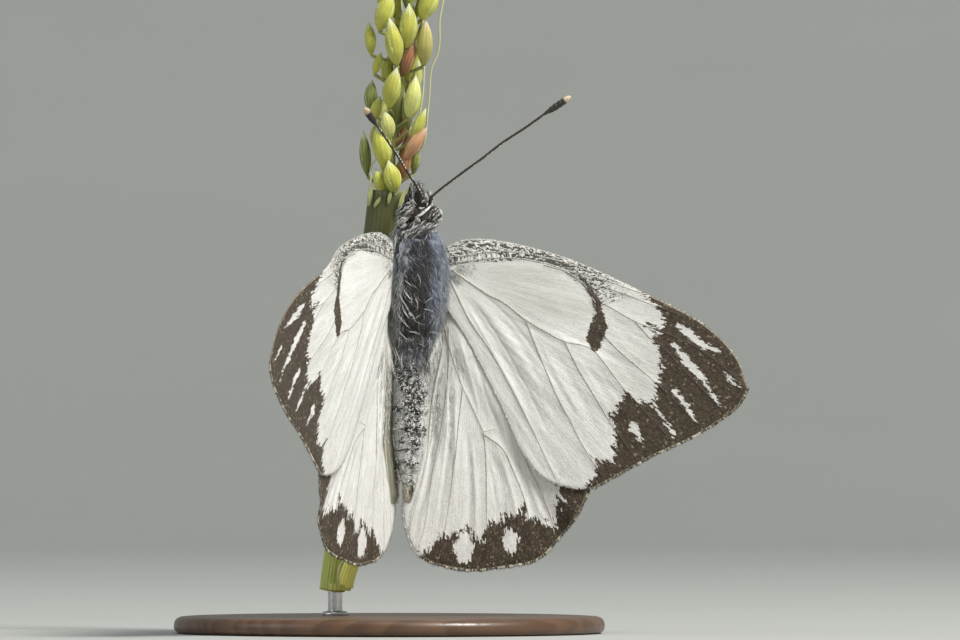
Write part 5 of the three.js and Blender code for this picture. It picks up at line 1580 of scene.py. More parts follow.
# Strokes of hair seen in the photo: how many hairs, how wide the stroke is (photo points), how long a hair is against the stroke,
# how far it stands off the skin (mm), shade, and the points of the stroke in the photo
STROKES = [
    # head: the white line that runs down from the right feeler over the crown, and its hook
    (30, 1.0, .40, .16, "white", [(433.5, 200.5), (431, 205), (426, 210), (421, 214.5), (414, 217.5)]),
    (20, 1.4, .55, .16, "white", [(414.5, 217), (417.5, 219), (418.5, 222.5), (421.5, 222.8)]),
    (7, .8, .7, .12, "white", [(418.4, 207), (421.5, 209), (424.5, 207.6)]),
    (9, 1.5, .7, .20, "white", [(412.5, 199.8), (415.5, 201), (417.5, 204)]),
    (5, .6, .8, .14, "white", [(424.5, 203), (425.5, 200), (428, 199.2)]),
    (5, .6, .8, .14, "white", [(425, 203.5), (427.5, 204.2), (429, 202)]),
    (4, .6, .8, .10, "white", [(409, 205.5), (411.5, 203.5), (413.5, 204)]),
    (4, .6, .8, .10, "ink", [(426, 202.5), (427, 201.5)]),
    (7, .7, .6, .08, "white", [(438.6, 208), (440.0, 212), (440.4, 217)]),
    (4, .6, .7, .08, "white", [(438.6, 221.5), (440, 219.5), (440.4, 217.5)]),
    # spikes of the brow
    (8, .6, .9, .30, "white", [(417.5, 199), (415.5, 191), (414.3, 184)]),
    (6, .6, .9, .32, "white", [(419, 199), (417.8, 191), (416.4, 184)]),
    (6, .5, .9, .28, "white", [(420.5, 202), (421.8, 194), (423.2, 186)]),
    (8, .6, .9, .28, "white", [(421.5, 204), (424, 196), (427.2, 189)]),
    (3, .4, .9, .24, "white", [(424.5, 205), (427.5, 199), (431, 194.5)]),
    (5, .6, .9, .24, "white", [(411, 204), (411.5, 197.5), (413, 191)]),
    (12, 1.4, .9, .27, "ink", [(418.5, 201), (420.2, 193), (419.8, 185.5)]),
    (12, 1.6, .9, .25, "ink", [(423, 203), (425.5, 197), (427.5, 192.5)]),
    (8, 1.4, .9, .27, "ink", [(414, 202), (413.6, 196), (415, 189)]),
    # white patch behind the left eye with its dark hollow
    (48, 1.7, .45, .24, "white", [(400.5, 227.5), (401, 222.5), (404, 218.8), (409.5, 217.0)]),
    (18, 1.2, .5, .24, "white", [(400.5, 229), (405, 227.8), (410.5, 224.5)]),
    (20, 1.5, .5, .27, "ink", [(406.5, 225.0), (407.8, 222.4), (409.8, 220.4)]),
    (8, .8, .7, .22, "white", [(412, 222.5), (415, 221), (418.5, 222.2)]),
    # thorax: a few long pale hairs that cross the dark back, down to the right
    (3, .6, .9, .30, "pale", [(399, 292), (403, 300), (409, 309), (411, 317)]),
    (2, .6, .9, .30, "pale", [(405, 291), (409, 297), (413, 301)]),
    (3, .7, .9, .30, "pale", [(396.5, 306), (400, 315), (407, 323), (414, 328)]),
    (2, .6, .9, .28, "pale", [(408, 310), (413, 315), (416, 322)]),
    (2, .6, .9, .28, "pale", [(411, 318), (415, 317), (421, 311)]),
    (3, .7, .9, .28, "pale", [(396, 318), (399, 328), (405, 337), (413, 341)]),
    (3, .7, .9, .26, "pale", [(403, 326), (411, 331), (421, 335.5)]),
    (2, .6, .9, .26, "pale", [(402, 302), (404, 309), (408, 315), (411, 320)]),
    (2, .6, .9, .26, "pale", [(409, 312), (412.5, 316.5)]),
    (2, .6, .9, .26, "pale", [(404, 280), (409, 283.5), (413, 287)]),
    (2, .6, .9, .26, "frost", [(416, 272), (420, 281), (419, 290)]),
    (2, .6, .9, .26, "frost", [(422, 309), (428, 309.5), (432, 313)]),
    (2, .6, .9, .26, "frost", [(422.5, 305), (427, 299), (433, 296.5)]),
    (3, .7, .9, .24, "pale", [(392.5, 292), (394, 304), (397, 316), (402, 327)]),
    (2, .6, .9, .24, "pale", [(396, 296), (397, 308), (401, 318)]),
    (2, .6, .9, .24, "pale", [(393, 312), (395.5, 324), (400, 336), (407, 346)]),
    (2, .6, .9, .24, "pale", [(414, 296), (418, 303), (416, 311)]),
    (2, .6, .9, .24, "umber", [(411, 300), (417, 306), (424, 309)]),
    (2, .6, .9, .22, "frost", [(424, 332), (431, 330), (437, 333)]),
    (8, 1.3, .55, .15, "white", [(389.2, 298), (387.8, 314), (387.6, 332), (389, 349)]),
    # painted shadow: this line of ink hairs along the left edge of the thorax stands in for the shade between the body
    # and the left wing
    (7, 1.2, .55, .15, "ink", [(392, 298), (390.4, 316), (390.2, 334), (392, 350)]),
    # left flank: wavy upright stripes
    (22, 1.0, .45, .22, "ink", [(398.4, 236), (399.2, 246), (397.6, 258), (399.5, 268), (397.5, 280)]),
    (12, 1.0, .45, .22, "white", [(396.2, 236), (397.0, 250), (395.6, 262), (397, 274)]),
    (16, 1.2, .45, .20, "frost", [(401.2, 240), (402.0, 250), (400.4, 259), (402, 270)]),
    (10, 1.0, .5, .20, "ink", [(403.4, 252), (402.8, 262), (404.2, 272), (402.6, 284)]),
    (9, 1.0, .5, .16, "white", [(395, 258), (395.8, 270), (394.9, 284), (396, 296)]),
    (7, 1.0, .6, .16, "frost", [(403.5, 240), (404.5, 250), (403, 260)]),
    (4, .7, .6, .16, "frost", [(409, 241), (413, 240.5), (416, 241.5), (422, 241)]),
    (6, .8, .6, .16, "frost", [(412, 243), (410, 249), (405.5, 254), (402, 259)]),
    (6, .8, .6, .16, "ink", [(407, 247), (404.8, 254), (403.5, 262)]),
    # hair that sweeps from the left wing base over the front of the abdomen
    (3, .8, .9, .24, "white", [(391.5, 297), (389.8, 312), (390, 330), (392, 346)]),
    (3, .8, .9, .24, "white", [(390.5, 322), (393.5, 338), (399, 355), (404, 374)]),
    (3, .8, .9, .24, "white", [(390.0, 328), (391.5, 345), (395, 362), (401, 381)]),
    (2, .8, .9, .24, "white", [(390.5, 345), (393, 360), (397, 375), (401, 388)]),
    (2, .6, .9, .24, "pale", [(392, 318), (397, 332), (401, 341), (402, 350)]),
    (2, .6, .9, .24, "pale", [(402.5, 350), (402.6, 362), (404, 374)]),
    (2, .8, .9, .22, "white", [(390.5, 360), (392.5, 376), (394.5, 392), (397, 402)]),
    (2, 1.2, .6, .14, "frost", [(403, 340), (408, 338.5), (413, 341), (418, 339.5), (421, 341.5)]),
    (2, .6, .9, .22, "frost", [(407, 350), (411, 349), (413, 352)]),
    (2, .6, .9, .22, "frost", [(417, 343), (421, 345), (425, 348)]),
    # loose hair of the left wing base in front of the strip of hindwing
    (3, .7, .9, .12, "white", [(386, 408), (388, 414), (391, 420)]),
    (3, .7, .9, .12, "white", [(387, 426), (390.5, 432), (393, 440)]),
    # abdomen: dark waist of a segment and marks near the tip
    (9, .6, .45, .05, "ink", [(393.5, 449.5), (398, 451), (404, 449.5), (409, 448.5), (415, 449)]),
    (5, .6, .8, .05, "ink", [(405, 452), (408, 449.5), (410.5, 447.5)]),
    (5, .6, .8, .05, "ink", [(411.5, 450), (413.5, 453), (415.5, 455.5)]),
    (6, .8, .8, .05, "umber", [(409, 462), (412, 464.5), (416, 465.5)]),
    (5, .8, .8, .05, "umber", [(410, 468), (413, 466), (412, 470)]),
    (5, .8, .8, .05, "umber", [(396.5, 460), (398.5, 465), (397.5, 472)]),
    (6, .8, .8, .05, "ink", [(394, 411.5), (397, 407), (400, 404)]),
    (5, .8, .8, .05, "ink", [(396, 406.5), (398.5, 410), (401, 411.5)]),
    (6, .6, .8, .05, "ink", [(398, 432), (401, 430), (405, 427.3)]),
    (4, .6, .8, .05, "ink", [(412, 414), (418, 412.5), (425, 409.5)]),
    (5, .7, .5, .05, "ink", [(414, 434), (415.5, 440), (414.5, 446), (416, 450)]),
    (10, 1.2, .5, .04, "ink", [(411.2, 484), (412.4, 490), (410.5, 500)]),
    (6, .8, .5, .04, "umber", [(403, 483.5), (407, 484.5), (411, 485)]),
]
# Fields of slanting hairs seen in the photo: outline, slant up to the right (degrees), spacing of the stripes (photo points),
# length of a hair (photo points), how many, share of white, how far they stand off (mm)
FIELDS = [
    ([(397, 210), (401, 205), (407, 200), (413, 202), (414, 207), (411, 213), (404, 219), (397.5, 221)], 33, 3.1, (4, 9), 330, .42, .07),
    ([(430, 213), (434, 209), (438, 207.5), (440.2, 212), (440.4, 219), (436, 224), (430, 222)], 50, 2.7, (3, 6), 130, .46, .06),
    ([(404, 233), (410, 225), (421, 223), (430, 223), (434.5, 224), (434, 227), (429, 231), (420, 235), (408, 237)], 36, 3.9, (4, 8.5), 600, .25, .14),
    ([(398, 233), (400, 229), (406, 229), (408, 234), (402, 240)], 20, 3.6, (3, 6), 70, .15, .12),
    ([(399, 236), (405, 231), (413, 236), (410, 246), (402, 252), (398, 250)], 58, 3.2, (6, 12), 80, .16, .14),
]
# Clusters of curled scales over the abdomen: middle and half sizes (photo points), dark ones, white ones
CURLS = [
    (409, 384, 10, 6.0, 40, 16), (415, 395, 9, 6.0, 34, 22), (411, 405, 9, 5, 34, 14), (397.5, 408, 4, 4, 11, 3),
    (415, 414, 9, 4.0, 18, 12), (413, 422, 6, 4.5, 12, 8), (412.5, 430, 7, 4.5, 30, 12), (422.5, 430, 2.5, 3.5, 6, 2),
    (414.5, 442, 3.2, 7.5, 16, 10), (402, 442, 6, 5, 4, 5), (411, 463, 5, 5, 10, 8), (398.5, 466, 3, 6, 6, 4), (407, 372, 12, 9, 30, 10),
    (406, 478, 7, 6, 7, 8), (401, 424, 6, 8, 4, 7), (420, 400, 4, 14, 6, 8),
]
SHADES = dict(white=[(WHITE, .85), (ASH, .15)], frost=[(vec(.50, .53, .60), .8), (ASH, .2)], ink=[(INK, .9), (UMBER, .1)],
              umber=[(UMBER * 1.1, .8), (vec(.16, .12, .08), .2)], pale=[(PALE, .8), (ASH, .2)])


def shade_of(name, n, rnd):
    colours, chance = zip(*SHADES[name])
    return np.asarray(colours)[rnd.choice(len(colours), n, p=chance)] * rnd.uniform(0.8, 1.12, n)[:, None]


def stroke_coat(skin, material):
    """Single hairs along lines seen in the photo, laid on the surface that faces its camera."""
    rnd = np.random.default_rng(91)
    parts = []
    m = 6
    for count, wide, part, off, shade, points in STROKES:
        line = even(points, 40, 200)
        start = rnd.uniform(0, 1 - part, count) if part < 1 else np.zeros(count)
        t = start[:, None] + part * rnd.uniform(0.8, 1.0, count)[:, None] * np.linspace(0, 1, m)[None]
        at = np.stack([np.interp(t * 39, np.arange(40), line[:, k]) for k in (0, 1)], -1)
        at = at + rnd.normal(0, wide * 0.5, (count, 1, 2)) + rnd.normal(0, 0.25, (count, 1, 2)) * np.linspace(0, 1, m)[None, :, None] ** 2
        p, n = skin.front(at.reshape(-1, 2))
        p, n = p.reshape(count, m, 3), n.reshape(count, m, 3)
        # even out the surface under one hair
        for _ in range(2):
            p[:, 1:-1] = (p[:, :-2] + 2 * p[:, 1:-1] + p[:, 2:]) / 4
        s = np.linspace(0, 1, m)[None, :, None]
        rise = off * (0.35 + 0.9 * np.sin(math.pi * np.clip(s * 0.75, 0, 1))) * rnd.uniform(0.6, 1.25, count)[:, None, None]
        path = p + n * np.where(s == 0, 0.0, rise)
        col = shade_of(shade, count, rnd)
        thick = 1.35 if count > 12 else 1.0
        parts.append((strands(path, thick * rnd.uniform(0.050, 0.078, count), unit(n.mean(1))), col, unwrap(p[:, 0])))
    # fields of stripes
    s = np.linspace(0, 1, m)
    for poly, slant, gap, size, count, share, off in FIELDS:
        poly = np.asarray(poly, float)
        at = rnd.uniform(poly.min(0), poly.max(0), (count * 4, 2))
        at = at[inside(at, poly)][:count]
        k = len(at)
        a = np.radians(slant) + rnd.normal(0, 0.13, k)
        across = at[:, 0] * math.sin(math.radians(slant)) + at[:, 1] * math.cos(math.radians(slant))
        wave = noise(np.c_[at / 7.0, 0 * across], 1.0, 97)
        phase = (across / gap + 1.1 * wave) % 1.0
        white = (phase < share) & (rnd.uniform(0, 1, k) < 0.85)
        length = rnd.uniform(*size, k)
        bend = rnd.normal(0, 0.25, k)
        turn_ = a[:, None] + bend[:, None] * (s[None] - 0.5)
        step_ = length[:, None] / (m - 1)
        path2 = np.stack([at[:, :1] + (np.cumsum(np.cos(turn_), 1) - 0.5 * m) * step_, at[:, 1:] - (np.cumsum(np.sin(turn_), 1) - 0.5 * m) * step_], -1)
        p, n = skin.front(path2.reshape(-1, 2))
        p, n = p.reshape(k, m, 3), n.reshape(k, m, 3)
        for _ in range(2):
            p[:, 1:-1] = (p[:, :-2] + 2 * p[:, 1:-1] + p[:, 2:]) / 4
        rise = off * (0.25 + 0.9 * np.sin(math.pi * np.clip(s * 0.75, 0, 1)))[None, :, None] * rnd.uniform(0.6, 1.3, k)[:, None, None]
        path = p + n * rise
        ok = np.linalg.norm(np.diff(p, axis=1), axis=2).max(1) < 0.45
        col = np.where(white[:, None], WHITE, np.where((rnd.uniform(0, 1, k) < 0.85)[:, None], INK, UMBER * 1.4)) * rnd.uniform(0.8, 1.1, k)[:, None]
        parts.append((strands(path[ok], rnd.uniform(0.042, 0.066, k)[ok], unit(n[ok].mean(1))), col[ok], unwrap(p[ok][:, 0])))
    # curled scales in clusters over the abdomen
    for cx, cy, rx, ry, dark, light in CURLS:
        k = dark + light
        at = rnd.uniform(-1, 1, (k * 3, 2))
        at = at[(at ** 2).sum(1) < 1][:k] * vec(rx, ry) + vec(cx, cy)
        k = len(at)
        a = rnd.uniform(0, 2 * math.pi, k)[:, None] + (rnd.choice([-1, 1], k) * rnd.uniform(0.8, 3.2, k))[:, None] * s[None]
        step_ = rnd.uniform(2.8, 6.2, k)[:, None] / (m - 1)
        path2 = np.stack([at[:, :1] + (np.cumsum(np.cos(a), 1)) * step_, at[:, 1:] + (np.cumsum(np.sin(a), 1)) * step_], -1)
        p, n = skin.front(path2.reshape(-1, 2))
        p, n = p.reshape(k, m, 3), n.reshape(k, m, 3)
        path = p + n * (0.04 + 0.11 * np.sin(math.pi * s * 0.8))[None, :, None]
        ok = np.linalg.norm(np.diff(p, axis=1), axis=2).max(1) < 0.35
        col = np.where((np.arange(k) < dark)[:, None], INK * 0.42, WHITE * 1.10) * rnd.uniform(0.8, 1.1, k)[:, None]
        parts.append((strands(path[ok], rnd.uniform(0.085, 0.13, k)[ok], unit(n[ok].mean(1))), col[ok], unwrap(p[ok][:, 0])))
    coat_piece("coat_strokes", parts, material)


def abdomen_coat(skin, material):
    m = skin.mid
    leg, palp, head, belly, _ = part_weights(m)
    dense = smooth(-5.2, -6.2, m[:, 2])
    parts = []
    for layer in (0, 1):
        p, n, rnd = skin.scatter(9500, dense, 26 + 50 * layer)
        phi, z = round_body(p), p[:, 2]
        d = lay(n, np.stack([rnd.normal(0, 0.22, len(p)), rnd.normal(0, 0.12, len(p)), -np.ones(len(p))], 1))
        ground = markings(p)
        bunch = noise(p * vec(1, 1, 0.7), 0.22, 54 + layer)
        col = ground * (0.80 + 0.60 * bunch)[:, None] * rnd.uniform(0.85, 1.15, len(p))[:, None]
        pale = rnd.uniform(0, 1, len(p)) < 0.22
        col = np.where(pale[:, None], blend(col, WHITE, 0.55), col)
        # ink scales in clusters on the back
        mid = np.exp(-((phi + 6) / 30) ** 2)
        spot = noise(p * vec(1, 1, 0.8), 0.26, 52)
        ink = (spot > 0.80 - 0.10 * mid) & (np.abs(phi) < 80) & (z > -14.9) & (rnd.uniform(0, 1, len(p)) < 0.2 + 0.5 * mid)
        col = np.where(ink[:, None], INK * 1.2, col)
        parts.append((tufts(p, n, d, rnd.uniform(0.16, 0.28, len(p)), rnd.uniform(0.06, 0.10, len(p)), rnd.uniform(0.05, 0.24, len(p)), 0.5,
                            rings=(0.0, 0.6), flat=0.3, seed=9 + layer), col, unwrap(p)))
    # loose hairs: dense where the thorax ends, thin along the sides
    w = dense * (1.4 * smooth(-9.5, -6.5, m[:, 2]) + 0.25 * smooth(60, 90, np.abs(round_body(m))) + 0.10)
    p, n, rnd = skin.scatter(3800, w, 27)
    phi, z = round_body(p), p[:, 2]
    d = lay(n, np.stack([rnd.normal(0.1, 0.4, len(p)), rnd.normal(0, 0.2, len(p)), -np.ones(len(p))], 1))
    front = smooth(-9.0, -7.0, z)
    r = rnd.uniform(0, 1, len(p))
    dark = 0.55 * front * smooth(80, 50, np.abs(phi + 5))
    col = np.where((r < dark)[:, None], UMBER * 0.9, np.where((r < 0.75)[:, None], ASH, WHITE)) * rnd.uniform(0.8, 1.15, len(p))[:, None]
    col = np.where((np.abs(phi) > 110)[:, None], CREAM, col)
    parts.append((tufts(p, n, d, rnd.uniform(0.3, 0.6, len(p)) * (1 + 0.4 * front), rnd.uniform(0.030, 0.046, len(p)), rnd.uniform(0.12, 0.38, len(p)), 0.75,
                        sway=rnd.normal(0, 0.25, len(p)), seed=10), col, unwrap(p)))
    # brush at the tip
    w = smooth(-15.3, -15.8, m[:, 2])
    p, n, rnd = skin.scatter(700, w, 28)
    d = lay(n, np.stack([rnd.normal(0, 0.16, len(p)), rnd.normal(0, 0.16, len(p)), -np.ones(len(p))], 1))
    r = rnd.uniform(0, 1, len(p))
    col = np.where((r < 0.8)[:, None], CREAM * 1.05, vec(0.24, 0.20, 0.13)) * rnd.uniform(0.8, 1.1, len(p))[:, None]
    parts.append((tufts(p, n, d, rnd.uniform(0.16, 0.30, len(p)), rnd.uniform(0.035, 0.06, len(p)), rnd.uniform(0.03, 0.15, len(p)), 0.8, seed=11), col, unwrap(p)))
    coat_piece("coat_abdomen", parts, material)


def leg_coat(skin, material):
    m = skin.mid
    leg, palp, head, belly, go = part_weights(m)
    p, n, rnd = skin.scatter(2600, leg * (1 - 0.5 * smooth(1.6, 2.4, go)), 29)
    best = np.full(len(p), 9.0)
    down = np.zeros_like(p)
    reach = np.zeros(len(p))
    for s in (1, -1):
        for which in ("fore", "mid", "hind"):
            for j, line in enumerate(leg_lines(which, s)):
                c = curve(line, np.linspace(0, 1, 14))
                for i in range(len(c) - 1):
                    d, _ = far(p, c[i:i + 2])
                    k = d < best
                    best[k] = d[k]
                    down[k] = c[i + 1] - c[i]
                    reach[k] = j + i / 13
    d = lay(n, unit(down) + rnd.normal(0, 0.15, p.shape))
    r = rnd.uniform(0, 1, len(p))
    pale = np.where(reach < 1.0, 0.75, np.where(reach < 2.0, 0.55, 0.25))
    col = np.where((r < pale)[:, None], blend(PALE, CREAM, 0.4), vec(0.10, 0.085, 0.065)) * rnd.uniform(0.8, 1.15, len(p))[:, None]
    size = np.where(reach < 1.0, 0.36, np.where(reach < 2.0, 0.24, 0.13)) * rnd.uniform(0.7, 1.3, len(p))
    at = unwrap(p)
    parts = [(tufts(p, n, d, size, rnd.uniform(0.04, 0.07, len(p)) * np.where(reach > 2, 0.7, 1), rnd.uniform(0.08, 0.4, len(p)), 0.6, rings=(0.0, 0.5), seed=12), col, at)]
    coat_piece("coat_legs", parts, material)


def wing_base_coat(side, material):
    """Hair that sweeps from the thorax over the roots of the wings."""
    SIDE[0] = side
    rnd = np.random.default_rng(60 + (side > 0))
    parts = []
    for fore, count in ((True, 1500), (False, 2800)):
        r = rnd.uniform(0, 1, count) ** 1.5
        if fore:
            th = rnd.uniform(-80, 42, count) * DEG
            p = np.stack([-0.1 + r * 1.7 * np.cos(th), -0.55 + r * 2.3 * np.sin(th)], 1)
            ok = (p[:, 1] < 1.35 - 0.05 * p[:, 0]) & (p[:, 1] > -2.5) & (p[:, 0] > -0.25)
        else:
            p = np.stack([rnd.uniform(-1.1, 1.7, count), rnd.uniform(-13.5, -2.2, count)], 1)
            near = smooth(1.9, 0.0, p[:, 0] - 0.10 * (p[:, 1] + 8)) * smooth(-14.0, -9.0, p[:, 1])
            ok = rnd.uniform(0, 1, count) < near
        p = p[ok]
        k = len(p)
        h = (fore_height if fore else hind_height)(p[:, 0], p[:, 1])
        root = on_wing(fore, side, p[:, 0], p[:, 1], h + 0.03)
        up = unit(on_wing(fore, side, p[:, 0], p[:, 1], h + 1.0) - root)
        if fore:
            dd = unit(p - vec(-1.2, 0.6)) + rnd.normal(0, 0.18, p.shape)
            dd[:, 1] -= 0.35 * (p[:, 1] < 0)
        else:
            dd = np.stack([0.10 + rnd.normal(0, 0.10, k) + 0.12 * p[:, 0], -np.ones(k)], 1)
        dd = unit(dd)
        tip = on_wing(fore, side, p[:, 0] + 0.1 * dd[:, 0], p[:, 1] + 0.1 * dd[:, 1], h + 0.03)
        along = unit(tip - root)
        tone = rnd.uniform(0, 1, k)
        if fore:
            far_ = np.hypot(p[:, 0] + 0.2, 0.35 * (p[:, 1] + 0.8))
            blue = 0.6 * smooth(0.42, 0.10, far_)[:, None]
            col = np.where((tone < 0.16 - 0.12 * far_)[:, None], vec(0.16, 0.16, 0.17), np.where((tone < 0.55 - 0.3 * far_)[:, None], vec(0.50, 0.505, 0.50), vec(0.66, 0.655, 0.62)))
            col = col * (1 - blue) + BLUE * 1.3 * blue
            size = rnd.uniform(0.35, 0.8, k) * (1 - 0.35 * np.clip(far_, 0, 1))
        else:
            col = np.where((tone < 0.08)[:, None], vec(0.34, 0.335, 0.30), np.where((tone < 0.36)[:, None], vec(0.58, 0.575, 0.545), WHITE * 0.97))
            size = rnd.uniform(0.6, 1.5, k) * smooth(-14.5, -8, p[:, 1] - 2)
            size = np.maximum(size, 0.35)
        col = col * rnd.uniform(0.85, 1.1, k)[:, None]
        at = (p - [-2.6, -21.6]) / 24.0 * [0.48, 0.98] + ([0.01, 0.01] if fore else [0.51, 0.01])
        parts.append((tufts(root, up, along, size, rnd.uniform(0.030, 0.050, k), rnd.uniform(0.03, 0.20, k), 0.8, seed=61), col, at))
    coat_piece(f"coat_wingbase_{'right' if side > 0 else 'left'}", parts, material)


# ------------------------------------------------ eyes, feelers and tongue

def eye(side):
    """A faceted eye: fine domes in a hexagonal net over an egg."""
    hi, wide = 122, 210
    v, f = ball((0, 0, 0), (1, 1, 1), wide, hi)
    # poles along the outward axis, so the net is even where it shows
    v = v[:, [2, 0, 1]] * vec(side, 1, 1)
    th = np.arccos(np.clip(np.abs(v[:, 0]), 0, 1))
    az = np.arctan2(v[:, 2], v[:, 1])
    # equal-area net
    rr = np.sqrt(2) * np.sin(th / 2) * 1.0
    a, b = rr * np.cos(az) * 21, rr * np.sin(az) * 21
    q, r = a, (b - a / math.sqrt(3) * 0) * 2 / math.sqrt(3)
    row = np.round(r)
    off = (row % 2) * 0.5
    da = (q - off) - np.round(q - off)
    db = (r - row) * math.sqrt(3) / 2
    dome = np.exp(-(da ** 2 + db ** 2) / 0.10)
    p = v * (EYE["radii"] * 0.985 + 0.011 * dome[:, None]) + EYE["centre"] * vec(side, 1, 1)
    b_ = Build()
    b_.add(p, outward(p, f), eyepos=v * vec(side, 1, 1), dome=dome)
    return b_


def eye_look():
    m = Look("eye")
    p = m.vector("eyepos")
    s = m.split(p)
    n = m.noise(p, 2.2, 3.0, 0.55)
    fine = m.noise(p, 14.0, 2.0, 0.5)
    spots = m.cells(m.scale(p, (2.6, 2.6, 2.6)), 1.0)
    color = m.mix(m.step(n, 0.3, 0.7), (0.016, 0.012, 0.009), (0.046, 0.036, 0.026))
    color = m.mix(m.mul(m.step(spots["Distance"], 0.34, 0.16), 0.6), color, (0.008, 0.007, 0.006))
    rim = m.step(m.add(s[0], m.mul(m.sub(fine, 0.5), 0.10)), -0.30, -0.42)
    color = m.mix(m.mul(rim, 0.25), color, (0.10, 0.085, 0.065))
    color = m.dim(color, m.step(m.value("dome"), 0.1, 0.9, 0.6, 1.35, "LINEAR"))
    return m.set(color=color, rough=m.step(fine, 0.2, 0.8, 0.36, 0.52, "LINEAR"), spec=0.22)


def antenna(name, side):
    root = ANTENNA_ROOT * vec(side, 1, 1)
    reach = ANTENNA[name]
    ts = [0, 0.22, 0.5, 0.75, 1]
    pts = [root + reach * t + vec(0, 0, 0.42 * 2.6 * t * (1 - t) ** 1.3) for t in ts]
    pts = [root - vec(side * 0.0, -0.12, 0.42)] + pts
    m = 420
    p = even(pts, m)
    k = np.linspace(0, 1, m)
    # a slight unevenness in the curve
    wob = np.stack([np.sin(k * 17 + side) * 0.02, np.cos(k * 13) * 0.02, np.sin(k * 23 + 2 * side) * 0.02], 1) * smooth(0.05, 0.3, k)[:, None]
    p = p + wob
    seg = (k * 34) % 1.0
    ring = 1 + 0.10 * np.sin(math.pi * seg) - 0.10 * np.exp(-((seg - 1) / 0.06) ** 2) - 0.10 * np.exp(-(seg / 0.06) ** 2)
    club = smooth(0.80, 0.90, k) * (1 - smooth(0.965, 1.0, k) * 0.75)
    r = (0.082 + 0.16 * club) * ring
    r = r * (1 + 0.9 * np.exp(-((k - 0.028) / 0.018) ** 2))
    v, f, go, ang = tube(p, np.stack([r, r * (1 - 0.22 * club)], 1), 20)
    b = Build()
    b.add(v, f, apos=np.column_stack([go, np.cos(ang), np.sin(ang)]), bp=v)
    return b


def antenna_look():
    m = Look("antenna")
    a = m.split(m.vector("apos"))
    bp = m.vector("bp")
    seg = m.math("FRACT", m.mul(a[0], 34.0))
    near = m.step(m.math("ABSOLUTE", m.sub(seg, 0.5)), 0.36, 0.22)
    n = m.noise(bp, 2.8, 2.0, 0.6)
    fine = m.noise(bp, 24.0, 2.0, 0.6)
    sidew = m.step(a[2], 0.05, 0.5)
    speck = m.mul(m.mul(near, m.step(n, 0.44, 0.52)), m.step(m.add(a[1], m.mul(m.sub(n, 0.5), 2.6)), 0.25, 0.45))
    shaft = m.step(a[0], 0.88, 0.80)
    black = m.mix(fine, (0.014, 0.012, 0.010), (0.040, 0.034, 0.028))
    color = m.mix(m.mul(speck, m.mul(shaft, 0.95)), black, (0.72, 0.70, 0.62))
    tip = m.step(m.add(a[0], m.mul(m.sub(fine, 0.5), 0.02)), 0.952, 0.975)
    color = m.mix(tip, color, m.mix(m.step(fine, 0.35, 0.65), (0.42, 0.27, 0.12), (0.70, 0.62, 0.48)))
    band = m.mul(m.step(a[0], 0.86, 0.90), m.sub(1.0, tip))
    color = m.mix(m.mul(band, m.mul(m.step(a[1], 0.3, 0.8), 0.5)), color, (0.20, 0.13, 0.07))
    return m.set(color=color, rough=m.step(fine, 0.2, 0.8, 0.35, 0.55, "LINEAR"), spec=0.45, normal=m.bump(fine, 0.00002, 0.5))


def proboscis():
    """The coiled tongue between the palps."""
    turns = 3.2
    m = 300
    k = np.linspace(0, 1, m)
    th = -0.6 + k * turns * 2 * math.pi
    r = 0.50 * (1 - 0.72 * k)
    p = np.stack([0.05 * np.sin(k * 3), 1.18 + np.sin(th) * r, 4.02 + np.cos(th) * r], 1)
    start = even([(0, 0.62, 3.5), (0, 0.75, 3.75), tuple(p[0])], 14)[:-1]
    p = np.vstack([start, p])
    k = np.linspace(0, 1, len(p))
    rr = (0.088 - 0.045 * k) * (1 + 0.05 * np.sin(k * 420))
    v, f, go, ang = tube(p, rr, 14, hint=(1, 0, 0))
    b = Build()
    b.add(v, f, apos=np.column_stack([go, np.cos(ang), np.sin(ang)]), bp=v)
    return b


def proboscis_look():
    m = Look("tongue")
    a = m.split(m.vector("apos"))
    fine = m.noise(m.vector("bp"), 18.0, 3.0, 0.6)
    color = m.mix(m.step(fine, 0.3, 0.7), (0.045, 0.028, 0.016), (0.10, 0.065, 0.035))
    color = m.mix(m.mul(m.step(m.math("ABSOLUTE", a[1]), 0.25, 0.05), 0.7), color, (0.02, 0.013, 0.009))
    return m.set(color=color, rough=m.step(fine, 0.2, 0.8, 0.28, 0.45, "LINEAR"), spec=0.5, normal=m.bump(fine, 0.00001, 0.4))

# -------------------------------------------------------------------- perch

STEM_LOW, STEM_TOP = -23.4, 4.6
STEM_Y, STEM_LEAN = 4.71, 7.2 * DEG


def stem_axis(z):
    z = np.asarray(z, float)
    return np.stack([0 * z, STEM_Y - math.tan(STEM_LEAN) * z, z], -1)


def world_axis(z):
    """The stem's axis at world height z, in world millimetres."""
    lo, hi = place(stem_axis(vec(-24.0)))[0], place(stem_axis(vec(22.0)))[0]
    k = (np.asarray(z, float) - lo[2]) / (hi[2] - lo[2])
    return lo + (hi - lo) * k[..., None]


def culm():
    """The grass stem inside its sheaths, ribbed along its length."""
    m = 160
    z = np.linspace(STEM_LOW, STEM_TOP - 0.1, m)
    p = stem_axis(z)
    low = smooth(-14.5, -18.5, z)
    p = p + (SEEN_RIGHT * -0.20)[None] * low[:, None]
    r = 1.10 - 0.22 * low
    sides = 120
    ribs = lambda g, a: 1 + 0.020 * np.cos(a * 24) + 0.010 * np.cos(a * 53 + 1)
    v, f, go, ang = tube(p, r, sides, hint=tuple(SEEN_BACK), section=ribs)
    ends = (go < 1e-9) | (go > 1 - 1e-9)
    b = Build()
    # painted shade: the tint darkens upwards along the stem, where it lies in shade
    b.add(v, f, stem=np.column_stack([go * 28, ang, 0 * ang]), tint=vec(0.50, 0.55, 0.14) * (1 - 0.5 * smooth(0.2, 0.6, go))[:, None], bp=v)
    return b


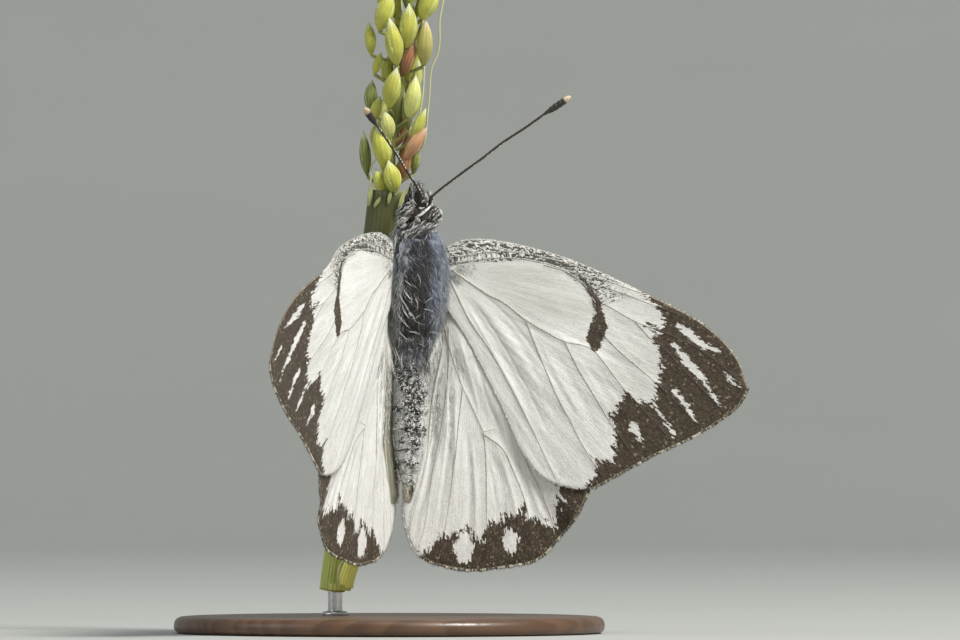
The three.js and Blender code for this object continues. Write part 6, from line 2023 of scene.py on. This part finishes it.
def shell(z, centre, r, a0, half, thick, tint, edge_tint, b, ribs=22, taper=None, sides=56, seed=0):
    """A strip of leaf sheath: part of a tube with real thickness, its two edges pale."""
    m = len(z)
    s = np.linspace(-1, 1, sides)
    half = np.broadcast_to(half, (m,))
    a = a0 + s[None] * half[:, None]
    c = SEEN_BACK[None, None] * np.cos(a)[..., None] + SEEN_RIGHT[None, None] * np.sin(a)[..., None]
    rough = 1 + 0.012 * np.cos(a * ribs) + 0.006 * np.cos(a * ribs * 2.3 + 1)
    edge = np.clip((np.abs(s) - 0.93) / 0.07, 0, 1)[None]
    out = centre[:, None] + c * (np.broadcast_to(r, (m,))[:, None] * rough + 0.02 * edge)[..., None]
    inn = centre[:, None] + c * (np.broadcast_to(r, (m,))[:, None] - thick + 0.02 * edge)[..., None]
    v = np.vstack([out.reshape(-1, 3), inn.reshape(-1, 3)])
    n = m * sides
    g = np.arange(n).reshape(m, sides)
    q = np.stack([g[:-1, :-1], g[:-1, 1:], g[1:, 1:], g[1:, :-1]], -1).reshape(-1, 4)
    loop = np.r_[g[0, :], g[1:, -1], g[-1, -2::-1], g[-2:0:-1, 0]]
    nxt = np.roll(loop, -1)
    rim = np.stack([nxt, loop, loop + n, nxt + n], -1)
    f = outward(v, [q, q[:, ::-1] + n, rim])
    e = np.broadcast_to(edge, (m, sides)).reshape(-1)
    top = np.broadcast_to(smooth(0.97, 1.0, np.linspace(0, 1, m))[:, None], (m, sides)).reshape(-1)
    e = np.maximum(e, top * 0.7)
    col = tint * (1 - e[:, None]) + edge_tint * e[:, None]
    along = np.broadcast_to((z - z[0])[:, None], (m, sides)).reshape(-1)
    ang = a.reshape(-1)
    two = lambda x: np.concatenate([x, x])
    b.add(v, f, stem=np.column_stack([two(along), two(ang), two(e)]), tint=two(col), bp=v)
    return b


def sheaths():
    b = Build()
    pale = vec(0.50, 0.53, 0.25)
    # upper sheath that ends in a mouth under the seed head, with a dark tint that is painted shade
    z = np.linspace(-15.2, STEM_TOP + 0.05, 80)
    shell(z, stem_axis(z), 1.20 + 0.03 * smooth(2, 4.6, z), -0.95, 2.95, 0.07, vec(0.084, 0.086, 0.029), pale * 0.42, b, sides=110)
    # lower sheath round the cut end
    z = np.linspace(STEM_LOW + 0.02, -22.95, 24)
    shell(z, stem_axis(z), 1.07, 2.2, 2.6, 0.08, vec(0.60, 0.60, 0.15), pale * 1.3, b, sides=90)
    # blade that leaves the stem at the lower right; its green is the blade's own, made very bright as painted light
    z = np.linspace(-23.2, -15.4, 90)
    t = (z - z[0]) / (z[-1] - z[0])
    off = 0.42 + 0.78 * smooth(0.0, 0.55, t)
    bow = SEEN_RIGHT[None] * off[:, None] + SEEN_BACK[None] * (0.35 + 0.10 * np.sin(t * 3))[:, None]
    half = 1.10 * (1 - 0.45 * t ** 3) * smooth(-0.02, 0.10, 1.02 - t) ** 0.5
    shell(z, stem_axis(z) + bow - SEEN_BACK[None] * 0.25, 0.78 * (1 - 0.35 * t * t), 0.62, half, 0.07, vec(0.98, 0.95, 0.24), pale * 1.6, b, sides=44)
    v, f, go, ang = strip()
    b.add(v, f, stem=np.column_stack([go * 4, ang, 0 * ang]), tint=np.broadcast_to(vec(0.66, 0.68, 0.30), v.shape), bp=v)
    shell(z, stem_axis(z) + bow - SEEN_BACK[None] * 0.27, 0.60 * (1 - 0.35 * t * t), 0.70, half * 0.8, 0.05, vec(0.58, 0.58, 0.13), pale * 1.2, b, sides=36)
    return b


def strip():
    """The dry, rolled strip of sheath that hangs between the stem and the blade."""
    q = unplace(even([seen(343.0, 561, 1.35), seen(339.6, 567, 1.42), seen(338.0, 574, 1.42), seen(337.8, 581, 1.38), seen(338.4, 587, 1.30)], 40, 200))
    s = np.linspace(0, 1, 40)
    r = 0.055 + 0.04 * np.sin(math.pi * (0.15 + 0.8 * s))
    v, f, go, ang = tube(q, np.stack([r, r * 0.6], 1), 14, hint=tuple(SEEN_RIGHT))
    return v, f, go, ang


def stem_look():
    m = Look("grass_stem")
    s = m.split(m.vector("stem"))
    tint = m.vector("tint")
    bp = m.vector("bp")
    lines = m.join(m.mul(s[0], 0.10), m.mul(s[1], 3.6), 0.0)
    n = m.noise(lines, 3.0, 4.0, 0.6)
    fine = m.noise(m.join(m.mul(s[0], 0.35), m.mul(s[1], 9.0), 0.0), 3.0, 3.0, 0.6)
    blot = m.noise(bp, 0.9, 3.0, 0.55)
    nerve = m.step(m.math("COSINE", m.mul(s[1], 24.0)), 0.2, 0.95)
    color = m.dim(tint, m.mul(m.step(n, 0.28, 0.72, 0.80, 1.20, "LINEAR"), m.step(blot, 0.3, 0.7, 0.90, 1.10, "LINEAR")))
    color = m.mix(m.mul(nerve, 0.45), color, m.dim(tint, 1.55))
    spots = m.cells(m.scale(bp, (7, 7, 2.2)), 1.0)
    color = m.mix(m.mul(m.step(spots["Distance"], 0.14, 0.07), m.mul(m.step(m.split(spots["Color"])[0], 0.80, 0.9), 0.6)), color, (0.10, 0.085, 0.045))
    h = m.add(m.mul(nerve, 0.6), m.add(fine, m.mul(n, 0.5)))
    return m.set(color=color, rough=m.step(fine, 0.2, 0.8, 0.38, 0.58, "LINEAR"), spec=0.4, normal=m.bump(h, 0.00003, 0.5), sheen=0.05)


# spikelets as seen in the photo: foot across, foot up, tip across, tip up (photo points), half width, how far forward of the stem's
# middle in mm, and shade
SEEN = [
    (379, 31, 392, -9, 9.0, .75, 0), (371, 55, 368, 21, 5.6, .2, 0), (397, 66, 389, 17, 8.8, 1.30, 0), (406, 49, 409, 3, 9.0, 1.05, 0),
    (421, 20, 436, -17, 8.8, .7, 0), (424, 66, 426, 19, 8.0, .75, 2), (403, 76, 415, 41, 6.2, .70, 4), (389, 108, 397, 67, 9.0, 1.35, 0),
    (408, 118, 416, 75, 8.0, 1.20, 1), (374, 74, 381, 51, 4.6, .45, 0), (371, 113, 372, 79, 6.6, .1, 3), (373, 122, 380, 95, 5.5, .75, 0),
    (390, 139, 384, 110, 7.0, 1.20, 1), (411, 142, 426, 108, 5.6, .95, 0), (404, 160, 427, 127, 6.6, 1.05, 2), (385, 168, 377, 124, 9.4, .85, 0),
    (367, 176, 363, 130, 5.6, .15, 3), (395, 193, 388, 160, 8.6, 1.30, 0), (408, 130, 404, 92, 5.5, .2, 3), (402, 178, 409, 146, 6.0, .6, 4),
    (384, 196, 375, 168, 6.4, .8, 0), (413, 174, 418, 146, 4.6, .3, 3), (386, 12, 378, -30, 8.0, .2, 0), (409, 2, 413, -42, 8.6, .8, 0),
    (424, -22, 431, -60, 8.0, .3, 0), (396, -8, 392, -50, 8.6, .95, 2), (411, -35, 410, -78, 7.6, .5, 0),
]


def seen(px, py, fore):
    """World place in mm of a photo point, some way forward of the stem's middle."""
    o = vec(0.4, -2.6, 26.04)
    a = (np.asarray(px, float) - 414.4) / 14.4
    z = (259 - np.asarray(py, float)) / 14.4
    p = o + SEEN_RIGHT * a + vec(0, 0, 1) * z
    back = world_axis(vec(p[2]))[0] @ SEEN_BACK + fore
    return p + SEEN_BACK * (back - p @ SEEN_BACK)


GREENS = [vec(0.47, 0.47, 0.068), vec(0.57, 0.57, 0.17), vec(0.42, 0.38, 0.10), vec(0.20, 0.23, 0.050), vec(0.32, 0.125, 0.055), vec(0.54, 0.27, 0.14)]


def spikelet(b, foot, tip, half, tint, twist, seed, tip_tint=None, outward_dir=None):
    """A pointed grain in two overlapping husks with raised nerves."""
    rnd = np.random.default_rng(seed)
    size = np.linalg.norm(tip - foot)
    out = outward_dir if outward_dir is not None else SEEN_BACK
    bowed = (foot + tip) / 2 + unit(out) * 0.10 * size
    shape = [(0, .10), (.05, .30), (.14, .58), (.28, .87), (.44, 1.0), (.6, .94), (.74, .74), (.86, .44), (.94, .20), (1, .03)]
    m, sides = 16, 20
    p = even([foot, bowed, tip], m, 60)
    s = np.linspace(0, 1, m)
    r = half * table(shape, s)
    hint = tuple(np.cross(tip - foot, out) / np.linalg.norm(np.cross(tip - foot, out)))
    nerve = lambda g, a: 1 + 0.028 * np.cos(a * 9) * np.sin(math.pi * g)
    v, f, go, ang = tube(p, np.stack([r, r * 0.82], 1), sides, hint=hint, section=nerve)
    pale = vec(0.66, 0.68, 0.46) if tip_tint is None else tip_tint
    k = smooth(0.72, 1.0, go)[:, None] * 0.9
    b.add(v, f, sp=np.column_stack([go, ang, 0 * go]), tint=tint * (1 - k) + pale * k, bp=v)
    # husks: each hugs the grain on its own side and ends in a point
    for centre, wide, length, grow, shade in ((0.3 + twist, 1.35, 0.93, 1.055, 1.10), (math.pi - 0.5 + twist, 1.55, 0.86, 1.05, 0.95), (1.25 + twist, 0.85, 0.46, 1.11, 1.16)):
        m2, sides2 = 13, 38
        s2 = np.linspace(0.0, length, m2)
        p2 = np.stack([np.interp(s2, s, p[:, i]) for i in range(3)], 1)
        r2 = half * table(shape, s2 * (1.0 if length > 0.6 else 1.0)) + 0.0
        close = 1 - smooth(0.86, 1.0, s2 / length)

        def husk(g, a, centre=centre, wide=wide, grow=grow):
            d = np.abs((a - centre + math.pi) % (2 * math.pi) - math.pi)
            w = wide * (1 - 0.75 * g ** 3)
            on = smooth(w, w - 0.16, d)
            return 0.80 + (grow - 0.80) * on * (1 - 0.5 * smooth(0.97, 1, g)) + 0.015 * np.cos(a * 11) * on

        v, f, go, ang = tube(p2, np.stack([r2, r2 * 0.82], 1), sides2, hint=hint, section=husk)
        d = np.abs((ang - centre + math.pi) % (2 * math.pi) - math.pi)
        w = wide * (1 - 0.75 * go ** 3)
        edge = np.exp(-((d - w + 0.14) / 0.10) ** 2) * smooth(0.05, 0.3, go) * 0.75
        edge = np.maximum(edge, 0.9 * smooth(0.84, 1.0, go))
        col = tint * shade
        b.add(v, f, sp=np.column_stack([go * length, ang, edge]), tint=col * (1 - edge[:, None]) + pale * edge[:, None], bp=v)


def seed_head():
    b = Build()
    rnd = np.random.default_rng(77)
    # stalk of the seed head, with a shallow zigzag
    z0, z1 = 30.2, 46.6
    z = np.linspace(z0, z1, 130)
    p = world_axis(z)
    k = (z - z0) / (z1 - z0)
    p = p + SEEN_RIGHT * (0.10 * np.sin(k * 19))[:, None] + SEEN_BACK * (0.08 * np.cos(k * 15))[:, None]
    v, f, go, ang = tube(p, 0.40 - 0.24 * k, 24, hint=tuple(SEEN_BACK), section=lambda g, a: 1 + 0.05 * np.cos(a * 5))
    b.add(v, f, sp=np.column_stack([go, ang, 0 * go]), tint=np.broadcast_to(vec(0.22, 0.25, 0.07), v.shape), bp=v)

    def stalk(a, foot, r=0.10):
        q = even([a, (a + foot) / 2 + vec(0, 0, -0.06), foot], 12, 40)
        v, f, go, ang = tube(q, r * (1 + 0.4 * np.abs(np.linspace(-1, 1, 12))), 10)
        b.add(v, f, sp=np.column_stack([go, ang, 0 * go]), tint=np.broadcast_to(vec(0.34, 0.36, 0.12), v.shape), bp=v)

    spots = []
    for i, (fx, fy, tx, ty, w, fore, shade) in enumerate(SEEN):
        foot, tip = seen(fx, fy, fore * 0.8), seen(tx, ty, fore)
        tint = GREENS[5 if (fx, fy) == (404, 160) else shade] * rnd.uniform(0.9, 1.1)
        tip_tint = vec(0.62, 0.42, 0.34) if shade == 4 or (fx, fy) == (404, 160) else (vec(0.62, 0.50, 0.40) if shade == 2 else None)
        spikelet(b, foot, tip, w / 14.4, tint, rnd.uniform(-0.7, 0.7), 100 + i, tip_tint, SEEN_BACK + SEEN_RIGHT * rnd.uniform(-0.3, 0.3))
        root = world_axis(vec(foot[2] - rnd.uniform(0.5, 1.0)))[0]
        stalk(root, foot)
        spots.append((foot + tip) / 2)
    # the far side, on the same plan
    for i in range(26):
        z = 31.0 + 0.56 * i
        a = i * 137.5 * DEG + 0.9
        d = -SEEN_BACK * abs(math.cos(a)) * 1.0 + SEEN_RIGHT * math.sin(a)
        if d @ -SEEN_BACK < 0.18:
            d = d - SEEN_BACK * 0.35
        d = unit(d)
        shrink = 1 - 0.30 * (z - 31) / 15
        axis = world_axis(vec(z))[0]
        foot = axis + d * 0.72 * shrink
        tip = world_axis(vec(z + 2.75))[0] + d * rnd.uniform(1.0, 1.45) * shrink + vec(0, 0, rnd.uniform(-0.2, 0.3))
        mid = (foot + tip) / 2
        if min(np.linalg.norm(mid - s) for s in spots) < 0.72:
            continue
        spots.append(mid)
        shade = int(rnd.choice([0, 0, 0, 1, 2, 3, 4], p=[.25, .2, .15, .14, .12, .09, .05]))
        spikelet(b, foot, tip, rnd.uniform(0.5, 0.62) * shrink, GREENS[shade] * rnd.uniform(0.9, 1.1), rnd.uniform(-1, 1), 200 + i, None, d)
        stalk(world_axis(vec(z - 0.8))[0], foot)
    # long pale stalks beside the head
    for rows, r in (([(414, 160, .5), (424, 142, .8), (427.5, 114, .9), (429.5, 92, .9), (431.5, 69, .9), (438, 52, .8), (439.6, 38, .8), (439.8, 19, .8), (443.2, 0, .7), (444.5, -14, .6)], 0.062),
                    ([(409, 148, .6), (418, 120, .9), (422.5, 96, .9), (424.2, 66, .8)], 0.065),
                    ([(371, 196, .9), (370.5, 178, .9), (372, 164, .8), (379, 156, .9)], 0.060),
                    ([(402, -6, 1.0), (401.5, -2, 1.1), (402, 10, 1.1)], 0.05)):
        q = even([seen(*row) for row in rows], 60, 300)
        v, f, go, ang = tube(q, r, 10)
        b.add(v, f, sp=np.column_stack([go, ang, 0 * go + 0.5]), tint=np.broadcast_to(vec(0.60, 0.62, 0.34), v.shape), bp=v)
    spikelet(b, seen(444.5, -14, .6), seen(449, -52, .5), 0.5, GREENS[1], 0.2, 300, None, SEEN_RIGHT)
    # pale torn edges at the mouth of the sheath
    for i, (fx, fy, tx, ty, fore, w) in enumerate([(368, 206, 372, 183, 1.0, .16), (374, 207, 381, 196, 1.15, .13), (399, 212, 404, 190, 1.25, .16), (402, 205, 408, 186, 1.1, .12), (388, 203, 391, 190, 1.3, .12)]):
        foot, tip = seen(fx, fy, fore), seen(tx, ty, fore)
        q = even([foot, (foot + tip) / 2 + SEEN_BACK * 0.08, tip], 16, 60)
        s = np.linspace(0, 1, 16)
        v, f, go, ang = tube(q, np.stack([w * np.sin(math.pi * (0.15 + 0.83 * s)) ** 0.8 + 0.01, 0.035 + 0 * s], 1), 12, hint=tuple(SEEN_RIGHT))
        b.add(v, f, sp=np.column_stack([go, ang, 0 * go + 0.6]), tint=np.broadcast_to(vec(0.46, 0.48, 0.20), v.shape), bp=v)
    return b


def seed_look():
    m = Look("grass_seed")
    s = m.split(m.vector("sp"))
    tint = m.vector("tint")
    bp = m.vector("bp")
    nerve = m.math("COSINE", m.mul(s[1], 11.0))
    lines = m.noise(m.join(m.mul(s[0], 1.2), m.mul(s[1], 5.0), 0.0), 3.0, 3.0, 0.6)
    blot = m.noise(bp, 1.3, 3.0, 0.6)
    fine = m.noise(bp, 11.0, 2.0, 0.6)
    color = m.dim(tint, m.mul(m.step(lines, 0.3, 0.7, 0.86, 1.14, "LINEAR"), m.step(blot, 0.3, 0.7, 0.86, 1.14, "LINEAR")))
    color = m.mix(m.mul(m.step(nerve, 0.70, 1.0), 0.32), color, (0.52, 0.53, 0.24))
    color = m.mix(m.mul(m.step(blot, 0.60, 0.75), 0.35), color, (0.36, 0.20, 0.10))
    h = m.add(m.mul(nerve, 0.5), m.add(fine, lines))
    return m.set(color=color, rough=m.step(fine, 0.2, 0.8, 0.36, 0.56, "LINEAR"), spec=0.42, normal=m.bump(h, 0.00003, 0.5),
                 sub=0.08, sub_scale=0.0005, sheen=0.05)


# -------------------------------------------------------------------- stand

BASE_RADIUS, BASE_HIGH = 15.0, 1.2


def base():
    """A turned disc of dark wood with rounded edges and a shallow bead."""
    prof = [(0.0, 0.0), (14.2, 0.0), (14.72, 0.06), (14.93, 0.22), (15.0, 0.45), (14.98, 0.70), (14.90, 0.92), (14.74, 1.08),
            (14.5, 1.17), (14.2, 1.195), (13.55, 1.20), (13.42, 1.19), (13.32, 1.155), (13.22, 1.19), (13.1, 1.20), (0.0, 1.20)]
    fine = []
    for (r0, z0), (r1, z1) in zip(prof[:-1], prof[1:]):
        n = max(1, int(abs(r1 - r0) / 0.35))
        for i in range(n):
            fine.append((r0 + (r1 - r0) * i / n, z0 + (z1 - z0) * i / n))
    fine.append(prof[-1])
    fine = np.array(fine)[1:-1]
    wide = 240
    a = np.arange(wide) / wide * 2 * math.pi
    v = np.stack([fine[:, :1] * np.cos(a), fine[:, :1] * np.sin(a), np.broadcast_to(fine[:, 1:], (len(fine), wide))], -1).reshape(-1, 3)
    v = np.vstack([v, [0, 0, 0], [0, 0, BASE_HIGH]])
    m = len(fine)
    i, j = np.meshgrid(np.arange(m - 1), np.arange(wide), indexing="ij")
    k = (j + 1) % wide
    q = np.stack([i * wide + j, i * wide + k, (i + 1) * wide + k, (i + 1) * wide + j], -1).reshape(-1, 4)
    j = np.arange(wide)
    k = (j + 1) % wide
    t = np.vstack([np.stack([k, j, np.full(wide, m * wide)], 1), np.stack([(m - 1) * wide + j, (m - 1) * wide + k, np.full(wide, m * wide + 1)], 1)])
    b = Build()
    b.add(v, outward(v, [q, t]), bp=v)
    return b


def base_look():
    m = Look("base_wood")
    p = m.vector("bp")
    warp = m.noise(m.scale(p, (0.05, 0.30, 0.3)), 1.0, 3.0, 0.5)
    s = m.split(p)
    ring = m.add(m.mul(s[1], 0.62), m.mul(warp, 3.4))
    grain = m.math("FRACT", ring)
    band = m.math("MULTIPLY", m.step(grain, 0.0, 0.75), m.step(grain, 1.0, 0.86))
    pore = m.noise(m.scale(p, (0.35, 6.5, 6.5)), 1.6, 4.0, 0.65)
    flecks = m.step(pore, 0.60, 0.70)
    tone = m.noise(m.scale(p, (0.04, 0.12, 0.1)), 1.0, 3.0, 0.5)
    color = m.mix(band, (0.115, 0.058, 0.030), (0.062, 0.030, 0.016))
    color = m.mix(m.mul(tone, 0.5), color, (0.155, 0.085, 0.045))
    color = m.mix(m.mul(flecks, 0.6), color, (0.028, 0.014, 0.009))
    h = m.add(m.mul(flecks, -1.0), m.mul(pore, 0.4))
    return m.set(color=color, rough=m.step(pore, 0.3, 0.7, 0.30, 0.46, "LINEAR"), spec=0.5, normal=m.bump(h, 0.00002, 0.4), coat=0.15, coat_rough=0.2)


def rod():
    """A steel pin with a small foot, from the base into the cut end of the stem."""
    foot = place(stem_axis(vec(STEM_LOW)))[0]
    top = foot[2] + 0.35
    z = np.r_[1.15, 1.2, 1.22, 1.30, 1.38, 1.46, 1.50, np.linspace(1.52, top, 60)]
    r = np.r_[0.86, 0.90, 0.93, 0.93, 0.90, 0.78, 0.60, np.full(60, 0.5)]
    p = np.column_stack([np.full(len(z), foot[0]), np.full(len(z), foot[1]), z])
    v, f, go, ang = tube(p, r, 64)
    b = Build()
    b.add(v, f, bp=v - [foot[0], foot[1], 0], turnat=ang)
    return b


def rod_look():
    m = Look("rod_steel")
    p = m.vector("bp")
    n = m.noise(m.scale(p, (1.0, 1.0, 14.0)), 2.0, 3.0, 0.6)
    cloud = m.noise(p, 1.2, 3.0, 0.5)
    color = m.mix(cloud, (0.54, 0.545, 0.55), (0.66, 0.66, 0.65))
    return m.set(color=color, metal=1.0, rough=m.step(n, 0.3, 0.7, 0.22, 0.38, "LINEAR"), normal=m.bump(n, 0.00001, 0.3))

# ------------------------------------------------------------------- pieces

WING = wing_look()
VEIN = vein_look()
HAIR = hair_look("body_hair")
SCALES = hair_look("abdomen_scales", rough=0.5, spec=0.35)
FRINGE = hair_look("wing_fringe", rough=0.55, spec=0.3, sheen=0.1)

for side, word in ((1, "right"), (-1, "left")):
    make(f"scales_forewing_{word}", rim_direction(wing(True, side, 172, 120)), WING, [f"forewing_{word}"])
    make(f"scales_hindwing_{word}", rim_direction(wing(False, side, 146, 146)), WING, [f"hindwing_{word}"])
    make(f"veins_forewing_{word}", vein_tubes(True, side, 5), VEIN)
    make(f"veins_hindwing_{word}", vein_tubes(False, side, 6), VEIN)
    make(f"fringe_forewing_{word}", fringe(True, side, 15 + side), FRINGE)
    make(f"fringe_hindwing_{word}", fringe(False, side, 35 + side), FRINGE)

skin = Skin()
body = Build()
body.add(skin.v, [skin.q], tint=markings(skin.v), bp=skin.v)
make("skin", body, skin_look(), ["head", "thorax", "abdomen", "palp_right", "palp_left", "foreleg_right", "foreleg_left",
                                              "midleg_right", "midleg_left", "hindleg_right", "hindleg_left"])
thorax_coat(skin, HAIR)
collar_coat(skin, HAIR)
head_coat(skin, HAIR)
abdomen_coat(skin, SCALES)
stroke_coat(skin, HAIR)
leg_coat(skin, HAIR)
EYE_LOOK, ANTENNA_LOOK = eye_look(), antenna_look()
for side, word in ((1, "right"), (-1, "left")):
    wing_base_coat(side, HAIR)
    make(f"faceted_eye_{word}", eye(side), EYE_LOOK, [f"eye_{word}"])
    make(f"feeler_{word}", antenna(word, side), ANTENNA_LOOK, [f"antenna_{word}"])
make("tongue", proboscis(), proboscis_look(), ["proboscis"])

STEM = stem_look()
make("stem_culm", culm(), STEM, ["perch_stem"])
make("stem_sheaths", sheaths(), STEM)
make("seed_head", seed_head(), seed_look(), figure=False)
make("turned_base", base(), base_look(), ["stand_base"], figure=False)
make("steel_pin", rod(), rod_look(), ["stand_rod"], figure=False)


# -------------------------------------------------- backdrop, light, camera

def backdrop():
    """A pale floor that rises into a wall all round; from outside it lets the view through."""
    prof = [(0.0, 0.0), (0.05, 0.0), (0.15, 0.0), (0.30, 0.0), (0.45, 0.0)]
    for i in range(1, 17):
        a = i / 16 * math.pi / 2
        prof.append((0.45 + 0.40 * math.sin(a), 0.40 * (1 - math.cos(a))))
    prof += [(0.86, 0.6), (0.86, 0.85)]
    prof = np.array(prof[1:])
    wide = 128
    a = np.arange(wide) / wide * 2 * math.pi
    v = np.stack([prof[:, :1] * np.cos(a), prof[:, :1] * np.sin(a), np.broadcast_to(prof[:, 1:], (len(prof), wide))], -1).reshape(-1, 3)
    v = np.vstack([v, [0, 0, 0]]) * 1000
    m = len(prof)
    i, j = np.meshgrid(np.arange(m - 1), np.arange(wide), indexing="ij")
    k = (j + 1) % wide
    q = np.stack([i * wide + j, i * wide + k, (i + 1) * wide + k, (i + 1) * wide + j], -1).reshape(-1, 4)
    j = np.arange(wide)
    k = (j + 1) % wide
    t = np.stack([j, k, np.full(wide, m * wide)], 1)
    me = bpy.data.meshes.new("backdrop")
    me.from_pydata((v * MM).tolist(), [], [list(map(int, x)) for x in q[:, ::-1]] + [list(map(int, x)) for x in t])
    me.validate()
    me.shade_smooth()
    m_ = Look("backdrop")
    # faces point inwards and up
    geo = m_.node("NewGeometry")
    clear = m_.node("BsdfTransparent")
    mixer = m_.node("MixShader")
    m_.nt.links.new(geo.outputs["Backfacing"], mixer.inputs[0])
    m_.nt.links.new(m_.bsdf.outputs[0], mixer.inputs[1])
    m_.nt.links.new(clear.outputs[0], mixer.inputs[2])
    m_.nt.links.new(mixer.outputs[0], m_.out.inputs["Surface"])
    n = m_.noise(geo.outputs["Position"], 30.0, 3.0, 0.5)
    m_.set(color=m_.mix(n, (0.40, 0.41, 0.395), (0.425, 0.435, 0.42)), rough=0.85, spec=0.15)
    me.materials.append(m_.mat)
    ob = bpy.data.objects.new("backdrop", me)
    bpy.context.scene.collection.objects.link(ob)
    ob.visible_shadow = False
    # every face should look at the room's middle
    n, c = np.empty(len(me.polygons) * 3), np.empty(len(me.polygons) * 3)
    me.polygons.foreach_get("normal", n)
    me.polygons.foreach_get("center", c)
    away = dots(n.reshape(-1, 3), vec(0, 0, 0.4) - c.reshape(-1, 3)) < 0
    for i in np.flatnonzero(away):
        me.polygons[int(i)].flip()
    return ob


def light(name, azimuth, elevation, distance, size, power, colour, aim=vec(0, -2, 24)):
    from mathutils import Vector
    a, e = azimuth * DEG, elevation * DEG
    d = vec(math.sin(a) * math.cos(e), -math.cos(a) * math.cos(e), math.sin(e))
    lamp = bpy.data.lights.new(name, "AREA")
    lamp.shape = "DISK"
    lamp.size = size
    lamp.energy = power
    lamp.color = colour
    ob = bpy.data.objects.new(name, lamp)
    ob.location = Vector((aim * MM + d * distance).tolist())
    ob.rotation_euler = Vector(d.tolist()).to_track_quat("Z", "Y").to_euler()
    bpy.context.scene.collection.objects.link(ob)
    ob.visible_camera = False
    return ob


backdrop()
light("key", 19, 48, 0.8, 0.24, 8.4, (1.0, 0.975, 0.93))
light("fill", -100, 25, 0.8, 0.6, 1.3, (0.92, 0.96, 1.0))
light("top", -40, 82, 0.8, 0.5, 1.0, (0.97, 0.985, 1.0))

scene = bpy.context.scene
world = bpy.data.worlds.new("studio")
scene.world = world
world.use_nodes = True
world.node_tree.nodes["Background"].inputs[0].default_value = (0.80, 0.86, 0.92, 1)
world.node_tree.nodes["Background"].inputs[1].default_value = 0.26
scene.view_settings.view_transform = "Standard"
scene.view_settings.look = "None"

camera_data = bpy.data.cameras.new("camera")
camera = bpy.data.objects.new("camera", camera_data)
scene.collection.objects.link(camera)
from mathutils import Vector
aim = Vector((4.221 * MM, -5.081 * MM, 21.80 * MM))
back = Vector(SEEN_BACK.tolist())
camera.location = aim + back * 1.2
camera.rotation_euler = back.to_track_quat("Z", "Y").to_euler()
camera_data.sensor_width = 36.0
camera_data.lens = 36.0 * 1200 / 66.667
camera_data.clip_start = 0.05
camera_data.clip_end = 10.0
camera_data.dof.use_dof = False
scene.camera = camera
